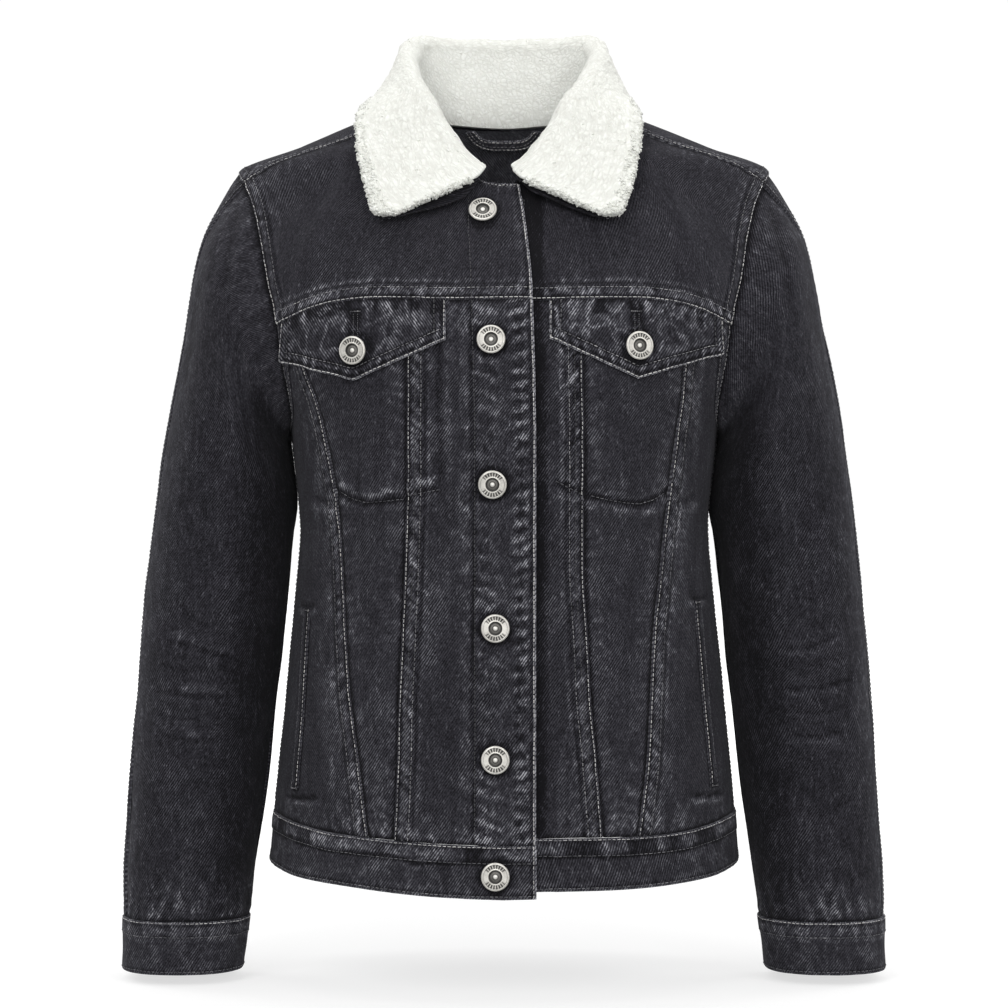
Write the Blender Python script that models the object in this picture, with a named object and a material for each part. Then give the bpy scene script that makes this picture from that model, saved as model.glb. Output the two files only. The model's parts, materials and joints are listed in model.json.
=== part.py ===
"""Denim trucker jacket with a pile-faced collar, filled out as when worn.

Metres, +Z up, the wearer faces -Y. The origin is on the midline at back-neck
level, midway between the shoulders. R is the wearer's right (-X), L the left.

One body surface (a stack of superellipse rings) carries every body panel. The
seams are curves on that surface, a panel is the patch between its four seams,
and its wall is that patch and the same patch moved inward by the cloth's
thickness. Pieces laid on a panel are patches of the same surface moved out.
"""

import math

import bmesh
import bpy
import numpy as np

# ------------------------------------------------------------------ sizes
CLOTH = 0.0018        # one denim wall
BAND = 0.0028         # waistband and cuffs: folded double
STAND_OFF = 0.00017   # each piece stops this far short of its seam line
LAY = 0.0006          # air between a panel and what is laid on it
PILE = 0.0060         # pile collar facing
UNDER = 0.0016        # denim under collar
ROLL = 0.0032         # inner radius of the collar's fold
LAP_OUT = 0.0015      # right front lifts by this where it laps over the left
LAP_IN = 0.0015       # left front sinks by this under the lap
FRONT_EDGE = 0.0225   # right front's free edge, past the midline
UNDER_EDGE = 0.0180   # left front's edge, past the midline the other way
COLLAR_DRIFT = -0.0040  # the buttoned collar sits this far to the wearer's right
BUTTON_D = 0.0200     # shank buttons
WELT_W = 0.0085       # side pocket welt

# Body rings: height, half width, depth in front and behind, superellipse power
BODY = (
    # z       half    front   back    power
    (-0.560, 0.1745, 0.1180, 0.1120, 2.35),
    (-0.545, 0.1735, 0.1180, 0.1120, 2.35),
    (-0.505, 0.1712, 0.1170, 0.1100, 2.35),
    (-0.425, 0.1635, 0.1150, 0.1080, 2.35),
    (-0.350, 0.1558, 0.1150, 0.1070, 2.35),
    (-0.290, 0.1513, 0.1180, 0.1090, 2.38),
    (-0.252, 0.1543, 0.1225, 0.1130, 2.40),
    (-0.225, 0.1580, 0.1250, 0.1160, 2.42),
    (-0.180, 0.1790, 0.1270, 0.1190, 2.42),
    (-0.130, 0.1950, 0.1190, 0.1180, 2.40),
    (-0.085, 0.2035, 0.0980, 0.1100, 2.35),
    (-0.050, 0.2025, 0.0770, 0.0960, 2.30),
    (-0.033, 0.1965, 0.0680, 0.0880, 2.25),
    (-0.015, 0.1510, 0.0600, 0.0770, 2.20),
    (0.003, 0.1070, 0.0530, 0.0640, 2.20),
    (0.014, 0.0805, 0.0480, 0.0530, 2.20),
    (0.022, 0.0600, 0.0440, 0.0460, 2.20),
)

# Lengthwise seams of the front, as distances from the midline
PANEL_SEAMS = (
    # z      inner_R inner_L outer_R outer_L
    (-0.140, 0.0680, 0.0540, 0.1480, 0.1330),
    (-0.181, 0.0680, 0.0550, 0.1420, 0.1275),
    (-0.206, 0.0680, 0.0555, 0.1330, 0.1255),
    (-0.232, 0.0680, 0.0560, 0.1265, 0.1220),
    (-0.262, 0.0680, 0.0560, 0.1205, 0.1180),
    (-0.300, 0.0690, 0.0560, 0.1160, 0.1135),
    (-0.333, 0.0700, 0.0565, 0.1140, 0.1100),
    (-0.374, 0.0720, 0.0590, 0.1120, 0.1055),
    (-0.416, 0.0740, 0.0610, 0.1090, 0.1035),
    (-0.459, 0.0750, 0.0650, 0.1030, 0.1010),
    (-0.520, 0.0775, 0.0700, 0.0950, 0.0935),
)

# Yoke seam in front, and the waistband's two edges, by distance from the midline
YOKE_SEAM = ((0.000, -0.1375), (0.050, -0.1370), (0.090, -0.1360), (0.118, -0.1380),
             (0.135, -0.1415), (0.150, -0.1470), (0.1615, -0.1525))
WAIST_TOP = ((0.000, -0.5170), (0.070, -0.5155), (0.120, -0.5135), (0.150, -0.5095),
             (0.165, -0.5065), (0.180, -0.5050))
WAIST_LOW = ((0.000, -0.5545), (0.070, -0.5525), (0.120, -0.5495), (0.150, -0.5470),
             (0.165, -0.5440), (0.180, -0.5410))
WAIST_STEP = 0.0022   # the right end of the waistband sits lower, the left higher

# Armhole in front, from the shoulder seam to the underarm, and behind
ARMHOLE_FRONT = ((0.1900, -0.0450), (0.1830, -0.0620), (0.1770, -0.0840), (0.1725, -0.1060),
                 (0.1680, -0.1270), (0.1635, -0.1440), (0.1615, -0.1525), (0.1585, -0.1780),
                 (0.1555, -0.1950), (0.1535, -0.2110), (0.1545, -0.2215))
ARMHOLE_BACK = ((0.1930, -0.0430), (0.1870, -0.0620), (0.1815, -0.0870), (0.1765, -0.1150),
                (0.1715, -0.1450), (0.1655, -0.1740), (0.1595, -0.1990), (0.1555, -0.2150))
SHOULDER_TIP = (0.1965, -0.0330)
UNDERARM = (0.1583, -0.2270)
BACK_YOKE_Z = -0.1450

# Neckline from the front edge to the shoulder seam, then on to the back neck
NECK_FRONT = ((0.0105, -0.0495), (0.0215, -0.0385), (0.0340, -0.0235), (0.0470, -0.0085),
              (0.0570, 0.0025), (0.0660, 0.0100))
NECK_BACK = ((0.0755, 0.0137), (0.0785, 0.0143), (0.0630, 0.0135), (0.0380, 0.0115), (0.0, 0.0100))
SHOULDER_SEAM = ((0.0660, 0.0100), (0.0850, 0.0005), (0.1050, -0.0110), (0.1400, -0.0230),
                 (0.1690, -0.0330), (0.1900, -0.0450))

# Sleeve rings, each a tilted ellipse from its outer to its inner point
SLEEVE = (
    # outer_x outer_z  inner_x inner_z  half_depth mid_y
    (0.2225, -0.0830, 0.1600, -0.2350, 0.0735, 0.002),
    (0.2385, -0.1600, 0.1585, -0.2525, 0.0700, 0.004),
    (0.2520, -0.2320, 0.1545, -0.2800, 0.0655, 0.006),
    (0.2610, -0.2960, 0.1575, -0.3180, 0.0610, 0.006),
    (0.2675, -0.3520, 0.1602, -0.3580, 0.0580, 0.004),
    (0.2705, -0.3920, 0.1640, -0.3930, 0.0565, 0.001),
    (0.2730, -0.4300, 0.1690, -0.4300, 0.0545, -0.002),
    (0.2762, -0.4750, 0.1745, -0.4750, 0.0510, -0.006),
    (0.2788, -0.5250, 0.1808, -0.5250, 0.0460, -0.010),
    (0.2803, -0.5600, 0.1852, -0.5600, 0.0420, -0.012),
    (0.2808, -0.5828, 0.1880, -0.5828, 0.0390, -0.013),
)
CUFF = ((0.2812, -0.5834, 0.1880, -0.5834, 0.0392, -0.013),
        (0.2820, -0.6220, 0.1925, -0.6220, 0.0372, -0.014))
SLEEVE_SEAM = 0.055    # outer sleeve seam, as a share of the way round, forward of the outermost line

# Largest soft folds of the sleeve: where along it, how deep, how long, its slant
SLEEVE_FOLDS = (
    # z_mid   depth   half_height slant
    (-0.372, 0.0022, 0.010, 0.22),
    (-0.407, 0.0026, 0.009, -0.16),
    (-0.441, 0.0020, 0.010, 0.20),
)

# Collar sections: neck seam (x, z and which face), top of the stand, leaf edge
COLLAR = (
    # nx      nz     rear  stand x, y, z             leaf edge x, y, z
    (0.0000, 0.0100, 1, 0.0000, 0.0610, 0.0680, 0.0000, 0.0800, 0.0480),
    (0.0380, 0.0115, 1, 0.0385, 0.0560, 0.0680, 0.0470, 0.0760, 0.0460),
    (0.0630, 0.0135, 1, 0.0630, 0.0380, 0.0660, 0.0790, 0.0560, 0.0340),
    (0.0785, 0.0143, 1, 0.0695, 0.0140, 0.0520, 0.0960, 0.0280, 0.0160),
    (0.0755, 0.0137, 0, 0.0680, -0.0150, 0.0360, 0.1010, -0.0050, 0.0120),
    (0.0605, 0.0060, 0, 0.0600, -0.0390, 0.0190, 0.1015, -0.0400, 0.0005),
    (0.0470, -0.0085, 0, 0.0490, -0.0520, 0.0025, 0.0990, -0.0640, -0.0280),
    (0.0340, -0.0235, 0, 0.0380, -0.0630, -0.0140, 0.0940, -0.0800, -0.0510),
    (0.0215, -0.0385, 0, 0.0250, -0.0730, -0.0310, 0.0870, -0.0920, -0.0690),
    (0.0105, -0.0495, 0, 0.0125, -0.0805, -0.0440, 0.0800, -0.0965, -0.0750),
)

# Chest flaps: outline below the yoke seam; the tip is the lowest corner
FLAPS = (
    # side outer_x outer_z  tip_x   tip_z   inner_x inner_z
    ("R", 0.1575, -0.1780, 0.1040, -0.1930, 0.0405, -0.1660),
    ("L", 0.1540, -0.1730, 0.0930, -0.1920, 0.0315, -0.1650),
)
# Side pocket welts: upper and lower end of the inner edge
WELTS = (("R", 0.1415, -0.3620, 0.1500, -0.4860), ("L", 0.1380, -0.3560, 0.1495, -0.4840))
# Buttons: name, x, z
BUTTONS = (
    ("button_1", -0.0150, -0.0735), ("button_2", -0.0090, -0.1660),
    ("button_3", -0.0080, -0.2660), ("button_4", -0.0060, -0.3670),
    ("button_5", -0.0060, -0.4590), ("button_6", -0.0060, -0.5400),
)
FLAP_BUTTONS = (("flap_button_R", -0.1040, -0.1725), ("flap_button_L", 0.0930, -0.1695))
# Turned button: radius and height above its seat, as shares of its diameter
BUTTON_PROFILE = ((0.000, 0.000), (0.180, 0.000), (0.200, 0.060), (0.430, 0.060), (0.500, 0.110),
                  (0.460, 0.165), (0.400, 0.180), (0.205, 0.150), (0.180, 0.095), (0.110, 0.095),
                  (0.070, 0.150), (0.000, 0.160))

# Rows and columns of the patches
COLS_CENTRE, COLS_POCKET, COLS_SIDE = 5, 4, 6
ROWS_SIDE, ROWS_ARM, ROWS_ARM_BACK = 7, 5, 4   # below and above the underarm
ROWS_YOKE = 4
COLS_BACK, ROWS_BACK_YOKE = 20, 7
COLS_SHOULDER = 5      # of a yoke's columns, how many end at the shoulder seam
COLLAR_COLS = 13       # each side of the midline
COLLAR_SPANS = (2, 4, 3)  # stand, fold, leaf

DENIM_COLOUR = (0.034, 0.033, 0.039, 1.0)
PILE_COLOUR = (0.86, 0.87, 0.83, 1.0)
METAL_COLOUR = (0.62, 0.60, 0.57, 1.0)


# ------------------------------------------------------------------ curves
def monotone(x, y, t):
    """Monotone cubic through the rows (x ascending, y of any width), read at t."""
    x = np.asarray(x, float)
    y = np.asarray(y, float).reshape(len(x), -1)
    t = np.asarray(t, float)
    h = np.diff(x)
    d = np.diff(y, axis=0) / h[:, None]
    m = np.zeros_like(y)
    m[0], m[-1] = d[0], d[-1]
    prod = d[:-1] * d[1:]
    both = np.where(prod > 0, d[:-1] + d[1:], 1.0)
    m[1:-1] = np.where(prod > 0, 2 * prod / both, 0.0)
    k = np.clip(np.searchsorted(x, t) - 1, 0, len(x) - 2)
    s = np.clip((t - x[k]) / h[k], 0.0, 1.0)[..., None]
    hk = h[k][..., None]
    return ((1 + 2 * s) * (1 - s) ** 2 * y[k] + s * (1 - s) ** 2 * hk * m[k]
            + s * s * (3 - 2 * s) * y[k + 1] + s * s * (s - 1) * hk * m[k + 1])


def through(points, t):
    """Smooth curve through the points (Catmull-Rom on chord length), at shares t of it."""
    p = np.asarray(points, float)
    step = np.linalg.norm(np.diff(p, axis=0), axis=1)
    s = np.concatenate([[0.0], np.cumsum(step)])
    s /= s[-1]
    m = np.zeros_like(p)
    for i in range(len(p)):
        a, b = max(i - 1, 0), min(i + 1, len(p) - 1)
        m[i] = (p[b] - p[a]) / (s[b] - s[a])
    t = np.asarray(t, float)
    k = np.clip(np.searchsorted(s, t) - 1, 0, len(p) - 2)
    h = (s[k + 1] - s[k])[:, None]
    w = np.clip((t - s[k])[:, None] / h, 0, 1)
    return ((1 + 2 * w) * (1 - w) ** 2 * p[k] + w * (1 - w) ** 2 * h * m[k]
            + w * w * (3 - 2 * w) * p[k + 1] + w * w * (w - 1) * h * m[k + 1])


def smooth(a, b, x):
    w = np.clip((x - a) / (b - a), 0, 1)
    return w * w * (3 - 2 * w)


# ------------------------------------------------------------ body surface
RING = np.array(BODY)


def ring(z):
    return monotone(RING[:, 0], RING[:, 1:], z)


def body(phi, z):
    """Point of the body surface: phi is 0 in front, +pi/2 at the wearer's left."""
    phi, z = np.broadcast_arrays(np.asarray(phi, float), np.asarray(z, float))
    half, front, back, power = np.moveaxis(ring(z), -1, 0)
    s, c = np.sin(phi), np.cos(phi)
    depth = np.where(c > 0, front, back)
    r = (np.abs(s / half) ** power + np.abs(c / depth) ** power) ** (-1 / power)
    return np.stack([r * s, -r * c, z], -1)


def body_normal(phi, z):
    e = 1e-4
    a = body(phi + e, z) - body(phi - e, z)
    b = body(phi, z + e) - body(phi, z - e)
    n = np.cross(a, b)
    return n / np.linalg.norm(n, axis=-1, keepdims=True)


def angle(x, z, rear=False):
    """phi of the surface point at this x and height, in front or behind."""
    x, z = np.broadcast_arrays(np.asarray(x, float), np.asarray(z, float))
    half, front, back, power = np.moveaxis(ring(z), -1, 0)
    w = np.clip(np.abs(x) / half, 0, 1)
    y = (1 - w ** power) ** (1 / power) * (back if rear else front)
    return np.sign(x) * (np.pi - np.arctan2(np.abs(x), y) if rear else np.arctan2(np.abs(x), y))


def lap(side, x):
    """How far the front moves out (right front) or in (left front) at its lap."""
    if side == "R":
        return LAP_OUT * smooth(-0.036, -0.018, x)
    return -LAP_IN * smooth(-0.040, -0.027, -x)


# ------------------------------------------------------------ patches
RUN_Z = np.linspace(RING[0, 0], RING[-1, 0], 401)
RUN = np.concatenate([[0.0], np.cumsum(np.hypot(np.diff(RUN_Z), np.diff(ring(RUN_Z)[:, 0])))])


def coons(low, top, left, right):
    """Grid of surface coordinates between four edge curves that share corners.
    Height is blended as length along the side profile, which the shoulders need."""
    low, top, left, right = (np.stack([c[:, 0], np.interp(c[:, 1], RUN_Z, RUN)], -1)
                             for c in (low, top, left, right))
    grid = blended(low, top, left, right)
    grid[..., 1] = np.interp(grid[..., 1], RUN, RUN_Z)
    return grid


def blended(low, top, left, right):
    nu, nv = len(low) - 1, len(left) - 1
    u = np.linspace(0, 1, nu + 1)[:, None, None]
    v = np.linspace(0, 1, nv + 1)[None, :, None]
    grid = (1 - v) * low[:, None] + v * top[:, None] + (1 - u) * left[None] + u * right[None]
    return grid - ((1 - u) * (1 - v) * low[0] + u * (1 - v) * low[-1]
                   + (1 - u) * v * top[0] + u * v * top[-1])


def unit(v):
    return v / np.maximum(np.linalg.norm(v, axis=-1, keepdims=True), 1e-12)


def drawn_in(p, sides="lrbt", by=STAND_OFF):
    """Moves the grid's edges in by the stand-off, square to each edge."""
    q = p.copy()
    for s in sides:
        edge, nxt = {"l": (0, 1), "r": (-1, -2)}.get(s, (0, 1) if s == "b" else (-1, -2))
        a = p if s in "lr" else p.swapaxes(0, 1)
        along = unit(np.gradient(a[edge], axis=0))
        inward = a[nxt] - a[edge]
        inward -= (inward * along).sum(-1, keepdims=True) * along
        move = by * unit(inward)
        if s in "lr":
            q[edge] += move
        else:
            q[:, edge] += move
    return q


def solid(name, outer, inner, colour, closed=False):
    """Closed wall between two grids of points; closed joins the last column to the first."""
    nu, nv = outer.shape[:2]
    bm = bmesh.new()
    o = [[bm.verts.new(outer[i, j]) for j in range(nv)] for i in range(nu)]
    n = [[bm.verts.new(inner[i, j]) for j in range(nv)] for i in range(nu)]
    spans = nu if closed else nu - 1
    for i in range(spans):
        k = (i + 1) % nu
        for j in range(nv - 1):
            # each four-cornered cell is folded along its shorter diagonal
            if np.linalg.norm(outer[i, j] - outer[k, j + 1]) <= np.linalg.norm(outer[k, j] - outer[i, j + 1]):
                cells = ((0, 1, 2), (0, 2, 3))
            else:
                cells = ((0, 1, 3), (1, 2, 3))
            for w in (o, n):
                corners = (w[i][j], w[k][j], w[k][j + 1], w[i][j + 1])
                for cell in cells:
                    bm.faces.new([corners[c] for c in cell])
        for j in (0, nv - 1):
            bm.faces.new((o[i][j], n[i][j], n[k][j], o[k][j]))
    if not closed:
        for i in (0, nu - 1):
            for j in range(nv - 1):
                bm.faces.new((o[i][j], o[i][j + 1], n[i][j + 1], n[i][j]))
    return finish(name, bm, colour)


def finish(name, bm, colour, sharp=40, metallic=0.0, roughness=0.9):
    bmesh.ops.recalc_face_normals(bm, faces=bm.faces)
    mesh = bpy.data.meshes.new(name)
    bm.to_mesh(mesh)
    bm.free()
    mesh.shade_smooth()
    mesh.set_sharp_from_angle(angle=math.radians(sharp))
    ob = bpy.data.objects.new(name, mesh)
    bpy.context.scene.collection.objects.link(ob)
    mat = bpy.data.materials.new(name)
    mat.use_nodes = True
    bsdf = mat.node_tree.nodes["Principled BSDF"]
    bsdf.inputs["Base Color"].default_value = colour
    bsdf.inputs["Roughness"].default_value = roughness
    bsdf.inputs["Metallic"].default_value = metallic
    mesh.materials.append(mat)
    return ob


def body_piece(name, grid, side=None, out=0.0, thick=CLOTH, sides="lrbt", colour=DENIM_COLOUR):
    """A panel: the patch of the body surface over grid, moved out, with its wall."""
    phi, z = grid[..., 0], grid[..., 1]
    p, n = body(phi, z), body_normal(phi, z)
    rise = out + (lap(side, p[..., 0]) if side else 0.0)
    p = drawn_in(p + n * np.broadcast_to(rise, phi.shape)[..., None], sides)
    return solid(name, p, p - n * thick, colour)


# ------------------------------------------------------------ front seams
def sgn(side):
    return -1.0 if side == "R" else 1.0


def on_front(side, rows, t):
    """Curve through rows of (distance from the midline, height) on the front."""
    q = through(rows, t)
    return np.stack([angle(sgn(side) * q[:, 0], q[:, 1]), q[:, 1]], -1)


def front_edge(side, z):
    """Signed x of a front's centre edge at this height."""
    edge = monotone((-0.56, -0.25, -0.13, -0.085, -0.050),
                    (FRONT_EDGE, FRONT_EDGE, 0.0200, 0.0160, 0.0110), z)[..., 0]
    return edge if side == "R" else -UNDER_EDGE * np.ones_like(z)


def waist(table, side, x):
    """Height of a waistband edge at signed x on the front."""
    step = WAIST_STEP * (1 - smooth(0.030, 0.120, np.abs(x)))
    rows = np.array(table)
    return monotone(rows[:, 0], rows[:, 1], np.abs(x))[..., 0] + (-step if side == "R" else step)


def yoke_z(x):
    rows = np.array(YOKE_SEAM)
    return monotone(rows[:, 0], rows[:, 1], np.abs(x))[..., 0]


def seam_x(side, which, z):
    rows = np.array(PANEL_SEAMS)[::-1]
    col = {"innerR": 1, "innerL": 2, "outerR": 3, "outerL": 4}[which + side]
    return sgn(side) * monotone(rows[:, 0], rows[:, col], z)[..., 0]


def arm_curve(rear, z_low, z_high, n):
    """Left armhole between two heights (None is the underarm), n equal lengths, going up."""
    rows = ARMHOLE_BACK if rear else ARMHOLE_FRONT
    line = [(np.pi / 2, UNDERARM[1])] if z_low is None else []
    line += [(float(angle(a, b, rear)), b) for a, b in rows[::-1]
             if (z_low is None or b >= z_low) and b <= z_high]
    if rear and z_high > SHOULDER_TIP[1]:
        line += [(np.pi / 2, SHOULDER_TIP[1]),
                 (float(angle(*ARMHOLE_FRONT[0])), ARMHOLE_FRONT[0][1])]
    line = np.array(line)
    dense = through(line * np.array([0.12, 1.0]), np.linspace(0, 1, 161)) / np.array([0.12, 1.0])
    step = np.linalg.norm(np.diff(body(dense[:, 0], dense[:, 1]), axis=0), axis=1)
    s = np.concatenate([[0], np.cumsum(step)]) / step.sum()
    at = np.linspace(0, 1, n + 1)
    return np.stack([np.interp(at, s, dense[:, 0]), np.interp(at, s, dense[:, 1])], -1)


def seam_line(side, which):
    """A lengthwise seam from the waistband to the yoke seam, in the rows of the side seam."""
    top = ARMHOLE_FRONT[6][1]
    share = (UNDERARM[1] - WAIST_TOP[-1][1]) / (top - WAIST_TOP[-1][1])
    v = np.concatenate([np.linspace(0, share, ROWS_SIDE + 1), np.linspace(share, 1, ROWS_ARM + 1)[1:]])
    if which == "edge":
        x0 = front_edge(side, np.array(-0.51))
        x1 = front_edge(side, np.array(-0.1375))
        z0, z1 = waist(WAIST_TOP, side, x0), yoke_z(x1)
        z = z0 + (z1 - z0) * v
        x = front_edge(side, z)
    elif which == "side":
        z0 = WAIST_TOP[-1][1]
        low = np.stack([np.full(ROWS_SIDE, np.pi / 2),
                        np.linspace(z0, UNDERARM[1], ROWS_SIDE + 1)[:-1]], -1)
        q = np.vstack([low, arm_curve(False, None, ARMHOLE_FRONT[6][1], ROWS_ARM)])
        return q * np.array([sgn(side), 1.0])
    else:
        x0, x1 = seam_x(side, which, np.array(-0.515)), seam_x(side, which, np.array(-0.140))
        z0, z1 = waist(WAIST_TOP, side, x0), yoke_z(x1)
        z = z0 + (z1 - z0) * v
        x = seam_x(side, which, z)
    return np.stack([angle(x, z), z], -1)


def level_line(side, a, b, n, height):
    """Between two surface points, with x spread evenly in phi and z from height(x)."""
    phi = np.linspace(a[0], b[0], n + 1)
    z = a[1] + (b[1] - a[1]) * np.linspace(0, 1, n + 1)
    for _ in range(4):
        z = height(body(phi, z)[:, 0])
    z[0], z[-1] = a[1], b[1]
    return np.stack([phi, z], -1)


def front_lines(side, cols=(COLS_CENTRE, COLS_POCKET, COLS_SIDE)):
    names = ("edge", "inner", "outer", "side")
    up = [seam_line(side, n) for n in names]
    low = [level_line(side, up[i][0], up[i + 1][0], cols[i], lambda x: waist(WAIST_TOP, side, x))
           for i in range(3)]
    top = [level_line(side, up[i][-1], up[i + 1][-1], cols[i], yoke_z) for i in range(3)]
    return up, low, top


def yoke_grid(side, top, rows=ROWS_YOKE):
    """Front yoke: yoke seam below, neckline and shoulder seam above."""
    low = np.vstack([top[0], top[1][1:], top[2][1:]])
    n = len(low) - 1
    v = np.linspace(0, 1, rows + 1)
    z_top = -0.0520
    x_top = front_edge(side, np.array(z_top))
    z = low[0, 1] + (z_top - low[0, 1]) * v
    x = front_edge(side, z)
    left = np.stack([angle(x, z), z], -1)
    left[0] = low[0]
    right = arm_curve(False, ARMHOLE_FRONT[6][1], 0.0, rows) * np.array([sgn(side), 1.0])
    right[0] = low[-1]
    s = sgn(side)
    neck = [(s * float(x_top), z_top)]
    neck += [(a + s * COLLAR_DRIFT * float(smooth(0.070, 0.020, a)), b) for a, b in NECK_FRONT]
    n_neck = n - COLS_SHOULDER
    a = on_front(side, neck, np.linspace(0, 1, n_neck + 1))
    b = on_front(side, SHOULDER_SEAM, np.linspace(0, 1, n - n_neck + 1))
    up = np.vstack([a, b[1:]])
    left[-1], right[-1] = up[0], up[-1]
    return coons(low, up, left, right)


# ------------------------------------------------------------ back
def back_lines(cols=COLS_BACK):
    """Back panel grid from the left side seam round to the right one."""
    phi = np.linspace(np.pi / 2, 3 * np.pi / 2, cols + 1)
    z0 = WAIST_TOP[-1][1]
    low = np.stack([phi, np.full(cols + 1, z0)], -1)
    seam = np.stack([np.full(ROWS_SIDE, np.pi / 2),
                     np.linspace(z0, UNDERARM[1], ROWS_SIDE + 1)[:-1]], -1)
    left = np.vstack([seam, arm_curve(True, None, BACK_YOKE_Z, ROWS_ARM_BACK)])
    right = np.stack([2 * np.pi - left[:, 0], left[:, 1]], -1)
    top = np.stack([np.linspace(left[-1, 0], right[-1, 0], cols + 1),
                    np.full(cols + 1, left[-1, 1])], -1)
    return low, top, left, right


def back_yoke_grid(top, rows=ROWS_BACK_YOKE):
    """Back yoke half from the midline to the wearer's left, wrapping over the shoulder."""
    n = len(top) // 2
    low = top[:n + 1][::-1]  # midline first, armhole last
    v = np.linspace(0, 1, rows + 1)
    neck = [(float(angle(a, b, True)), b) for a, b in NECK_BACK[::-1][:-1]]
    neck += [(float(angle(a, b)), b) for a, b in (NECK_BACK[0], NECK_FRONT[-1])]
    neck[0] = (np.pi, NECK_BACK[-1][1])
    n_neck = n - COLS_SHOULDER
    a = through(neck, np.linspace(0, 1, n_neck + 1))
    b = on_front("L", SHOULDER_SEAM, np.linspace(0, 1, n - n_neck + 1))
    up = np.vstack([a, b[1:]])
    right = arm_curve(True, BACK_YOKE_Z, 0.0, rows)
    left = np.stack([np.full(rows + 1, np.pi), low[0, 1] + (up[0, 1] - low[0, 1]) * v], -1)
    right[0], right[-1] = low[-1], up[-1]
    return coons(low, up, left, right)


# ------------------------------------------------------------ sleeves
def armhole():
    """The left armhole as the body panels' own corners: from the shoulder seam forward and
    down to the underarm, then up the back and over the shoulder. Also where the back starts."""
    yoke = arm_curve(False, ARMHOLE_FRONT[6][1], 0.0, ROWS_YOKE)[::-1]
    side = arm_curve(False, None, ARMHOLE_FRONT[6][1], ROWS_ARM)[::-1]
    back = arm_curve(True, None, BACK_YOKE_Z, ROWS_ARM_BACK)
    top = arm_curve(True, BACK_YOKE_Z, 0.0, ROWS_BACK_YOKE)
    return np.vstack([yoke, side[1:], back[1:], top[1:-1]]), ROWS_YOKE + ROWS_ARM


def sleeve_ring(row, t):
    ox, oz, ix, iz, depth, my = row
    a = 2 * np.pi * t
    mid = np.array([(ox + ix) / 2, my, (oz + iz) / 2])
    axis = np.array([(ox - ix) / 2, 0, (oz - iz) / 2])
    across = np.array([0, -depth, 0])
    p = 1.0 + 0.03 * np.sin(2 * a) ** 2  # slightly squarer than an ellipse
    return mid + p[:, None] * (np.cos(a)[:, None] * axis + np.sin(a)[:, None] * across)


def sleeve_points(hole, n_front, levels):
    """Grid of the left sleeve: columns start at the armhole's corners, levels 0..1 run down it."""
    n = len(hole)
    start = body(hole[:, 0], hole[:, 1])
    length = np.linalg.norm(np.roll(start, -1, 0) - start, axis=1)
    s = np.concatenate([[0], np.cumsum(length)])
    front = SLEEVE_SEAM + (0.5 - SLEEVE_SEAM) * s[:n_front] / s[n_front]
    back = 0.5 + (0.5 + SLEEVE_SEAM) * (s[n_front:n] - s[n_front]) / (s[n] - s[n_front])
    own = np.concatenate([front, back])
    even = np.concatenate([SLEEVE_SEAM + (0.5 - SLEEVE_SEAM) * np.arange(n_front) / n_front,
                           0.5 + (0.5 + SLEEVE_SEAM) * np.arange(n - n_front) / (n - n_front)])
    rings = [start]
    for i, row in enumerate(SLEEVE):
        w = float(smooth(0, 4, np.array(i + 1.0)))
        rings.append(sleeve_ring(row, own * (1 - w) + even * w))
    rings = np.array(rings)                       # ring, round, xyz
    out = np.empty((n, len(levels), 3))
    # one measure of length down the sleeve for all columns keeps the rings whole
    mid = rings.mean(1)
    step = np.linalg.norm(np.diff(mid, axis=0), axis=1)
    s = np.concatenate([[0], np.cumsum(step)])
    s /= s[-1]
    for i in range(n):
        p = rings[:, i]
        m = np.zeros_like(p)
        for k in range(len(p)):
            a, b = max(k - 1, 0), min(k + 1, len(p) - 1)
            m[k] = (p[b] - p[a]) / (s[b] - s[a])
        k = np.clip(np.searchsorted(s, levels) - 1, 0, len(p) - 2)
        h = (s[k + 1] - s[k])[:, None]
        w = np.clip((levels - s[k])[:, None] / h, 0, 1)
        out[i] = ((1 + 2 * w) * (1 - w) ** 2 * p[k] + w * (1 - w) ** 2 * h * m[k]
                  + w * w * (3 - 2 * w) * p[k + 1] + w * w * (w - 1) * h * m[k + 1])
    return out


def grid_normals(p, wrap=True):
    if wrap:
        du = np.roll(p, -1, 0) - np.roll(p, 1, 0)
    else:
        du = np.gradient(p, axis=0)
    dv = np.gradient(p, axis=1)
    return unit(np.cross(du, dv))


def sleeve_folds(p, n):
    """Soft troughs across the front of the elbow."""
    face = np.clip(-n[..., 1], 0, 1)
    drop = np.zeros(p.shape[:2])
    for z_mid, depth, half, slant in SLEEVE_FOLDS:
        line = z_mid + slant * (p[..., 0] - 0.215)
        drop += depth * face * np.exp(-((p[..., 2] - line) / half) ** 2)
    return p - n * drop[..., None]


SLEEVE_LEVELS = np.concatenate([[0.0, 0.025], np.linspace(0.065, 0.47, 6)[:-1],
                                np.linspace(0.47, 0.76, 9)[:-1], np.linspace(0.76, 1.0, 4)])


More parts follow.
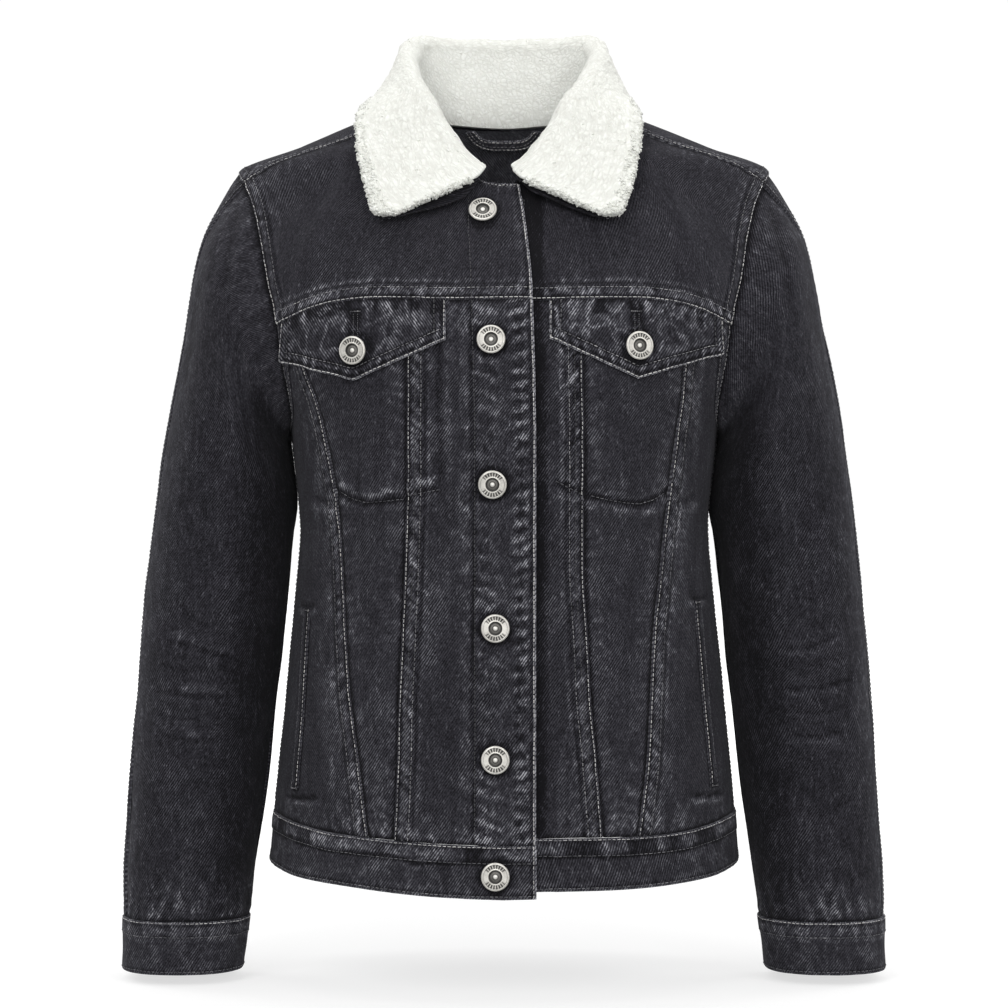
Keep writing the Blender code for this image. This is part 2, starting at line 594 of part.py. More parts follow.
def sleeve_walls():
    """Outer and inner grids of a whole left sleeve, and the column where its back half starts."""
    hole, n_front = armhole()
    p = sleeve_points(hole, n_front, SLEEVE_LEVELS)
    normal = grid_normals(p)
    if (normal[:, 5] * (p[:, 5] - p[:, 5].mean(0))).sum() < 0:
        normal = -normal
    outer = sleeve_folds(p, normal)
    # at the armhole the wall halves the angle between body and sleeve, which doubles back
    # at the underarm, and its edge stands off the body panels
    rim = body_normal(hole[:, 0], hole[:, 1])
    seam = unit(np.roll(p[:, 0], -1, 0) - np.roll(p[:, 0], 1, 0))
    away = p[:, 0].mean(0) - p[:, 0]
    away = unit(away - (away * rim).sum(-1, keepdims=True) * rim)
    away = unit(away - (away * seam).sum(-1, keepdims=True) * seam)
    step = p[:, 1] - p[:, 0]
    turn = np.clip(np.arctan2((step * rim).sum(-1), (step * away).sum(-1)), 0, np.pi)[:, None] / 2
    normal[:, 0] = np.cos(turn) * rim - np.sin(turn) * away
    normal[:, 1] = unit(0.3 * normal[:, 0] + 0.7 * normal[:, 1])
    outer[:, 0] += STAND_OFF * (4.6 * away + 4.6 * np.sin(turn) * rim)
    return outer, outer - normal * CLOTH, n_front


def mirrored(p):
    return p * np.array([-1.0, 1.0, 1.0])


# ------------------------------------------------------------ collar
def collar_grids(cells=COLLAR_COLS - 1, spans=COLLAR_SPANS):
    """Whole collar from the right front end round the back to the left front end."""
    rows = np.array(COLLAR)
    k = np.arange(len(rows), dtype=float)
    t = np.linspace(0, len(rows) - 1, cells + 1)
    seats = np.array([body(angle(r[0], r[1], bool(r[2])) if r[0] else np.pi, r[1]) for r in rows])
    half = []
    for s in t:
        v = through_rows(k, rows, s)
        seat = through_rows(k, seats, s)
        half.append((seat, v[3:6], v[6:9]))
    grids = []
    for side in (-1.0, 1.0):
        flip = np.array([side, 1, 1])
        place = [[q * flip + np.array([COLLAR_DRIFT * float(smooth(0.020, -0.060, seat[1])), 0, 0])
                  for q in (seat, stand, leaf)] for seat, stand, leaf in half]
        fold = np.gradient(np.array([stand for _, stand, _ in place]), axis=0)
        fold[0, 1:] = 0.0                         # the fold line crosses the midline squarely
        grids.append([section_from(*p, unit(f), spans) for p, f in zip(place, fold)])
    cols = np.array(grids[0][::-1] + grids[1][1:])
    normal = grid_normals(cols, wrap=False)
    if normal[cells, 1] @ np.array([0, 1.0, 0]) > 0:
        normal = -normal
    return cols, normal


def through_rows(k, rows, s):
    m = np.zeros_like(rows)
    for i in range(len(rows)):
        a, b = max(i - 1, 0), min(i + 1, len(rows) - 1)
        m[i] = (rows[b] - rows[a]) / (k[b] - k[a])
    m[0, 1:3] = 0.0
    i = int(min(math.floor(s), len(rows) - 2))
    w = s - i
    return ((1 + 2 * w) * (1 - w) ** 2 * rows[i] + w * (1 - w) ** 2 * m[i]
            + w * w * (3 - 2 * w) * rows[i + 1] + w * w * (w - 1) * m[i + 1])


def section_from(seat, stand, leaf, along, spans):
    """Middle line of the collar at one station: up the stand, round the fold square to the
    fold line's direction (along), and down the leaf."""
    front = float(smooth(0.030, -0.010, seat[1]))
    neck = seat + np.array([0, -0.0004 * front, 0.0007 + 0.0027 * front])  # clears the yokes
    up = stand - neck
    up = unit(up - (up @ along) * along)
    across = leaf - stand
    across = across - (across @ along) * along
    across = unit(across - (across @ up) * up)
    theta = 2.8
    for _ in range(40):
        end = stand + ROLL * (across * (1 - math.cos(theta)) + up * math.sin(theta))
        way = leaf - end
        theta = 0.5 * theta + 0.5 * math.atan2(way @ across, way @ up)
    n1, n2, n3 = spans
    pts = [neck + (stand - neck) * i / n1 for i in range(n1)]
    pts += [stand + ROLL * (across * (1 - math.cos(theta * i / n2)) + up * math.sin(theta * i / n2))
            for i in range(n2 + 1)]
    pts += [end + (leaf - end) * i / n3 for i in range(1, n3 + 1)]
    return np.array(pts)


# ------------------------------------------------------------ buttons
def button(name, x, z, out):
    """Turned shank button seated on the front, out from the body surface."""
    phi = angle(x, z)
    n = body_normal(phi, z)
    seat = body(phi, z) + n * out
    side = unit(np.cross(np.array([0, 0, 1.0]), n))
    up = np.cross(n, side)
    bm = bmesh.new()
    segs = 18
    rings = []
    for r, h in BUTTON_PROFILE:
        if r == 0:
            rings.append([bm.verts.new(seat + n * h * BUTTON_D)])
            continue
        rings.append([bm.verts.new(seat + n * h * BUTTON_D + r * BUTTON_D
                                   * (side * math.cos(a) + up * math.sin(a)))
                      for a in (2 * math.pi * i / segs for i in range(segs))])
    for a, b in zip(rings[:-1], rings[1:]):
        for i in range(segs):
            j = (i + 1) % segs
            if len(a) == 1:
                bm.faces.new((a[0], b[j], b[i]))
            elif len(b) == 1:
                bm.faces.new((a[i], a[j], b[0]))
            else:
                bm.faces.new((a[i], a[j], b[j], b[i]))
    return finish(name, bm, METAL_COLOUR, 35, 1.0, 0.3)


# ------------------------------------------------------------ the jacket
def main():
    for ob in list(bpy.data.objects):
        bpy.data.objects.remove(ob, do_unlink=True)

    waist_cols = {}
    for side in "RL":
        up, low, top = front_lines(side)
        waist_cols[side] = np.vstack([low[0], low[1][1:], low[2][1:]])
        for i, kind in enumerate(("centre", "pocket", "side")):
            grid = coons(low[i], top[i], up[i], up[i + 1])
            body_piece(f"panel_{kind}_{side}", grid, side)
        body_piece(f"yoke_front_{side}", yoke_grid(side, top), side)

    low, top, left, right = back_lines()
    body_piece("panel_back", coons(low, top, left, right))
    half = back_yoke_grid(top)
    other = np.stack([2 * np.pi - half[..., 0], half[..., 1]], -1)
    body_piece("yoke_back", np.concatenate([half[::-1], other[1:]], 0))

    # Waistband: from the right front's end, round the back, to the left front's end
    front_r = waist_cols["R"][:, 0]
    front_l = waist_cols["L"][:, 0][::-1]
    back = np.linspace(np.pi / 2, 3 * np.pi / 2, COLS_BACK + 1)[::-1] - 2 * np.pi
    phi = np.concatenate([front_r, back[1:-1], front_l - 2 * np.pi])
    n_r, n_l = len(front_r), len(front_l)
    pts, nrm = [], []
    for i, a in enumerate(phi):
        side = "R" if i < n_r else ("L" if i >= len(phi) - n_l else None)
        col, coln = [], []
        for share in (0.0, 0.45, 1.0):
            z = -0.51
            for _ in range(5):
                x = float(body(a, z)[0])
                if side:
                    z0, z1 = float(waist(WAIST_TOP, side, x)), float(waist(WAIST_LOW, side, x))
                else:
                    z0, z1 = WAIST_TOP[-1][1], WAIST_LOW[-1][1]
                z = z0 + (z1 - z0) * share
            n = body_normal(a, z)
            rise = 0.0004 + (float(lap(side, x)) * (BAND / CLOTH if side == "L" else 1.3) if side else 0.0)
            col.append(body(a, z) + n * rise)
            coln.append(n)
        pts.append(col)
        nrm.append(coln)
    pts, nrm = np.array(pts), np.array(nrm)
    pts = drawn_in(pts, "b")
    solid("waistband", pts, pts - nrm * BAND, DENIM_COLOUR)

    # Sleeves and cuffs
    outer, inner, n_front = sleeve_walls()
    n = len(outer)
    for side, flip in (("L", lambda p: p), ("R", mirrored)):
        for kind, a, b in (("front", 0, n_front), ("back", n_front, n)):
            cols = [i % n for i in range(a, b + 1)]
            o, i_ = outer[cols].copy(), inner[cols].copy()
            shift = drawn_in(o, "lr", 1.2 * STAND_OFF) - o
            solid(f"sleeve_{kind}_{side}", flip(o + shift), flip(i_ + shift), DENIM_COLOUR)
        t = np.arange(24) / 24
        p = np.stack([sleeve_ring(r, t) for r in CUFF], 1)
        nn = grid_normals(p)
        if (nn[:, 1] * (p[:, 1] - p[:, 1].mean(0))).sum() < 0:
            nn = -nn
        solid(f"cuff_{side}", flip(p), flip(p - nn * BAND), DENIM_COLOUR, closed=True)

    # Collar: pile facing outside the fold, denim under collar inside it
    mid, nrm = collar_grids()
    gap = 0.00016
    solid("collar_top", mid + nrm * (gap + PILE), mid + nrm * gap, PILE_COLOUR)
    solid("collar_under", mid - nrm * gap, mid - nrm * (gap + UNDER), DENIM_COLOUR)

    # Chest flaps, laid on the panels just below the yoke seam
    for side, ox, oz, tx, tz, ix, iz in FLAPS:
        s = sgn(side)
        n = 4
        xs = np.concatenate([np.linspace(ox, tx, n + 1), np.linspace(tx, ix, n + 1)[1:]])
        zs = np.concatenate([np.linspace(oz, tz, n + 1), np.linspace(tz, iz, n + 1)[1:]])
        top_z = yoke_z(xs) - 0.0003
        v = np.linspace(0, 1, 5)
        x = np.repeat(xs[:, None], 5, 1)
        z = zs[:, None] + (top_z - zs)[:, None] * v[None]
        grid = np.stack([angle(s * x, z), z], -1)
        p, nn = body(grid[..., 0], grid[..., 1]), body_normal(grid[..., 0], grid[..., 1])
        lift = LAY + 0.0008 * (1 - v)[None, :, None]
        inner_face = p + nn * (lift + lap(side, p[..., 0])[..., None])
        solid(f"flap_{side}", inner_face + nn * 0.0020, inner_face, DENIM_COLOUR)

    # Side pocket welts
    for side, x0, z0, x1, z1 in WELTS:
        s = sgn(side)
        v = np.linspace(0, 1, 7)
        z = z0 + (z1 - z0) * v
        x = x0 + (x1 - x0) * v
        a = angle(s * x, z)
        edge = body(a, z)
        width = WELT_W / np.hypot(edge[:, 0], edge[:, 1])
        grid = np.stack([np.stack([a + s * width * w, z], -1) for w in (0.0, 0.5, 1.0)])
        p, nn = body(grid[..., 0], grid[..., 1]), body_normal(grid[..., 0], grid[..., 1])
        solid(f"welt_{side}", p + nn * (LAY + 0.0016), p + nn * LAY, DENIM_COLOUR)

    # Hanger loop inside the back neck
    t = np.linspace(-1, 1, 15)
    x = 0.0255 * t
    z = -0.0035 + 0.0125 * np.abs(t) ** 2.6
    slope = np.gradient(z, x)
    side_way = np.stack([-slope, np.ones_like(slope)], -1) / np.hypot(slope, 1)[:, None]
    w = 0.0035
    xs = np.stack([x - side_way[:, 0] * w, x + side_way[:, 0] * w], 1)
    zs = np.stack([z - side_way[:, 1] * w, np.minimum(z + side_way[:, 1] * w, 0.0092)], 1)
    a = angle(np.where(np.abs(xs) < 1e-9, 1e-9, xs), zs, True)
    p, nn = body(a, zs), body_normal(a, zs)
    outer_face = p - nn * (CLOTH + 5.5 * LAY)
    solid("hanger_loop", outer_face, outer_face - nn * 0.0016, DENIM_COLOUR)

    for name, x, z in BUTTONS:
        extra = 0.0009 if name == "button_6" else 0.0
        button(name, x, z, LAP_OUT + extra + 0.0003)
    for name, x, z in FLAP_BUTTONS:
        button(name, x, z, LAY + 0.0008 + 0.0020 + 0.0003)


main()
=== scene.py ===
import json
import math

import bpy
import numpy as np
from mathutils import Matrix, Vector

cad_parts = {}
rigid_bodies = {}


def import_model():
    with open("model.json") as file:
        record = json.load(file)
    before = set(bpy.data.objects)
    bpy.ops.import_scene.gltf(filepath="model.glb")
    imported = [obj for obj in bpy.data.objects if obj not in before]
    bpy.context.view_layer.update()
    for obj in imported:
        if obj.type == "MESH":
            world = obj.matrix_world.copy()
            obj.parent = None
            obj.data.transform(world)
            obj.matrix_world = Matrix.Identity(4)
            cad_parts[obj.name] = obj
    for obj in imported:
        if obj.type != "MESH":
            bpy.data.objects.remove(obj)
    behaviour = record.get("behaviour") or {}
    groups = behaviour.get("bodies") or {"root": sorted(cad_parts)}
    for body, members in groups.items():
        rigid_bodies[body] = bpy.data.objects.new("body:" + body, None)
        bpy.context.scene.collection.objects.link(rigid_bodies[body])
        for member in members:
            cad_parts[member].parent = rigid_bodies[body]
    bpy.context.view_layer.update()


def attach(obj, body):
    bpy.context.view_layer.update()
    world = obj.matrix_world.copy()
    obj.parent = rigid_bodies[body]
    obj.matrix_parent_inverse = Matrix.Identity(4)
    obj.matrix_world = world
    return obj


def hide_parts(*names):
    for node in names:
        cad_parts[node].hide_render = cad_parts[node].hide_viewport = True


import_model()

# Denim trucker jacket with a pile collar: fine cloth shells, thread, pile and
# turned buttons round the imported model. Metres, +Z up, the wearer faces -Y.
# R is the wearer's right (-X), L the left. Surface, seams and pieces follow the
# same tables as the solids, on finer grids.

# ------------------------------------------------------------------ sizes
CLOTH = 0.0018        # one denim wall
BAND = 0.0028         # waistband and cuffs: folded double
STAND_OFF = 0.00017   # each piece stops this far short of its seam line
LAY = 0.0006          # air between a panel and what is laid on it
PILE = 0.0060         # pile collar facing
UNDER = 0.0016        # denim under collar
ROLL = 0.0032         # inner radius of the collar's fold
LAP_OUT = 0.0015      # right front lifts by this where it laps over the left
LAP_IN = 0.0015       # left front sinks by this under the lap
FRONT_EDGE = 0.0225   # right front's free edge, past the midline
UNDER_EDGE = 0.0180   # left front's edge, past the midline the other way
COLLAR_DRIFT = -0.0040  # the buttoned collar sits this far to the wearer's right
BUTTON_D = 0.0200     # shank buttons
WELT_W = 0.0085       # side pocket welt

# Body rings: height, half width, depth in front and behind, superellipse power
BODY = (
    # z       half    front   back    power
    (-0.560, 0.1745, 0.1180, 0.1120, 2.35),
    (-0.545, 0.1735, 0.1180, 0.1120, 2.35),
    (-0.505, 0.1712, 0.1170, 0.1100, 2.35),
    (-0.425, 0.1635, 0.1150, 0.1080, 2.35),
    (-0.350, 0.1558, 0.1150, 0.1070, 2.35),
    (-0.290, 0.1513, 0.1180, 0.1090, 2.38),
    (-0.252, 0.1543, 0.1225, 0.1130, 2.40),
    (-0.225, 0.1580, 0.1250, 0.1160, 2.42),
    (-0.180, 0.1790, 0.1270, 0.1190, 2.42),
    (-0.130, 0.1950, 0.1190, 0.1180, 2.40),
    (-0.085, 0.2035, 0.0980, 0.1100, 2.35),
    (-0.050, 0.2025, 0.0770, 0.0960, 2.30),
    (-0.033, 0.1965, 0.0680, 0.0880, 2.25),
    (-0.015, 0.1510, 0.0600, 0.0770, 2.20),
    (0.003, 0.1070, 0.0530, 0.0640, 2.20),
    (0.014, 0.0805, 0.0480, 0.0530, 2.20),
    (0.022, 0.0600, 0.0440, 0.0460, 2.20),
)

# Lengthwise seams of the front, as distances from the midline
PANEL_SEAMS = (
    # z      inner_R inner_L outer_R outer_L
    (-0.140, 0.0680, 0.0540, 0.1480, 0.1330),
    (-0.181, 0.0680, 0.0550, 0.1420, 0.1275),
    (-0.206, 0.0680, 0.0555, 0.1330, 0.1255),
    (-0.232, 0.0680, 0.0560, 0.1265, 0.1220),
    (-0.262, 0.0680, 0.0560, 0.1205, 0.1180),
    (-0.300, 0.0690, 0.0560, 0.1160, 0.1135),
    (-0.333, 0.0700, 0.0565, 0.1140, 0.1100),
    (-0.374, 0.0720, 0.0590, 0.1120, 0.1055),
    (-0.416, 0.0740, 0.0610, 0.1090, 0.1035),
    (-0.459, 0.0750, 0.0650, 0.1030, 0.1010),
    (-0.520, 0.0775, 0.0700, 0.0950, 0.0935),
)

# Yoke seam in front, and the waistband's two edges, by distance from the midline
YOKE_SEAM = ((0.000, -0.1375), (0.050, -0.1370), (0.090, -0.1360), (0.118, -0.1380),
             (0.135, -0.1415), (0.150, -0.1470), (0.1615, -0.1525))
WAIST_TOP = ((0.000, -0.5170), (0.070, -0.5155), (0.120, -0.5135), (0.150, -0.5095),
             (0.165, -0.5065), (0.180, -0.5050))
WAIST_LOW = ((0.000, -0.5545), (0.070, -0.5525), (0.120, -0.5495), (0.150, -0.5470),
             (0.165, -0.5440), (0.180, -0.5410))
WAIST_STEP = 0.0022   # the right end of the waistband sits lower, the left higher

# Armhole in front, from the shoulder seam to the underarm, and behind
ARMHOLE_FRONT = ((0.1900, -0.0450), (0.1830, -0.0620), (0.1770, -0.0840), (0.1725, -0.1060),
                 (0.1680, -0.1270), (0.1635, -0.1440), (0.1615, -0.1525), (0.1585, -0.1780),
                 (0.1555, -0.1950), (0.1535, -0.2110), (0.1545, -0.2215))
ARMHOLE_BACK = ((0.1930, -0.0430), (0.1870, -0.0620), (0.1815, -0.0870), (0.1765, -0.1150),
                (0.1715, -0.1450), (0.1655, -0.1740), (0.1595, -0.1990), (0.1555, -0.2150))
SHOULDER_TIP = (0.1965, -0.0330)
UNDERARM = (0.1583, -0.2270)
BACK_YOKE_Z = -0.1450

# Neckline from the front edge to the shoulder seam, then on to the back neck
NECK_FRONT = ((0.0105, -0.0495), (0.0215, -0.0385), (0.0340, -0.0235), (0.0470, -0.0085),
              (0.0570, 0.0025), (0.0660, 0.0100))
NECK_BACK = ((0.0755, 0.0137), (0.0785, 0.0143), (0.0630, 0.0135), (0.0380, 0.0115), (0.0, 0.0100))
SHOULDER_SEAM = ((0.0660, 0.0100), (0.0850, 0.0005), (0.1050, -0.0110), (0.1400, -0.0230),
                 (0.1690, -0.0330), (0.1900, -0.0450))

# Sleeve rings, each a tilted ellipse from its outer to its inner point
SLEEVE = (
    # outer_x outer_z  inner_x inner_z  half_depth mid_y
    (0.2225, -0.0830, 0.1600, -0.2350, 0.0735, 0.002),
    (0.2385, -0.1600, 0.1585, -0.2525, 0.0700, 0.004),
    (0.2520, -0.2320, 0.1545, -0.2800, 0.0655, 0.006),
    (0.2610, -0.2960, 0.1575, -0.3180, 0.0610, 0.006),
    (0.2675, -0.3520, 0.1602, -0.3580, 0.0580, 0.004),
    (0.2705, -0.3920, 0.1640, -0.3930, 0.0565, 0.001),
    (0.2730, -0.4300, 0.1690, -0.4300, 0.0545, -0.002),
    (0.2762, -0.4750, 0.1745, -0.4750, 0.0510, -0.006),
    (0.2788, -0.5250, 0.1808, -0.5250, 0.0460, -0.010),
    (0.2803, -0.5600, 0.1852, -0.5600, 0.0420, -0.012),
    (0.2808, -0.5828, 0.1880, -0.5828, 0.0390, -0.013),
)
CUFF = ((0.2812, -0.5834, 0.1880, -0.5834, 0.0392, -0.013),
        (0.2820, -0.6220, 0.1925, -0.6220, 0.0372, -0.014))
SLEEVE_SEAM = 0.055    # outer sleeve seam, as a share of the way round, forward of the outermost line

# Largest soft folds of the sleeve: where along it, how deep, how long, its slant
SLEEVE_FOLDS = (
    # z_mid   depth   half_height slant
    (-0.372, 0.0022, 0.010, 0.22),
    (-0.407, 0.0026, 0.009, -0.16),
    (-0.441, 0.0020, 0.010, 0.20),
)

# Collar sections: neck seam (x, z and which face), top of the stand, leaf edge
COLLAR = (
    # nx      nz     rear  stand x, y, z             leaf edge x, y, z
    (0.0000, 0.0100, 1, 0.0000, 0.0610, 0.0680, 0.0000, 0.0800, 0.0480),
    (0.0380, 0.0115, 1, 0.0385, 0.0560, 0.0680, 0.0470, 0.0760, 0.0460),
    (0.0630, 0.0135, 1, 0.0630, 0.0380, 0.0660, 0.0790, 0.0560, 0.0340),
    (0.0785, 0.0143, 1, 0.0695, 0.0140, 0.0520, 0.0960, 0.0280, 0.0160),
    (0.0755, 0.0137, 0, 0.0680, -0.0150, 0.0360, 0.1010, -0.0050, 0.0120),
    (0.0605, 0.0060, 0, 0.0600, -0.0390, 0.0190, 0.1015, -0.0400, 0.0005),
    (0.0470, -0.0085, 0, 0.0490, -0.0520, 0.0025, 0.0990, -0.0640, -0.0280),
    (0.0340, -0.0235, 0, 0.0380, -0.0630, -0.0140, 0.0940, -0.0800, -0.0510),
    (0.0215, -0.0385, 0, 0.0250, -0.0730, -0.0310, 0.0870, -0.0920, -0.0690),
    (0.0105, -0.0495, 0, 0.0125, -0.0805, -0.0440, 0.0800, -0.0965, -0.0750),
)

# Chest flaps: outline below the yoke seam; the tip is the lowest corner
FLAPS = (
    # side outer_x outer_z  tip_x   tip_z   inner_x inner_z
    ("R", 0.1575, -0.1780, 0.1040, -0.1930, 0.0405, -0.1660),
    ("L", 0.1540, -0.1730, 0.0930, -0.1920, 0.0315, -0.1650),
)
# Side pocket welts: upper and lower end of the inner edge
WELTS = (("R", 0.1415, -0.3620, 0.1500, -0.4860), ("L", 0.1380, -0.3560, 0.1495, -0.4840))
# Buttons: name, x, z
BUTTONS = (
    ("button_1", -0.0150, -0.0735), ("button_2", -0.0090, -0.1660),
    ("button_3", -0.0080, -0.2660), ("button_4", -0.0060, -0.3670),
    ("button_5", -0.0060, -0.4590), ("button_6", -0.0060, -0.5400),
)
FLAP_BUTTONS = (("flap_button_R", -0.1040, -0.1725), ("flap_button_L", 0.0930, -0.1695))
# Turned button: radius and height above its seat, as shares of its diameter
BUTTON_PROFILE = ((0.000, 0.000), (0.180, 0.000), (0.200, 0.060), (0.430, 0.060), (0.500, 0.110),
                  (0.460, 0.165), (0.400, 0.180), (0.205, 0.150), (0.180, 0.095), (0.110, 0.095),
                  (0.070, 0.150), (0.000, 0.160))

# Columns and rows of the fine surface grids, which spread() then samples
COLS_CENTRE, COLS_POCKET, COLS_SIDE = 60, 40, 60
ROWS_SIDE, ROWS_ARM, ROWS_ARM_BACK = 160, 64, 64
ROWS_YOKE = 80
COLS_BACK, ROWS_BACK_YOKE = 300, 120
COLS_SHOULDER = 62
COLLAR_COLS = 200
COLLAR_SPANS = (16, 12, 40)

# ------------------------------------------------------------------ curves
def monotone(x, y, t):
    """Monotone cubic through the rows (x ascending, y of any width), read at t."""
    x = np.asarray(x, float)
    y = np.asarray(y, float).reshape(len(x), -1)
    t = np.asarray(t, float)
    h = np.diff(x)
    d = np.diff(y, axis=0) / h[:, None]
    m = np.zeros_like(y)
    m[0], m[-1] = d[0], d[-1]
    prod = d[:-1] * d[1:]
    both = np.where(prod > 0, d[:-1] + d[1:], 1.0)
    m[1:-1] = np.where(prod > 0, 2 * prod / both, 0.0)
    k = np.clip(np.searchsorted(x, t) - 1, 0, len(x) - 2)
    s = np.clip((t - x[k]) / h[k], 0.0, 1.0)[..., None]
    hk = h[k][..., None]
    return ((1 + 2 * s) * (1 - s) ** 2 * y[k] + s * (1 - s) ** 2 * hk * m[k]
            + s * s * (3 - 2 * s) * y[k + 1] + s * s * (s - 1) * hk * m[k + 1])


def through(points, t):
    """Smooth curve through the points (Catmull-Rom on chord length), at shares t of it."""
    p = np.asarray(points, float)
    step = np.linalg.norm(np.diff(p, axis=0), axis=1)
    s = np.concatenate([[0.0], np.cumsum(step)])
    s /= s[-1]
    m = np.zeros_like(p)
    for i in range(len(p)):
        a, b = max(i - 1, 0), min(i + 1, len(p) - 1)
        m[i] = (p[b] - p[a]) / (s[b] - s[a])
    t = np.asarray(t, float)
    k = np.clip(np.searchsorted(s, t) - 1, 0, len(p) - 2)
    h = (s[k + 1] - s[k])[:, None]
    w = np.clip((t - s[k])[:, None] / h, 0, 1)
    return ((1 + 2 * w) * (1 - w) ** 2 * p[k] + w * (1 - w) ** 2 * h * m[k]
            + w * w * (3 - 2 * w) * p[k + 1] + w * w * (w - 1) * h * m[k + 1])


def smooth(a, b, x):
    w = np.clip((x - a) / (b - a), 0, 1)
    return w * w * (3 - 2 * w)


# ------------------------------------------------------------ body surface
RING = np.array(BODY)


def ring(z):
    return monotone(RING[:, 0], RING[:, 1:], z)


def body(phi, z):
    """Point of the body surface: phi is 0 in front, +pi/2 at the wearer's left."""
    phi, z = np.broadcast_arrays(np.asarray(phi, float), np.asarray(z, float))
    half, front, back, power = np.moveaxis(ring(z), -1, 0)
    s, c = np.sin(phi), np.cos(phi)
    depth = np.where(c > 0, front, back)
    r = (np.abs(s / half) ** power + np.abs(c / depth) ** power) ** (-1 / power)
    return np.stack([r * s, -r * c, z], -1)


def body_normal(phi, z):
    e = 1e-4
    a = body(phi + e, z) - body(phi - e, z)
    b = body(phi, z + e) - body(phi, z - e)
    n = np.cross(a, b)
    return n / np.linalg.norm(n, axis=-1, keepdims=True)


def angle(x, z, rear=False):
    """phi of the surface point at this x and height, in front or behind."""
    x, z = np.broadcast_arrays(np.asarray(x, float), np.asarray(z, float))
    half, front, back, power = np.moveaxis(ring(z), -1, 0)
    w = np.clip(np.abs(x) / half, 0, 1)
    y = (1 - w ** power) ** (1 / power) * (back if rear else front)
    return np.sign(x) * (np.pi - np.arctan2(np.abs(x), y) if rear else np.arctan2(np.abs(x), y))


def lap(side, x):
    """How far the front moves out (right front) or in (left front) at its lap."""
    if side == "R":
        return LAP_OUT * smooth(-0.036, -0.018, x)
    return -LAP_IN * smooth(-0.040, -0.027, -x)


# ------------------------------------------------------------ patches
RUN_Z = np.linspace(RING[0, 0], RING[-1, 0], 401)
RUN = np.concatenate([[0.0], np.cumsum(np.hypot(np.diff(RUN_Z), np.diff(ring(RUN_Z)[:, 0])))])


def coons(low, top, left, right):
    """Grid of surface coordinates between four edge curves that share corners.
    Height is blended as length along the side profile, which the shoulders need."""
    low, top, left, right = (np.stack([c[:, 0], np.interp(c[:, 1], RUN_Z, RUN)], -1)
                             for c in (low, top, left, right))
    grid = blended(low, top, left, right)
    grid[..., 1] = np.interp(grid[..., 1], RUN, RUN_Z)
    return grid


def blended(low, top, left, right):
    nu, nv = len(low) - 1, len(left) - 1
    u = np.linspace(0, 1, nu + 1)[:, None, None]
    v = np.linspace(0, 1, nv + 1)[None, :, None]
    grid = (1 - v) * low[:, None] + v * top[:, None] + (1 - u) * left[None] + u * right[None]
    return grid - ((1 - u) * (1 - v) * low[0] + u * (1 - v) * low[-1]
                   + (1 - u) * v * top[0] + u * v * top[-1])


def unit(v):
    return v / np.maximum(np.linalg.norm(v, axis=-1, keepdims=True), 1e-12)


def drawn_in(p, sides="lrbt", by=STAND_OFF):
    """Moves the grid's edges in by the stand-off, square to each edge."""
    q = p.copy()
    for s in sides:
        edge, nxt = {"l": (0, 1), "r": (-1, -2)}.get(s, (0, 1) if s == "b" else (-1, -2))
        a = p if s in "lr" else p.swapaxes(0, 1)
        along = unit(np.gradient(a[edge], axis=0))
        inward = a[nxt] - a[edge]
        inward -= (inward * along).sum(-1, keepdims=True) * along
        move = by * unit(inward)
        if s in "lr":
            q[edge] += move
        else:
            q[:, edge] += move
    return q

# ------------------------------------------------------------ front seams
def sgn(side):
    return -1.0 if side == "R" else 1.0


def on_front(side, rows, t):
    """Curve through rows of (distance from the midline, height) on the front."""
    q = through(rows, t)
    return np.stack([angle(sgn(side) * q[:, 0], q[:, 1]), q[:, 1]], -1)


def front_edge(side, z):
    """Signed x of a front's centre edge at this height."""
    edge = monotone((-0.56, -0.25, -0.13, -0.085, -0.050),
                    (FRONT_EDGE, FRONT_EDGE, 0.0200, 0.0160, 0.0110), z)[..., 0]
    return edge if side == "R" else -UNDER_EDGE * np.ones_like(z)


def waist(table, side, x):
    """Height of a waistband edge at signed x on the front."""
    step = WAIST_STEP * (1 - smooth(0.030, 0.120, np.abs(x)))
    rows = np.array(table)
    return monotone(rows[:, 0], rows[:, 1], np.abs(x))[..., 0] + (-step if side == "R" else step)


def yoke_z(x):
    rows = np.array(YOKE_SEAM)
    return monotone(rows[:, 0], rows[:, 1], np.abs(x))[..., 0]


def seam_x(side, which, z):
    rows = np.array(PANEL_SEAMS)[::-1]
    col = {"innerR": 1, "innerL": 2, "outerR": 3, "outerL": 4}[which + side]
    return sgn(side) * monotone(rows[:, 0], rows[:, col], z)[..., 0]


def arm_curve(rear, z_low, z_high, n):
    """Left armhole between two heights (None is the underarm), n equal lengths, going up."""
    rows = ARMHOLE_BACK if rear else ARMHOLE_FRONT
    line = [(np.pi / 2, UNDERARM[1])] if z_low is None else []
    line += [(float(angle(a, b, rear)), b) for a, b in rows[::-1]
             if (z_low is None or b >= z_low) and b <= z_high]
    if rear and z_high > SHOULDER_TIP[1]:
        line += [(np.pi / 2, SHOULDER_TIP[1]),
                 (float(angle(*ARMHOLE_FRONT[0])), ARMHOLE_FRONT[0][1])]
    line = np.array(line)
    dense = through(line * np.array([0.12, 1.0]), np.linspace(0, 1, 161)) / np.array([0.12, 1.0])
    step = np.linalg.norm(np.diff(body(dense[:, 0], dense[:, 1]), axis=0), axis=1)
    s = np.concatenate([[0], np.cumsum(step)]) / step.sum()
    at = np.linspace(0, 1, n + 1)
    return np.stack([np.interp(at, s, dense[:, 0]), np.interp(at, s, dense[:, 1])], -1)


